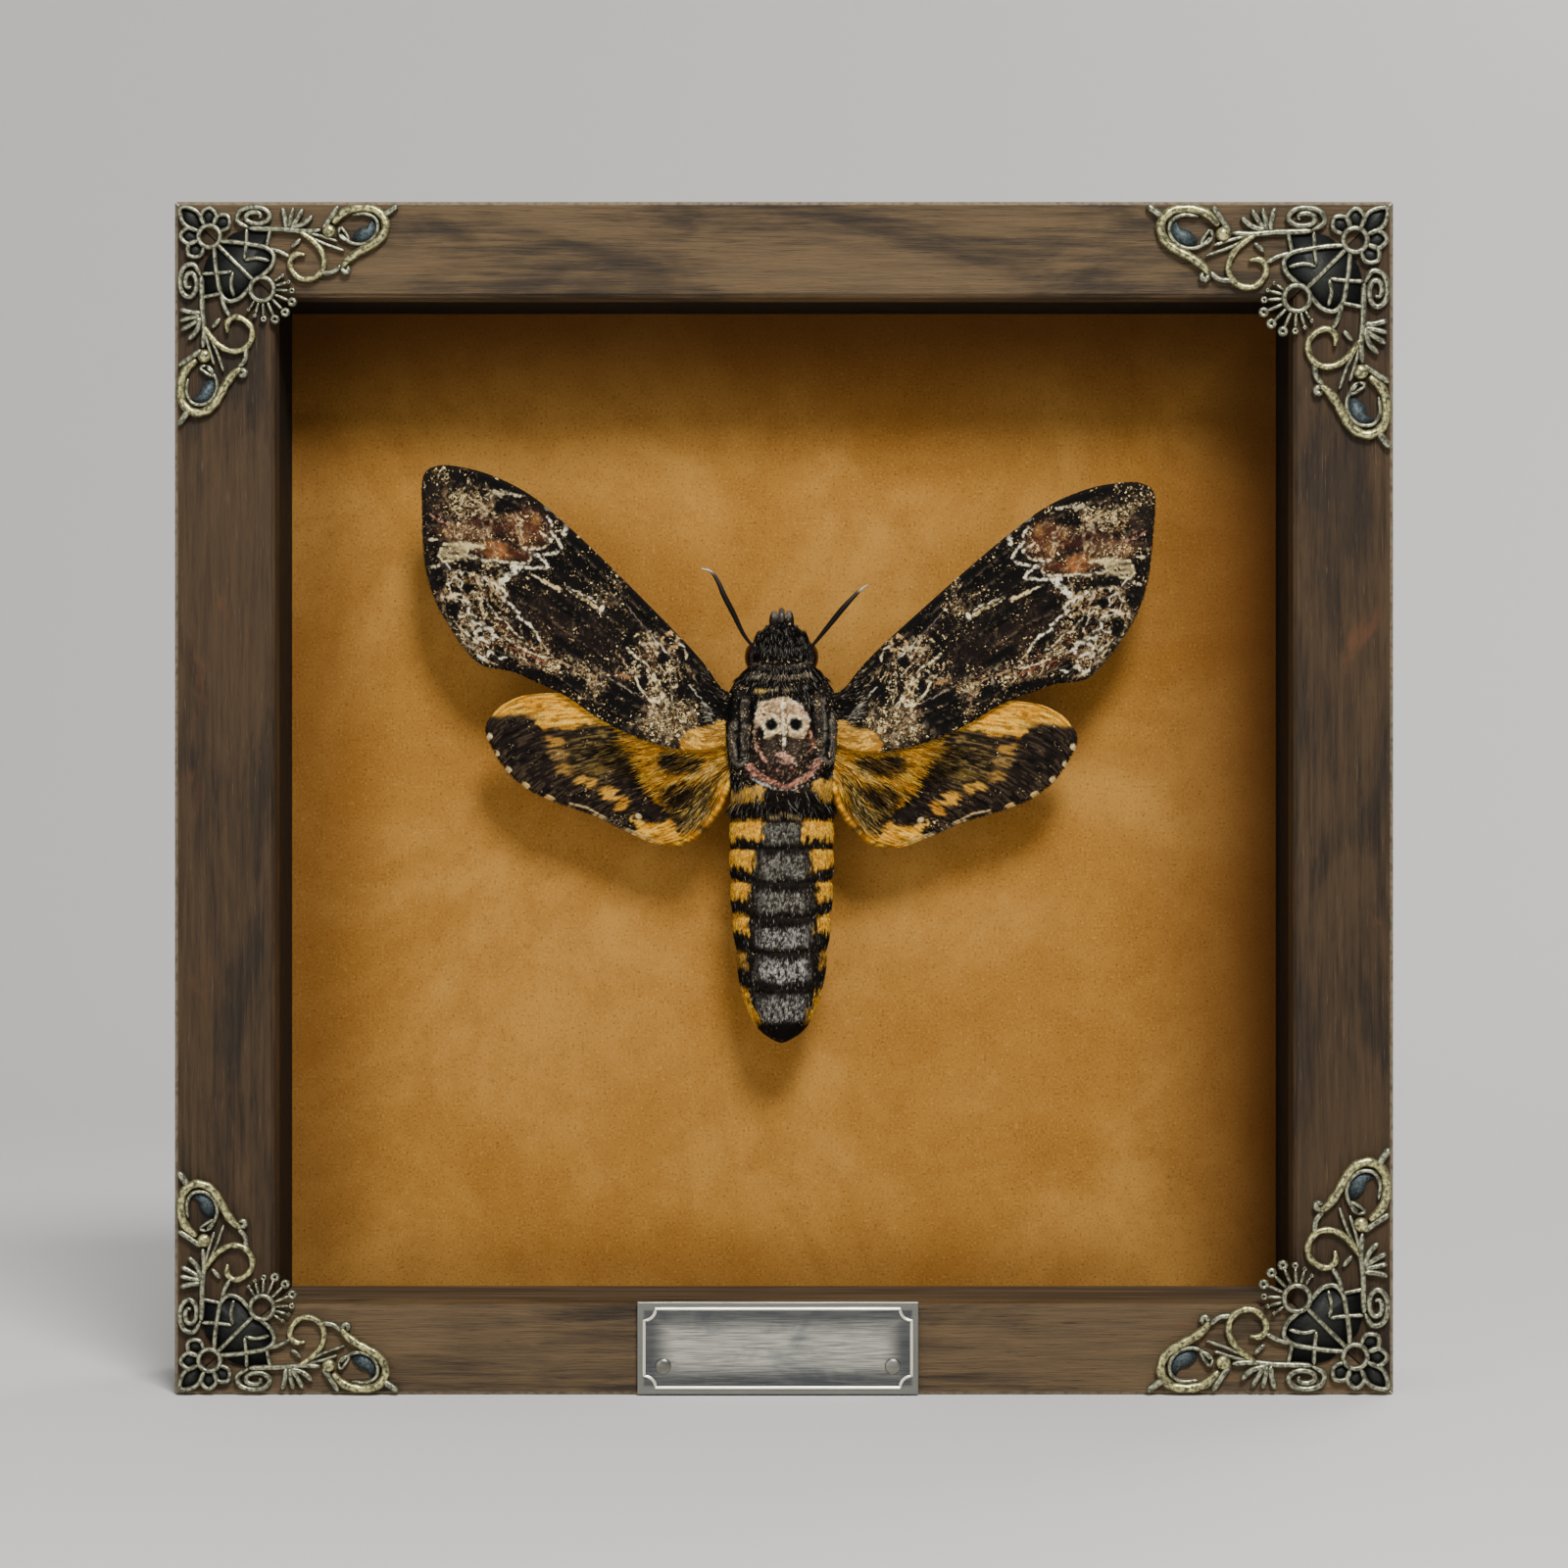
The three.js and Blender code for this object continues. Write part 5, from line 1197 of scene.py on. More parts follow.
def forewing_tint(x, z, u, v):
    """The forewing's colours, drawn for the left wing. Alpha is the share of pale flecks."""
    px, py = to_pixels(x, z)
    sx, sy = warped(px, py, 4.0, 9, 5)
    sx, sy = warped(sx, sy, 2.0, 3.5, 7)
    grain = cloud([px, py], 3.0, 23, 2)
    tint = ground(len(x), (14, 10, 8), 0.26)
    for colour, centre, radii, turn, flecks in FOREWING_ZONES:
        paint(tint, colour, blob_mask(sx, sy, centre, radii, 0.45, turn), flecks)
    tint[:, :3] *= (0.55 + 0.9 * cloud([sx, sy], 5.0, 37, 3))[:, None]
    marbled = np.zeros(len(x))
    for centre, radii, turn, share in MARBLED_ZONES:
        marbled = np.maximum(marbled, share * blob_mask(sx, sy, centre, radii, 0.5, turn))
    for size, stretch, width, seed, turn, colour in MARBLE_LAYERS:
        lines = network(px, py, size, stretch, width, seed, turn)
        paint(tint, colour, lines * marbled * (0.35 + 0.65 * smoothstep(0.35, 0.6, grain)))
    for centre, radii, turn in FOREWING_BLOTCHES:
        paint(tint, BLACK, blob_mask(sx, sy, centre, radii, 0.3, turn) * 0.92, 0.1)
    fx, fy = warped(px, py, 2.0, 4, 17)
    broken = 0.25 + 0.75 * smoothstep(0.36, 0.52, grain)
    for points, width, colour in FOREWING_LINES:
        paint(tint, colour, stroke_mask(fx, fy, points, width, 1.3) * broken, 0.2)
    spot = FOREWING_SPOT
    paint(tint, WHITE, blob_mask(px, py, spot["centre"], spot["radii"], 0.25, spot["turn"]), 0)
    tuft = area_mask(*warped(px, py, 3.0, 5, 29), ROOT_TUFT, 3)
    combed = cloud([px * 0.3 + py * 0.2, py * 1.2 - px * 0.5], 3.0, 31, 2)[:, None]
    paint(tint, np.where(combed > 0.5, (226, 172, 72), (168, 116, 34)), tuft, 0)
    ribs = np.zeros(len(x))
    for at, start, _ in FOREWING["veins"]:
        rib = np.exp(-(vein_gap(at, u, v) / 0.2) ** 2)
        ribs = np.maximum(ribs, rib * smoothstep(start - 0.03, start + 0.05, u + 0.03))
    paint(tint, (112, 96, 72), ribs * smoothstep(0.5, 0.62, grain) * 0.55)
    paint(tint, (26, 20, 16), smoothstep(0.975, 0.998, u) * 0.6)
    paint(tint, (30, 24, 20), smoothstep(0.03, 0.0, v) * 0.7)
    return tint


# Marks of the hindwing: the dark outer area, the dark patches and the mixed area near its base,
# dark streaks with their widths, an olive area, and the lines along its front, rear and root
HINDWING_DARK = [
    (480, 731), (520, 730), (546, 733), (552, 744), (575, 743), (600, 739), (622, 741), (633, 752),
    (642, 766), (652, 772), (663, 790), (665, 803), (668, 815), (674, 826), (686, 832), (670, 840),
    (655, 838), (645, 830), (648, 846), (637, 858), (590, 850), (540, 830), (480, 780),
]
HINDWING_PATCHES = [
    [(678, 767), (698, 764), (715, 769), (729, 771), (727, 781), (712, 786), (694, 785), (680, 779)],
    [(683, 801), (695, 796), (713, 796), (709, 807), (695, 817), (683, 822), (680, 811)],
]
HINDWING_INNER = [
    (686, 824), (700, 812), (722, 792), (734, 790), (726, 820), (710, 842), (696, 852), (688, 848),
    (684, 836),
]
HINDWING_STREAKS = [
    ([(724, 796), (704, 812), (684, 826), (670, 842)], 3.0), ([(728, 772), (706, 778), (684, 790)], 3.0),
    ([(728, 806), (712, 826), (692, 846)], 2.6), ([(700, 770), (676, 776), (656, 772)], 2.4),
    ([(716, 792), (690, 798), (668, 806)], 2.4),
]
HINDWING_OLIVE = ((612, 768), (36, 26))
HINDWING_FRONT = [(505, 731), (530, 730), (555, 733)]
HINDWING_REAR = [(664, 826), (678, 830), (692, 836)]
HINDWING_ROOT = [(724, 750), (727, 758)]
# Gold spots in the dark area, pale spots and dashes of the margin, and a grey patch
HINDWING_LIGHTS = [
    ((566, 756), (13, 5), (170, 122, 48)), ((569, 770), (11, 6), (150, 116, 60)),
    ((578, 785), (10, 7), (150, 112, 50)), ((598, 799), (12, 5.5), (206, 150, 54)),
    ((621, 810), (12, 6), (214, 154, 52)), ((634, 821), (9, 6), (204, 138, 38)),
    ((610, 784), (10, 6), (104, 82, 36)),
]
MARGIN_SPOTS = [
    ((499, 751), (3.2, 2.5), (222, 194, 138)), ((506, 769), (3, 2.6), (222, 194, 138)),
    ((518, 785), (3.8, 2.2), (218, 188, 128)), ((536, 801), (4.6, 2.2), (210, 174, 106)),
    ((561, 814), (5.4, 2.1), (206, 164, 96)), ((651, 833), (3.6, 2.8), (196, 172, 126)),
]
MARGIN_DASHES = [[(581, 820), (598, 824), (610, 831), (618, 835)], [(636, 845), (652, 851), (668, 858)]]
HINDWING_GREY = ((632, 836), (13, 7))
# Where the hindwing's strands differ most in shade
STRAND_AREA = [(672, 862), (684, 818), (700, 786), (760, 760), (760, 870)]


def hindwing_tint(x, z, u, v):
    """The hindwing's colours, drawn for the left wing, with hair-like streaks along the wing."""
    px, py = to_pixels(x, z)
    streak = cloud([u * 9, v * 95], 1.0, 41, 3)
    fine = cloud([u * 26, v * 230], 1.0, 47, 2)
    sx, sy = warped(px, py, 3.0, 11, 61)
    sx = sx + (streak - 0.5) * 15
    sy = sy - (streak - 0.5) * 5
    tint = ground(len(x), GOLD)
    paint(tint, (250, 196, 74), smoothstep(0.52, 0.66, streak) * 0.7)
    paint(tint, (172, 112, 22), smoothstep(0.48, 0.34, streak) * 0.7)
    paint(tint, (96, 60, 16), smoothstep(0.44, 0.3, fine) * 0.5)
    paint(tint, (252, 216, 126), smoothstep(0.58, 0.7, fine) * 0.4)
    outer = area_mask(sx, sy, HINDWING_DARK, 4)
    base = np.max([area_mask(sx, sy, patch, 4) for patch in HINDWING_PATCHES], axis=0)
    inner = area_mask(sx, sy, HINDWING_INNER, 6)
    paint(tint, (132, 110, 64), inner * smoothstep(0.66, 0.46, streak))
    paint(tint, (52, 40, 22), inner * smoothstep(0.5, 0.34, fine) * 0.9)
    for points, width in HINDWING_STREAKS:
        line = stroke_mask(sx, sy, points, width, 2)
        paint(tint, (34, 25, 14), line * smoothstep(0.62, 0.42, fine) * 0.9)
    paint(tint, DARK, outer)
    paint(tint, (24, 17, 10), base * (0.55 + 0.45 * smoothstep(0.62, 0.42, streak)))
    dark = np.maximum(outer, base)
    paint(tint, (96, 80, 56), dark * smoothstep(0.57, 0.7, fine) * 0.5)
    paint(tint, (6, 4, 4), dark * smoothstep(0.46, 0.26, fine) * 0.9)
    olive = blob_mask(sx, sy, *HINDWING_OLIVE, 0.5)
    paint(tint, (84, 66, 30), olive * (0.3 + 0.6 * streak))
    paint(tint, (18, 13, 8), olive * smoothstep(0.54, 0.4, fine) * 0.9)
    paint(tint, (142, 116, 60), olive * smoothstep(0.56, 0.68, fine) * 0.6)
    paint(tint, (70, 58, 38), stroke_mask(sx, sy, HINDWING_FRONT, 4, 4) * 0.6)
    for centre, radii, colour in HINDWING_LIGHTS:
        light = blob_mask(sx, sy, centre, radii, 0.35, 10)
        paint(tint, colour, light * (0.5 + 0.5 * smoothstep(0.3, 0.55, fine)))
    paint(tint, DARK, stroke_mask(sx, sy, HINDWING_REAR, 9, 4) * 0.9)
    paint(tint, (86, 30, 18), stroke_mask(px, py, HINDWING_ROOT, 3, 3) * 0.7)
    for centre, radii, colour in MARGIN_SPOTS:
        paint(tint, colour, blob_mask(px, py, centre, radii, 0.2, 30))
    for points in MARGIN_DASHES:
        dash = stroke_mask(px, py, points, 2.2, 1.5)
        paint(tint, (196, 168, 116), dash * (0.5 + 0.5 * smoothstep(0.4, 0.55, fine)))
    tint[:, 3] = 0.05 + 0.6 * blob_mask(sx, sy, *HINDWING_GREY, 0.4)
    return tint


def strand_tint(x, z, u, v):
    """Strands of the hindwing's hair: some pale and some dark among those of the wing's own colour."""
    tint = hindwing_tint(x, z, u, v)
    strand = cloud([u * 7, v * 130], 1.0, 53, 2)
    inner = area_mask(*to_pixels(x, z), STRAND_AREA, 8)
    plain = tint[:, 0] > 120
    paint(tint, (242, 208, 132), smoothstep(0.56, 0.66, strand) * (0.2 + 0.4 * inner) * plain)
    paint(tint, (50, 35, 16), smoothstep(0.46, 0.34, strand) * (0.12 + 0.6 * inner))
    tint[:, 3] = 0
    return tint


def base_tint(x, z, u, v):
    """The scales at the forewing's base, with fewer pale flecks than its skin."""
    tint = forewing_tint(x, z, u, v)
    tint[:, 3] *= 0.35
    return tint


# Marks of the thorax in photo pixels: points, width, colour and share of flecks
THORAX_LINES = [
    ([(762, 664), (780, 668), (800, 669), (822, 666), (836, 662)], 1.4, (104, 96, 86), 0.3),
    ([(760, 676), (780, 680), (800, 681), (822, 678), (838, 674)], 1.4, (96, 88, 78), 0.3),
    ([(768, 687), (784, 690), (803, 692), (815, 690), (826, 686)], 2.2, (184, 166, 134), 0.1),
    ([(772, 705), (780, 706)], 3.0, (214, 180, 96), 0.1),
    ([(783, 705), (792, 705)], 2.2, (176, 156, 108), 0.2),
    ([(799, 704), (808, 705)], 2.4, (150, 132, 96), 0.2),
    ([(746.5, 734), (745.5, 758), (747, 776)], 5.5, (64, 58, 51), 0.55),
    ([(761, 714), (761.5, 740), (760.5, 770)], 8.0, (42, 37, 33), 0.55),
    ([(833, 714), (835, 740), (836, 766)], 11.0, (42, 37, 33), 0.55),
    ([(849.5, 730), (850.5, 752), (849, 772)], 5.5, (64, 58, 51), 0.55),
    ([(746, 710), (745, 722), (745, 734)], 7.0, (5, 4, 4), 0.0),
    ([(753.5, 716), (752.8, 745), (753.8, 774)], 4.0, (4, 3, 3), 0.0),
    ([(768, 716), (767, 738), (766.5, 758)], 3.6, (4, 3, 3), 0.0),
    ([(843, 716), (843.6, 740), (843, 768)], 4.2, (4, 3, 3), 0.0),
    ([(827, 716), (828.5, 738), (830, 756)], 2.8, (4, 3, 3), 0.0),
    ([(746, 776), (753, 782), (762, 777)], 3.6, (104, 98, 88), 0.4),
    ([(836, 773), (845, 779), (851, 773)], 3.6, (104, 98, 88), 0.4),
    ([(757, 712), (757, 740), (757.4, 772)], 1.5, (116, 108, 95), 0.2),
    ([(749.6, 738), (749.2, 760), (750.5, 776)], 1.5, (124, 116, 101), 0.2),
    ([(839.8, 714), (840.8, 740), (840, 768)], 1.5, (116, 108, 95), 0.2),
    ([(847, 728), (847.6, 750), (846.6, 770)], 1.5, (124, 116, 101), 0.2),
]
# The skull's dome, the face below it, their patches (centre, radii, turn, strength and colour)
# and their lines (points, width and colour)
SKULL = [
    (770, 741), (770.5, 727), (776, 718), (789, 715), (798.5, 712.5), (806, 714), (815, 719), (822, 728),
    (825, 737), (824, 748), (818, 755), (808, 752), (799, 749), (792, 749), (786, 756), (778, 754),
    (775, 746),
]
FACE = [
    (768, 742), (826, 742), (831, 760), (828, 774), (837, 777), (834, 790), (824, 799), (810, 806),
    (795, 806), (779, 801), (764, 794), (763, 781), (770, 770), (768, 757),
]
SKULL_BLOBS = [
    ((786, 764), (7.5, 11), 0, 0.8, (62, 51, 40)), ((812, 763), (9, 11), 0, 0.8, (62, 51, 40)),
    ((803, 776), (7, 5), 0, 0.8, (186, 132, 108)), ((797, 788), (14, 9), 0, 0.85, (46, 31, 24)),
    ((768, 797.5), (5, 3), 20, 1.0, (3, 2, 2)), ((837, 792), (5, 2.8), 0, 1.0, (3, 2, 2)),
    ((788.5, 724), (6, 5), 0, 0.7, (146, 122, 90)), ((806, 724), (5.5, 5), 0, 0.7, (146, 122, 90)),
    ((819, 727), (3.5, 7), -30, 0.5, (214, 158, 130)), ((773, 733), (2.5, 6), 0, 0.5, (190, 150, 116)),
    ((776.4, 748), (2.8, 6.5), -10, 1.0, (6, 4, 4)), ((825.5, 749), (1.8, 5), 0, 1.0, (8, 5, 5)),
    ((786.3, 740), (9.4, 8.8), -15, 1.0, (240, 220, 172)),
    ((811.2, 739.6), (9.4, 8.8), 15, 1.0, (240, 220, 172)),
    ((786.3, 739.7), (6.5, 5.9), -20, 1.0, (3, 2, 2)), ((811.2, 739.3), (6.6, 5.7), 20, 1.0, (3, 2, 2)),
    ((778.6, 729.5), (1.7, 1.7), 0, 0.9, (40, 26, 18)), ((830, 792), (1.8, 1.8), 0, 1.0, (226, 220, 208)),
]
SKULL_LINES = [
    ([(770.5, 741), (771, 728), (776.5, 718.5), (789, 715), (798.5, 713), (806, 714.5)], 2.2,
      (230, 204, 158)),
    ([(805.5, 715), (815, 719.5), (822, 728.5), (825, 737)], 2.4, (242, 226, 196)),
    ([(798.6, 716), (799, 735), (799.5, 752), (800, 766)], 2.4, (242, 226, 186)),
    ([(795.6, 724), (796, 740), (796, 752)], 1.5, (84, 62, 44)),
    ([(802.2, 724), (802.6, 740), (803, 752)], 1.5, (84, 62, 44)),
    ([(770.5, 742), (769, 750), (768.5, 757)], 1.6, (214, 176, 146)),
    ([(770, 760), (775, 768), (781, 778)], 3.0, (210, 150, 120)),
    ([(826, 747), (829.5, 757), (829, 763), (824.5, 767)], 2.4, (200, 130, 102)),
    ([(792.5, 771), (800, 769.5), (808, 774)], 5.0, (206, 154, 128)),
    ([(806, 773), (811, 782)], 2.2, (226, 188, 160)),
    ([(765, 783), (769, 788), (775, 791)], 8.0, (198, 134, 110)),
    ([(777, 793), (784, 797), (791, 799)], 5.4, (188, 120, 96)),
    ([(793, 801), (802, 803), (811, 800)], 5.0, (190, 124, 102)),
    ([(812, 797), (820, 794), (827, 789)], 6.2, (196, 130, 106)),
    ([(829, 784), (832, 780), (834, 777)], 6.6, (200, 140, 116)),
    ([(768.5, 794), (779, 801), (790, 804.5)], 1.9, (236, 230, 216)),
    ([(797, 807), (808, 806), (818, 802)], 1.5, (212, 196, 178)),
    ([(789, 783), (796, 790)], 1.8, (128, 74, 58)), ([(806, 782), (812, 788)], 1.8, (150, 88, 70)),
]
# Rows where the collar ends and where the face begins, a red-brown patch and the pale tip of the snout
COLLAR_ROW = 690
FACE_ROWS = (750, 764)
CHEEK = ((763, 669), (8, 16))
SNOUT = ((793, 628), (7, 7))
# The area round the skull and face, where the hair is shortest
MARK_AREA = [
    (764, 745), (767, 724), (778, 712), (798, 707), (818, 713), (829, 726), (830, 750), (835, 773),
    (841, 777), (838, 795), (825, 804), (811, 810), (795, 810), (779, 806), (760, 798), (759, 778),
    (767, 768),
]
# Yellow tufts over the joint between thorax and abdomen
WAIST_TUFTS = [
    [(745, 807), (762, 804), (780, 802), (780, 813), (766, 820), (745, 822)],
    [(828, 798), (838, 796), (855, 796), (856, 812), (840, 816), (829, 808)],
]


def paint_waist(tint, px, py, share, flecks=None):
    """The yellow tufts over the joint between thorax and abdomen, which both of their tints show."""
    wx, wy = warped(px, py, 4.5, 5, 87)
    for outline in WAIST_TUFTS:
        paint(tint, (218, 164, 66), area_mask(wx, wy, outline, 3) * share, flecks)


def thorax_tint(x, y, z):
    """Colours of the head and thorax: dark with grey flecks, the skull mark, and yellow at the sides."""
    px, py = to_pixels(x, z)
    back = y < 0.5
    sx, sy = warped(px, py, 1.6, 5, 71)
    sx, sy = warped(sx, sy, 1.1, 2.2, 73)
    tint = ground(len(x), (20, 15, 13), 0.32)
    paint(tint, (12, 9, 7), (py < COLLAR_ROW).astype(float), 0.26)
    paint(tint, (26, 13, 11), blob_mask(sx, sy, *CHEEK, 0.4), 0.08)
    paint(tint, (62, 56, 50), blob_mask(sx, sy, *SNOUT, 0.5) * 0.8, 0.6)
    sides = smoothstep(0.5, 3.0, y)
    paint(tint, (58, 42, 22), sides * 0.8)
    paint(tint, (176, 118, 34), sides * smoothstep(-9, -4, -np.abs(z + 3)) * 0.85)
    for points, width, colour, flecks in THORAX_LINES:
        paint(tint, colour, stroke_mask(sx, sy, points, width, 1.6) * back, flecks)
    grain = cloud([px, py], 2.4, 77, 2)
    broken = 0.55 + 0.45 * smoothstep(0.36, 0.56, grain)
    dome = area_mask(sx, sy, SKULL, 2.0) * back
    paint(tint, (36, 26, 21), area_mask(sx, sy, FACE, 4) * back, 0.4)
    paint(tint, (230, 198, 144), dome, 0.05)
    paint(tint, (140, 106, 72), dome * smoothstep(0.52, 0.4, grain) * 0.7)
    paint(tint, (206, 150, 120), dome * smoothstep(0.3, 0.5, cloud([px, py], 7.0, 79, 2)) * 0.25)
    for centre, radii, turn, strength, colour in SKULL_BLOBS:
        paint(tint, colour, blob_mask(sx, sy, centre, radii, 0.3, turn) * strength * back, 0.05)
    for points, width, colour in SKULL_LINES:
        paint(tint, colour, stroke_mask(sx, sy, points, width, 1.5) * back * broken, 0.12)
    rough = cloud([px, py], 1.5, 85, 2)
    marked = area_mask(px, py, MARK_AREA, 4) * back
    tint[:, :3] *= (1 + marked * (1.1 * (rough - 0.5) - 0.08))[:, None]
    face = marked * smoothstep(*FACE_ROWS, py)
    paint(tint, (20, 13, 11), face * smoothstep(0.42, 0.3, rough) * 0.6)
    paint(tint, (196, 168, 134), face * smoothstep(0.66, 0.76, rough) * 0.4)
    tint[:, :3] = np.clip(tint[:, :3], 0, 255)
    paint_waist(tint, px, py, back, 0.05)
    return tint


# Bands of the abdomen: how light their grey is, rows of yellow and how near the middle it comes,
# and rows of grey with its half width
ABDOMEN_BANDS = [
    {"light": 0.66, "yellow": (836, 856), "inner": 19, "grey": (836, 860), "grey_half": 20},
    {"light": 0.7, "yellow": (867, 887), "inner": 28, "grey": (866, 893), "grey_half": 25},
    {"light": 0.74, "yellow": (901, 919), "inner": 34, "grey": (903, 927), "grey_half": 26},
    {"light": 0.9, "yellow": (935, 952), "inner": 34, "grey": (939, 963), "grey_half": 27},
    {"light": 1.0, "yellow": (970, 988), "inner": 36, "grey": (972, 998), "grey_half": 27, "faint": 0.6},
    {"light": 0.86, "yellow": (1008, 1050), "inner": 35, "grey": (1010, 1040), "grey_half": 26},
]


# The abdomen's middle column, the columns over which its bands arch and the rows from which they do,
# the rows where the last gold narrows, the black patch at its tip, its dark start and the hair there
MIDDLE_COLUMN = 798
ARCH_COLUMNS = 50
ARCH_ROWS = (860, 880)
NARROWING_ROWS = (1010, 1052)
NARROWING_COLUMNS = 16
TIP_ROWS = (1036, 1046)
TIP_COLUMNS = (32, 24)
START_ROWS = (834, 829)
START_HAIR = [(785, 833), (796, 830), (808, 830), (816, 834)]


def abdomen_tint(x, y, z):
    """Colours of the abdomen: yellow sides, grey along the back, black bands between."""
    px, py = to_pixels(x, z)
    sx, sy = warped(px, py, 3.6, 6, 83)
    comb = (cloud([px * 1.4, py * 0.25, y * 8], 3.0, 97, 2) - 0.5) * 18
    arch = 3.5 - 7 * ((sx - MIDDLE_COLUMN) / ARCH_COLUMNS) ** 2
    sy = sy - arch * smoothstep(*ARCH_ROWS, sy)
    across = np.abs(sx - MIDDLE_COLUMN)
    speckle = cloud([px, py, y * 6], 1.7, 91, 2)
    tint = ground(len(x), (26, 21, 17), 0.12)
    tint[:, :3] *= (0.5 + 1.0 * cloud([px, py, y * 6], 5.0, 93, 2))[:, None]
    under = smoothstep(0.0, 3.5, y)
    pale = smoothstep(0.4, 0.64, speckle)[:, None]
    gold = np.where(speckle[:, None] > 0.5, (250, 188, 66), (216, 146, 34))
    for band in ABDOMEN_BANDS:
        low, high = band["grey"]
        rows = smoothstep(low, low + 7, sy) * smoothstep(high + 2, high - 2, sy)
        half = band["grey_half"]
        middle = smoothstep(half + 8, half - 10, across + comb * 0.4) * (1 - under)
        bright = (214.0, 208, 190) if band["light"] < 0.8 else (212.0, 210, 200)
        grey = np.array([50.0, 45, 38]) * (1 - pale) + band["light"] * np.array(bright) * pale
        paint(tint, grey, rows * middle * 0.9)
        low, high = band["yellow"]
        rows = smoothstep(low - 2, low + 1.5, sy + comb * 0.12)
        rows = rows * smoothstep(high + 2.5, high - 1, sy + comb * 0.75)
        narrow = band["inner"] - smoothstep(*NARROWING_ROWS, sy) * NARROWING_COLUMNS
        sides = smoothstep(narrow - 2, narrow + 3, across - comb * 0.7)
        paint(tint, gold, rows * np.maximum(sides, under * 0.9) * band.get("faint", 1.0), 0)
    paint(tint, (15, 11, 9), smoothstep(*TIP_ROWS, sy) * smoothstep(*TIP_COLUMNS, across))
    paint(tint, (26, 20, 15), smoothstep(*START_ROWS, sy), 0.25)
    paint(tint, (176, 150, 100), stroke_mask(sx, sy, START_HAIR, 3.4, 2) * (1 - under))
    paint_waist(tint, px, py, 1 - under)
    return tint


# The skin of the whole body, and its coat

def unwrap(across, up, size):
    """Places of the unwrap for shares from 0 to 1, inside a small margin."""
    return np.stack([0.01 + size * across, 0.01 + size * up], axis=-1)


def body_uv(z, angle):
    """The skin's own unwrap: round the body across, and along it upwards."""
    turned = (angle + 1.5 * np.pi) % (2 * np.pi)
    return unwrap(turned / (2 * np.pi), (z - BODY_END) / (BODY_TOP - BODY_END), 0.97)


def body_tint(points):
    """The tint of the whole body, with the abdomen's below its joint with the thorax."""
    tint = thorax_tint(*points.T)
    lower = points[:, 2] < ABDOMEN_TOP
    if np.any(lower):
        tint[lower] = abdomen_tint(*points[lower].T)
    return tint


SKIN_RINGS = 420
SKIN_SIDES = 200
SEAM = -1.5 * np.pi
# The skin's end points: y, and how far past the last ring
TAIL_POINT = (0.4, -0.02)
SNOUT_POINT = (1.5, 0.05)


def build_skin():
    """The bare skin of head, thorax and abdomen in one piece."""
    z = np.linspace(BODY_END + 0.01, BODY_TOP, SKIN_RINGS)
    angle = np.linspace(SEAM, SEAM + 2 * np.pi, SKIN_SIDES, endpoint=False)
    zz, aa = np.meshgrid(z, angle, indexing="ij")
    ends = [[0, TAIL_POINT[0], BODY_END + TAIL_POINT[1]], [0, SNOUT_POINT[0], BODY_TOP + SNOUT_POINT[1]]]
    points = np.vstack([body_point(zz.ravel(), aa.ravel()), ends])
    quads = tube_quads(SKIN_RINGS, SKIN_SIDES)[:, TURNED_QUAD]
    tris = end_fans(SKIN_RINGS, SKIN_SIDES)[:, TURNED_TRI]
    pile = Pile(MOTH_PLACE)
    pile.add(points, quads, tris, body_tint(points))
    nodes = ["head", "thorax", "abdomen", "tegula_left", "tegula_right"]
    pile.build("moth_body_skin", body_look, nodes)


def body_roots(count, low, high, seed):
    """Roots spread evenly over the skin between two heights."""
    pick = np.random.default_rng(seed)
    z = pick.uniform(low, high, count * 2)
    angle = pick.uniform(SEAM, SEAM + 2 * np.pi, count * 2)
    wide, _, _ = body_section(z)
    keep = pick.uniform(0, ABDOMEN_HALF_WIDTH + 1, count * 2) < wide
    z, angle = z[keep][:count], angle[keep][:count]
    points = body_point(z, angle)
    return z, angle, points, body_normal(z, angle), pick


# The share of flecks that become pale tufts, and how pale and of which hue these are
PALE_SHARE = 0.42
PALE_RANGE = (84, 168)
PALE_HUE = np.array([1.0, 0.96, 0.88])


def jittered(tint, pick, amount):
    """Each tuft a little lighter or darker than its place, and some pale."""
    scale = 1 + amount * (pick.uniform(-1, 1, len(tint)))
    out = tint.copy()
    out[:, :3] = np.clip(out[:, :3] * scale[:, None], 0, 255)
    flecked = pick.uniform(0, 1, len(tint)) < out[:, 3] * PALE_SHARE
    pale = pick.uniform(*PALE_RANGE, len(tint))
    out[flecked, :3] = pale[flecked, None] * PALE_HUE
    return out


DOWN = np.array([0, 0, -1.0])
FORWARD = np.array([0, 0, 1.0])
# How far ahead of its root, as a share of its length, a tuft takes its colour
COLOUR_AHEAD = 0.45
# Pieces of the coat: number of roots, the heights they grow between, and their seed
THORAX_COAT = (17000, -12.2, 10.2, 101)
HEAD_COAT = (9000, 8.8, 17.9, 102)
ABDOMEN_COATS = {"upper": (15500, -32, -10.8, 103), "lower": (12500, BODY_END + 0.3, -32, 104)}
# The thorax's hair: its usual length, what the waist adds, and what the skull and shoulders take away
THORAX_LENGTH = 1.35
WAIST_LONGER = 1.4
SKULL_SHORTER = 0.87
SHOULDER_SHORTER = 0.75
# The height on the head from which hair lies forward, not down
FORWARD_FROM = 11.2


def grow_coat(name, slot, *tufts, **shape):
    """One piece of the moth's coat."""
    pile = Pile(MOTH_PLACE)
    add_tufts(pile, *tufts, **shape)
    pile.build(name, hair_look)


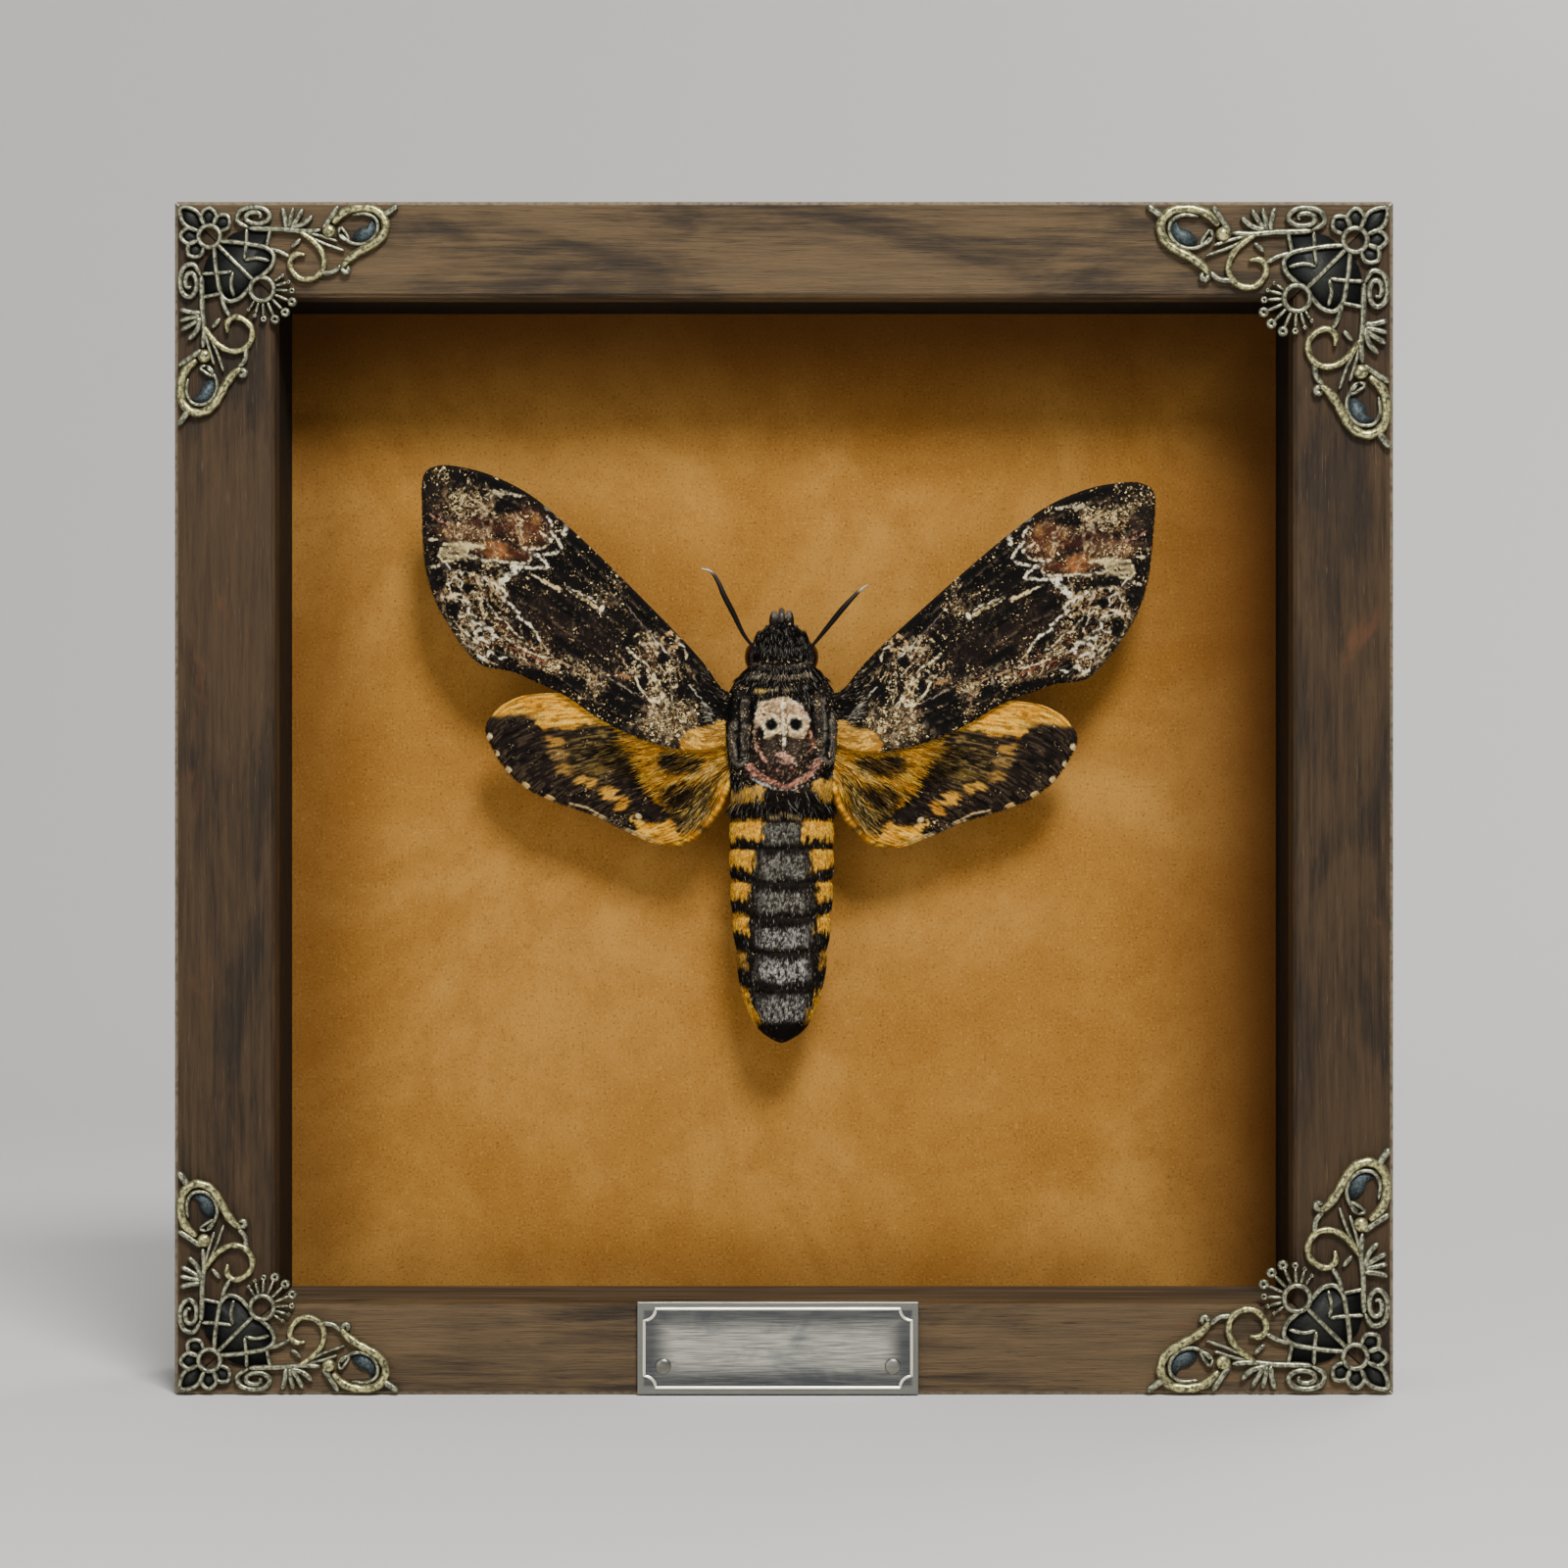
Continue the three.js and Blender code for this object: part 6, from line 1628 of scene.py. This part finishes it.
def build_thorax_coat():
    """Hair of the thorax: shortest over the skull mark and longest over the waist."""
    z, angle, points, normals, pick = body_roots(*THORAX_COAT)
    lie = DOWN + pick.normal(0, 0.22, (len(z), 3))
    lie[:, 0] += 0.14 * np.sign(points[:, 0])
    rear = smoothstep(-7.5, -11.5, z)
    skull = area_mask(*to_pixels(points[:, 0], z), MARK_AREA, 3) * (points[:, 1] < 0)
    shoulder = smoothstep(5.2, 6.2, np.abs(points[:, 0])) * (points[:, 1] < -1) * smoothstep(-8, -6, z)
    length = THORAX_LENGTH + rear * WAIST_LONGER - skull * SKULL_SHORTER
    length = length - SHOULDER_SHORTER * shoulder * (1 - skull)
    length = length * pick.uniform(0.7, 1.25, len(z))
    lift = 0.12 + 0.14 * (1 - skull) + pick.normal(0, 0.05, len(z)) * (1 - 0.6 * skull)
    tint = jittered(body_tint(points + DOWN * length[:, None] * COLOUR_AHEAD), pick, 0.25)
    width = pick.uniform(0.1, 0.2, len(z)) * (1 - 0.3 * skull)
    grow_coat("thorax_hair", "body_fur", points, normals, lie, length, width, lift, tint,
              body_uv(z, angle), 1.15)


def build_head_coat():
    """Hair of the head, clear of the eyes and longer on the cheeks."""
    z, angle, points, normals, pick = body_roots(*HEAD_COAT)
    tint = jittered(body_tint(points), pick, 0.25)
    keep = np.ones(len(z), bool)
    for sign in SIDES.values():
        away = (points - np.array(EYE["centre"]) * (sign, 1, 1)) / (np.array(EYE["radii"]) + 0.1)
        keep &= np.sum(away ** 2, axis=1) >= 1
    lie = np.where((z > FORWARD_FROM)[:, None], FORWARD, DOWN) + pick.normal(0, 0.28, (len(z), 3))
    cheek = smoothstep(2.5, 5, np.abs(points[:, 0])) * smoothstep(17, 15, z)
    length = pick.uniform(0.7, 1.5, len(z)) + 0.5 * cheek
    lift = 0.22 + pick.normal(0, 0.07, len(z))
    width = pick.uniform(0.09, 0.17, keep.sum())
    grow_coat("head_hair", "body_fur", points[keep], normals[keep], lie[keep], length[keep], width,
              lift[keep], tint[keep], body_uv(z, angle)[keep], 1.1)


def build_abdomen_coat(part):
    """Hair of one half of the abdomen: long next to the thorax and short at the tip."""
    z, angle, points, normals, pick = body_roots(*ABDOMEN_COATS[part])
    lie = DOWN + pick.normal(0, 0.16, (len(z), 3))
    first = smoothstep(-15.5, -11.5, z)
    tip = smoothstep(-47.5, -51, z)
    length = (1.0 + first * 1.1) * (1 - 0.72 * tip) * pick.uniform(0.75, 1.2, len(z))
    lift = 0.13 + first * 0.08 + pick.normal(0, 0.04, len(z))
    tint = jittered(body_tint(points + DOWN * length[:, None] * COLOUR_AHEAD), pick, 0.22)
    width = pick.uniform(0.13, 0.26, len(z))
    grow_coat(f"abdomen_{part}_hair", "abdomen_fur", points, normals, lie, length, width, lift, tint,
              body_uv(z, angle), 1.1)


# Wings: four edges make a patch. u runs from root to margin, v from the front edge to the rear edge.
# A vein has its place across the wing, and its start and end along it. The grid is the number of steps
# along and across. The hair at the base has its count, its limits of u and v, its tint, length, width
# and lift. The fringe has its lengths.
FOREWING = {
    "name": "forewing",
    "level": FOREWING_Y,
    "drop": FOREWING_DROP,
    "tint": forewing_tint,
    "under": (120, 92, 52),
    "front": [(757, 712), (738, 704), (720, 680), (700, 657), (661, 617), (621, 577), (580, 538),
              (540, 505), (500, 485), (470, 477), (450, 475), (438, 478)],
    "margin": [(438, 478), (432, 487), (431, 520), (434, 575), (443, 609), (457, 636), (473, 660),
               (488, 676), (495, 680)],
    "rear": [(757, 749), (722, 765), (679, 760), (640, 747), (609, 731), (578, 710), (542, 693),
             (520, 684), (495, 680)],
    "veins": [(0.07, 0, 0.8), (0.17, 0, 1), (0.28, 0.4, 1), (0.4, 0.45, 1), (0.52, 0.45, 1), (0.64, 0.4, 1),
              (0.75, 0, 1), (0.87, 0, 1)],
    "grid": (376, 224),
    "hair": {"count": 2300, "u": (0.03, 0.13), "v": (0.02, 0.98), "tint": base_tint,
             "length": 1.2, "width": 0.14, "lift": 0.12},
    "fringe": {"margin": 0.55, "rear": 0.55},
}
HINDWING = {
    "name": "hindwing",
    "level": HINDWING_Y,
    "drop": HINDWING_DROP,
    "tint": hindwing_tint,
    "under": (190, 148, 70),
    "front": [(757, 735), (701, 719), (639, 709), (578, 707), (550, 708), (530, 711), (511, 720),
              (498, 733)],
    "margin": [(498, 733), (496, 745), (501, 759), (519, 787), (541, 805), (570, 818), (610, 832),
               (640, 847), (669, 860), (678, 862)],
    "rear": [(757, 778), (741, 796), (730, 820), (714, 842), (697, 856), (678, 862)],
    "veins": [(0.12, 0, 1), (0.27, 0.35, 1), (0.4, 0.35, 1), (0.53, 0.35, 1), (0.66, 0.3, 1), (0.79, 0, 1),
              (0.9, 0, 1)],
    "grid": (220, 152),
    "hair": {"count": 5200, "u": (0.08, 0.62), "v": (0.3, 0.99), "tint": strand_tint,
             "length": 2.6, "width": 0.17, "lift": 0.2},
    "fringe": {"margin": 0.7, "rear": 1.5},
}
# The far face has one step for so many of the near face
COARSE = 4
FRINGE_COUNTS = {"margin": 1500, "rear": 1300}
WING_SEEDS = {"left": 200, "right": 300}
EDGE_POINTS = 400
VIEWER = np.array([0, -1.0, 0])
# How far a wing rises between root and tip, and droops at its tip and its rear edge
WING_ARCH = 1.1
TIP_DROOP = 1.3
REAR_DROOP = 0.7
# How much thinner a wing is at its margin, and where along it that begins
MARGIN_THINNING = 0.55
THINNING_FROM = 0.9
# The height and half width of veins, and the height and size of the ripple between them
VEIN_HEIGHT = 0.2
VEIN_WIDTH = 0.28
RIPPLE_HEIGHT = 0.1
RIPPLE_SIZE = 2.4
# The share of its own marks that shows on a wing's far face
FAR_MARKS = 0.4
# Where the fringe grows across or along a wing, and how far inside that its direction is taken from
RIM = 0.995
RIM_STEP = 0.03


def pixels_to_plan(points):
    """Photo pixels as places (x, z) in the moth's frame."""
    return (np.array(points, float) - (AXIS_PIXEL, THORAX_PIXEL)) * (PIXEL, -PIXEL)


def wing_plan(wing, u, v):
    """Plan places (x, z) on the left wing for shares u and v."""
    shares = np.linspace(0, 1, EDGE_POINTS)
    places = {}
    for name, share in (("front", u), ("margin", v), ("rear", u)):
        edge = smooth_line(pixels_to_plan(wing[name]), EDGE_POINTS)
        places[name] = np.stack([np.interp(share, shares, edge[:, k]) for k in (0, 1)], axis=-1)
        places[name + "_ends"] = (edge[0], edge[-1])
    a, b = places["front_ends"][0], places["rear_ends"][0]
    c, d = places["margin_ends"]
    u, v = u[..., None], v[..., None]
    root = a + (b - a) * v
    corners = (1 - u) * ((1 - v) * a + v * b) + u * ((1 - v) * c + v * d)
    return (1 - v) * places["front"] + v * places["rear"] + (1 - u) * root + u * places["margin"] - corners


def wing_rise(u, v):
    """How far a wing stands up towards the viewer: it rises from its root and droops at its edges."""
    return WING_ARCH * np.sin(np.pi * u) - TIP_DROOP * u * u - REAR_DROOP * v * v * u


def vein_height(wing, u, v, plan):
    """How far the near face stands up over its veins, with a fine ripple between them."""
    height = np.zeros(u.shape)
    for at, start, end in wing["veins"]:
        here = smoothstep(end + 0.02, end - 0.03, u)
        if start > 0:
            here = here * smoothstep(start - 0.03, start + 0.05, u)
        height = np.maximum(height, np.exp(-(vein_gap(at, u, v) / VEIN_WIDTH) ** 2) * here)
    ripple = cloud(plan.T, RIPPLE_SIZE, 131, 2) - 0.5
    return VEIN_HEIGHT * height + RIPPLE_HEIGHT * ripple


def on_wing(wing, side, u, v, face=1):
    """Places in the moth's frame on a wing's face: 1 is the side that faces the viewer, -1 the other."""
    plan = wing_plan(wing, u, v)
    raised = vein_height(wing, u, v, plan)
    thick = WING_THICKNESS * (1 - MARGIN_THINNING * smoothstep(THINNING_FROM, 1.0, u))
    y = wing["level"] - wing_rise(u, v) - face * thick / 2 - (raised if face > 0 else 0)
    sign = SIDES[side]
    angle = math.radians(-sign * wing["drop"][side])
    pivot = THORAX_HALF_WIDTH * sign
    x, z = -sign * plan[:, 0] - pivot, plan[:, 1]
    turned_x = pivot + x * math.cos(angle) - z * math.sin(angle)
    turned_z = x * math.sin(angle) + z * math.cos(angle)
    return np.stack([turned_x, y, turned_z], axis=1), plan


def grid_faces(rows, columns, start=0):
    """Faces of a flat grid of points, numbered from start."""
    i, j = np.meshgrid(np.arange(rows - 1), np.arange(columns - 1), indexing="ij")
    a = start + i * columns + j
    return np.stack([a, a + columns, a + columns + 1, a + 1], axis=-1).reshape(-1, 4)


def stitch(fine, coarse):
    """Triangles between a fine edge and a coarse one that has every fourth point."""
    tris = []
    for i in range(len(coarse) - 1):
        for j in range(COARSE):
            near = coarse[i] if j < COARSE // 2 else coarse[i + 1]
            tris.append([fine[i * COARSE + j], fine[i * COARSE + j + 1], near])
        tris.append([fine[i * COARSE + COARSE // 2], coarse[i + 1], coarse[i]])
    return tris


def wing_grid(wing, side, steps_u, steps_v, face):
    """Points, tint and corner numbers of one face of a wing."""
    u, v = np.meshgrid(np.linspace(0, 1, steps_u + 1), np.linspace(0, 1, steps_v + 1), indexing="ij")
    u, v = u.ravel(), v.ravel()
    points, plan = on_wing(wing, side, u, v, face)
    tint = wing["tint"](plan[:, 0], plan[:, 1], u, v)
    return points, tint, np.arange(len(points)).reshape(steps_u + 1, steps_v + 1)


def build_wing(wing, side):
    """A wing's skin: a fine near face with its marks and a coarser, paler far face."""
    steps = wing["grid"]
    coarse = [count // COARSE for count in steps]
    near, tint, index = wing_grid(wing, side, *steps, 1)
    far, far_tint, far_index = wing_grid(wing, side, *coarse, -1)
    far_index = far_index + len(near)
    far_tint[:, :3] = far_tint[:, :3] * FAR_MARKS + np.array(wing["under"]) * (1 - FAR_MARKS)
    far_tint[:, 3] *= 0.5
    tris = []
    for edge in (np.s_[0], np.s_[-1], np.s_[:, 0], np.s_[:, -1]):
        tris += stitch(index[edge], far_index[edge])
    quads = np.vstack([grid_faces(*index.shape), grid_faces(*far_index.shape, len(near))])
    pile = Pile(MOTH_PLACE)
    pile.add(np.vstack([near, far]), quads, np.array(tris), np.vstack([tint, far_tint]))
    name = wing["name"]
    pile.build(f"{name}_skin_{side}", wing_look, [f"{name}_{side}"], fix_normals=True)


def wing_hair(wing, side, seed):
    """Hair on a wing's near face, lying along the wing from its root."""
    hairs = wing["hair"]
    count = hairs["count"]
    pick = np.random.default_rng(seed)
    u = pick.uniform(*hairs["u"], count)
    v = pick.uniform(*hairs["v"], count)
    points, plan = on_wing(wing, side, u, v)
    ahead, _ = on_wing(wing, side, np.minimum(u + 0.02, 1), v)
    behind, _ = on_wing(wing, side, np.maximum(u - 0.02, 0), v)
    lie = unit(ahead - behind) + pick.normal(0, 0.14, (count, 3))
    tint = hairs["tint"](plan[:, 0], plan[:, 1], u, v)
    length = hairs["length"] * pick.uniform(0.7, 1.3, count)
    width = hairs["width"] * pick.uniform(0.7, 1.3, count)
    lift = hairs["lift"] + pick.normal(0, 0.06, count)
    name = wing["name"]
    normals = np.tile(VIEWER, (count, 1))
    grow_coat(f"{name}_base_hair_{side}", name + "_scales", points, normals, lie, length, width, lift,
              jittered(tint, pick, 0.2), unwrap(u, v, 0.95), 1.15, stations=2)


def wing_fringe(wing, side, edge, seed):
    """Fine scales that stand out past a wing's margin or rear edge."""
    count = FRINGE_COUNTS[edge]
    pick = np.random.default_rng(seed)
    share, rim = pick.uniform(0.01, RIM, count), np.full(count, RIM)
    u, v = (rim, share) if edge == "margin" else (share, rim)
    back_u, back_v = (RIM_STEP, 0) if edge == "margin" else (0, RIM_STEP)
    points, plan = on_wing(wing, side, u, v)
    points[:, 1] += WING_THICKNESS * 0.25
    inner, _ = on_wing(wing, side, u - back_u, v - back_v)
    lie = unit(points - inner) * (1, 0.2, 1) + pick.normal(0, 0.13, (count, 3))
    tint = wing["tint"](plan[:, 0], plan[:, 1], u, v)
    length = wing["fringe"][edge] * pick.uniform(0.6, 1.2, count)
    width = pick.uniform(0.1, 0.18, count)
    name = wing["name"]
    normals = np.tile(VIEWER, (count, 1))
    grow_coat(f"{name}_{edge}_fringe_{side}", name + "_scales", points, normals, lie, length, width, 0.0,
              jittered(tint, pick, 0.2), unwrap(u, v, 0.95))


def build_wings():
    """Both pairs of wings, with the hair at their bases and the fringes of their edges."""
    for side, seed in WING_SEEDS.items():
        build_wing(FOREWING, side)
        build_wing(HINDWING, side)
        wing_hair(HINDWING, side, seed)
        wing_hair(FOREWING, side, seed + 1)
        for edge in FRINGE_COUNTS:
            wing_fringe(FOREWING, side, edge, seed + 2)
            wing_fringe(HINDWING, side, edge, seed + 3)


# Eyes, palps, feelers, tongue and legs

# Feelers: places (x, z) from head to tip, and shares of the radius along them
ANTENNAE = {
    "left": [(-3.9, 12.9), (-6.2, 15.7), (-8, 19.3), (-9.6, 22.4), (-10.7, 24.9), (-11.8, 26.4),
             (-13.4, 26.9)],
    "right": [(4.1, 12.9), (5.7, 14.7), (7.9, 17.4), (10.1, 20.1), (12.1, 22.3), (13.3, 23.5),
              (14.3, 24.2)],
}
ANTENNA_SHAPE = [0.5, 0.62, 0.85, 1, 0.95, 0.7, 0.25]
FEELER_RINGS = 130
FEELER_RADIUS = 0.5
# The first place's y and each next one's step towards the viewer, and the depth and number of the ridges
FEELER_Y = -4
FEELER_STEP = 0.12
RIDGE_DEPTH = 0.09
RIDGE_TURNS = 320
# The corners of a feeler's rings that carry a painted highlight along its inner side, and those pale at its
# tip
HIGHLIGHT_CORNERS = {"left": (1, 2, 3), "right": (3, 4, 5)}
TIP_CORNERS = (1, 2, 3, 4)
LEG_BROWN = np.array([48, 34, 24, 0])
TONGUE_GREY = np.array([72, 65, 60, 0])
EYE_RED = np.array([30, 11, 9, 0])
LIMB_SIDES = 12
LEG_RINGS = 70
TONGUE_RINGS = 60
# Joints of a leg: their places along it, and how long and how deep they are
LEG_JOINTS = (0.32, 0.66, 0.76, 0.85, 0.93)
JOINT_LENGTH = 0.018
JOINT_DEPTH = 0.14
PALP = {"centre": (1.25, 0.6, 18.2), "radii": (0.85, 1.75, 1.95)}
PROBOSCIS = [(0, 1.6, 16.5), (0, 1.2, 19.4), (0, 2.9, 20.2), (0, 4.7, 19.2), (0, 5.2, 17.2)]
PROBOSCIS_RADII = [0.62, 0.6, 0.55, 0.5, 0.4]
# Legs: points from body to foot, and the radii at them
LEGS = {
    "fore": ([(2.2, 6.2, 6), (3, 8.9, 9.5), (3.1, 9.6, 13.5), (2.4, 9.8, 18)], [0.8, 0.8, 0.6, 0.35]),
    "mid": ([(3.6, 6, 0.5), (7.2, 8.6, 4.2), (8.4, 9.4, -2.5), (7.6, 10, -13)], [0.85, 0.85, 0.65, 0.35]),
    "hind": ([(2.6, 6.2, -4.8), (4.9, 9.2, -2.6), (5.6, 9.9, -11), (4.8, 10.3, -24)],
             [0.85, 0.85, 0.65, 0.35]),
}


def build_part(name, look, node, mesh, tint):
    """One hard part of the moth in place of its solid."""
    pile = Pile(MOTH_PLACE)
    pile.add(*mesh, tint)
    pile.build(name, look, [node], fix_normals=True)


def build_feeler(side):
    """A ringed feeler, with a painted highlight along its inner side and pale at its hooked tip."""
    places = [(x, FEELER_Y - i * FEELER_STEP, z) for i, (x, z) in enumerate(ANTENNAE[side])]
    line = smooth_line(places, FEELER_RINGS)
    t = np.linspace(0, 1, FEELER_RINGS)
    radius = FEELER_RADIUS * np.interp(t, np.linspace(0, 1, len(ANTENNA_SHAPE)), ANTENNA_SHAPE)
    radius = radius * (1 + RIDGE_DEPTH * np.sin(t * RIDGE_TURNS))
    mesh = sweep(line, radius * 0.95, radius, LIMB_SIDES)
    tint = ground(len(mesh[0]), (11, 9, 8))
    share = np.concatenate([np.repeat(t, LIMB_SIDES), [0, 1]])
    corner = np.concatenate([np.tile(np.arange(LIMB_SIDES), FEELER_RINGS), [3, 3]])
    painted_highlight = np.isin(corner, HIGHLIGHT_CORNERS[side])
    # A painted highlight along the inner side
    paint(tint, (92, 88, 80), painted_highlight * 0.6 * smoothstep(0.5, 0.9, share))
    paint(tint, (196, 190, 172), smoothstep(0.84, 0.93, share) * np.isin(corner, TIP_CORNERS))
    build_part("feeler_" + side, feeler_look, "antenna_" + side, mesh, tint)


def build_eye(side):
    """An eye, a little smaller than its solid."""
    centre = np.array(EYE["centre"]) * (SIDES[side], 1, 1)
    mesh = ball_points(centre, np.array(EYE["radii"]) * 0.985, 26, 40)
    build_part("eye_ball_" + side, eye_look, "eye_" + side, mesh, EYE_RED)


def build_palp(side):
    """A palp, with a painted highlight at the tip of its inner side."""
    mesh = ball_points(np.array(PALP["centre"]) * (SIDES[side], 1, 1), PALP["radii"], 20, 28)
    x, _, z = mesh[0].T
    tint = ground(len(x), (32, 27, 24), 0.3)
    # Painted highlight: a pale tip on the inner side
    paint(tint, (106, 98, 91), smoothstep(18.2, 19.4, z) * (np.abs(x) < 1.6), 0.3)
    build_part("palp_skin_" + side, body_look, "palp_" + side, mesh, tint)


def build_leg(pair, side):
    """A leg, narrowed at its joints."""
    stations, radii = LEGS[pair]
    line = smooth_line(np.array(stations) * (SIDES[side], 1, 1), LEG_RINGS)
    t = np.linspace(0, 1, LEG_RINGS)
    joints = sum(np.exp(-((t - at) / JOINT_LENGTH) ** 2) for at in LEG_JOINTS)
    radius = np.interp(t, np.linspace(0, 1, len(radii)), radii) * 0.95 * (1 - JOINT_DEPTH * joints)
    mesh = sweep(line, radius, radius, LIMB_SIDES, up=(0, 1, 0))
    build_part(f"leg_{pair}_limb_{side}", shell_look, f"leg_{pair}_{side}", mesh, LEG_BROWN)


def build_tongue():
    """The coiled tongue between the palps."""
    line = smooth_line(PROBOSCIS, TONGUE_RINGS)
    stations = np.linspace(0, 1, len(PROBOSCIS_RADII))
    radius = np.interp(np.linspace(0, 1, TONGUE_RINGS), stations, PROBOSCIS_RADII) * 0.96
    mesh = sweep(line, radius, radius, LIMB_SIDES, up=(1, 0, 0))
    build_part("tongue", shell_look, "proboscis", mesh, TONGUE_GREY)


build_corners()
build_mitre_keys()
build_plate()
build_skin()
build_thorax_coat()
build_head_coat()
for part in ABDOMEN_COATS:
    build_abdomen_coat(part)
build_wings()
for side in SIDES:
    build_feeler(side)
    build_eye(side)
    build_palp(side)
    for pair in LEGS:
        build_leg(pair, side)
build_tongue()


# Stage, light and camera

# In metres: the floor's half width, where it starts to turn up, the radius of that bend, where it is
# first drawn, and the top of the wall
FLOOR_HALF = 1.6
BEND_START = 0.55
BEND_RADIUS = 0.35
BEND_FIRST = 0.15
WALL_TOP = 1.7
LIGHT_TARGET = (0, 0, 0.1)
LIGHTS = {
    "key": {"place": (0.16, -0.76, 0.82), "size": 0.3, "watts": 14},
    "fill": {"place": (-0.6, -0.9, 0.3), "size": 0.8, "watts": 3},
    "rim": {"place": (0.5, 0.7, 0.6), "size": 0.5, "watts": 3},
}
AIR_STRENGTH = 0.3
SENSOR_WIDTH = 36
CAMERA_CLIP = (0.01, 20)


def stage_surface():
    """A pale floor that turns up into a wall far behind the frame."""
    profile = [(-FLOOR_HALF, 0.0), (BEND_START, 0.0)]
    for angle in np.linspace(BEND_FIRST, math.pi / 2, 12):
        rise = BEND_RADIUS * (1 - math.cos(angle))
        profile.append((BEND_START + BEND_RADIUS * math.sin(angle), rise))
    profile.append((BEND_START + BEND_RADIUS, WALL_TOP))
    mesh = bpy.data.meshes.new("studio_floor")
    verts = [(x, y, z) for y, z in profile for x in (-FLOOR_HALF, FLOOR_HALF)]
    faces = [(2 * k, 2 * k + 1, 2 * k + 3, 2 * k + 2) for k in range(len(profile) - 1)]
    mesh.from_pydata(verts, [], faces)
    mesh.polygons.foreach_set("use_smooth", np.ones(len(faces), bool))
    floor = bpy.data.objects.new("studio_floor", mesh)
    bpy.context.scene.collection.objects.link(floor)
    look = Material("floor_pale", Roughness=0.8)
    look.colour((0.72, 0.71, 0.69, 1))
    mesh.materials.append(look.material)


def area_light(name, place, size, watts):
    """A round soft light that faces the frame."""
    data = bpy.data.lights.new(name, "AREA")
    data.shape = "DISK"
    data.size = size
    data.energy = watts
    lamp = bpy.data.objects.new(name, data)
    bpy.context.scene.collection.objects.link(lamp)
    lamp.location = place
    aim = np.array(LIGHT_TARGET) - np.array(place)
    lamp.rotation_euler = (math.atan2(math.hypot(aim[0], aim[1]), -aim[2]), 0, math.atan2(-aim[0], aim[1]))


def set_camera():
    """The photo's camera: level, square on, and at the photo's distance."""
    data = bpy.data.cameras.new("photo_camera")
    data.sensor_width = SENSOR_WIDTH
    data.lens = SENSOR_WIDTH * CAMERA_DISTANCE / VIEW_WIDTH
    data.clip_start, data.clip_end = CAMERA_CLIP
    camera = bpy.data.objects.new("photo_camera", data)
    bpy.context.scene.collection.objects.link(camera)
    camera.location = (0, (FRONT_Y - CAMERA_DISTANCE) * MM, CAMERA_HEIGHT * MM)
    camera.rotation_euler = (math.pi / 2, 0, 0)
    bpy.context.scene.camera = camera


stage_surface()
for name, light in LIGHTS.items():
    area_light(name, **light)
world = bpy.data.worlds.new("studio_air")
world.use_nodes = True
air = world.node_tree.nodes["Background"].inputs
air["Color"].default_value = (1, 1, 1, 1)
air["Strength"].default_value = AIR_STRENGTH
bpy.context.scene.world = world
set_camera()
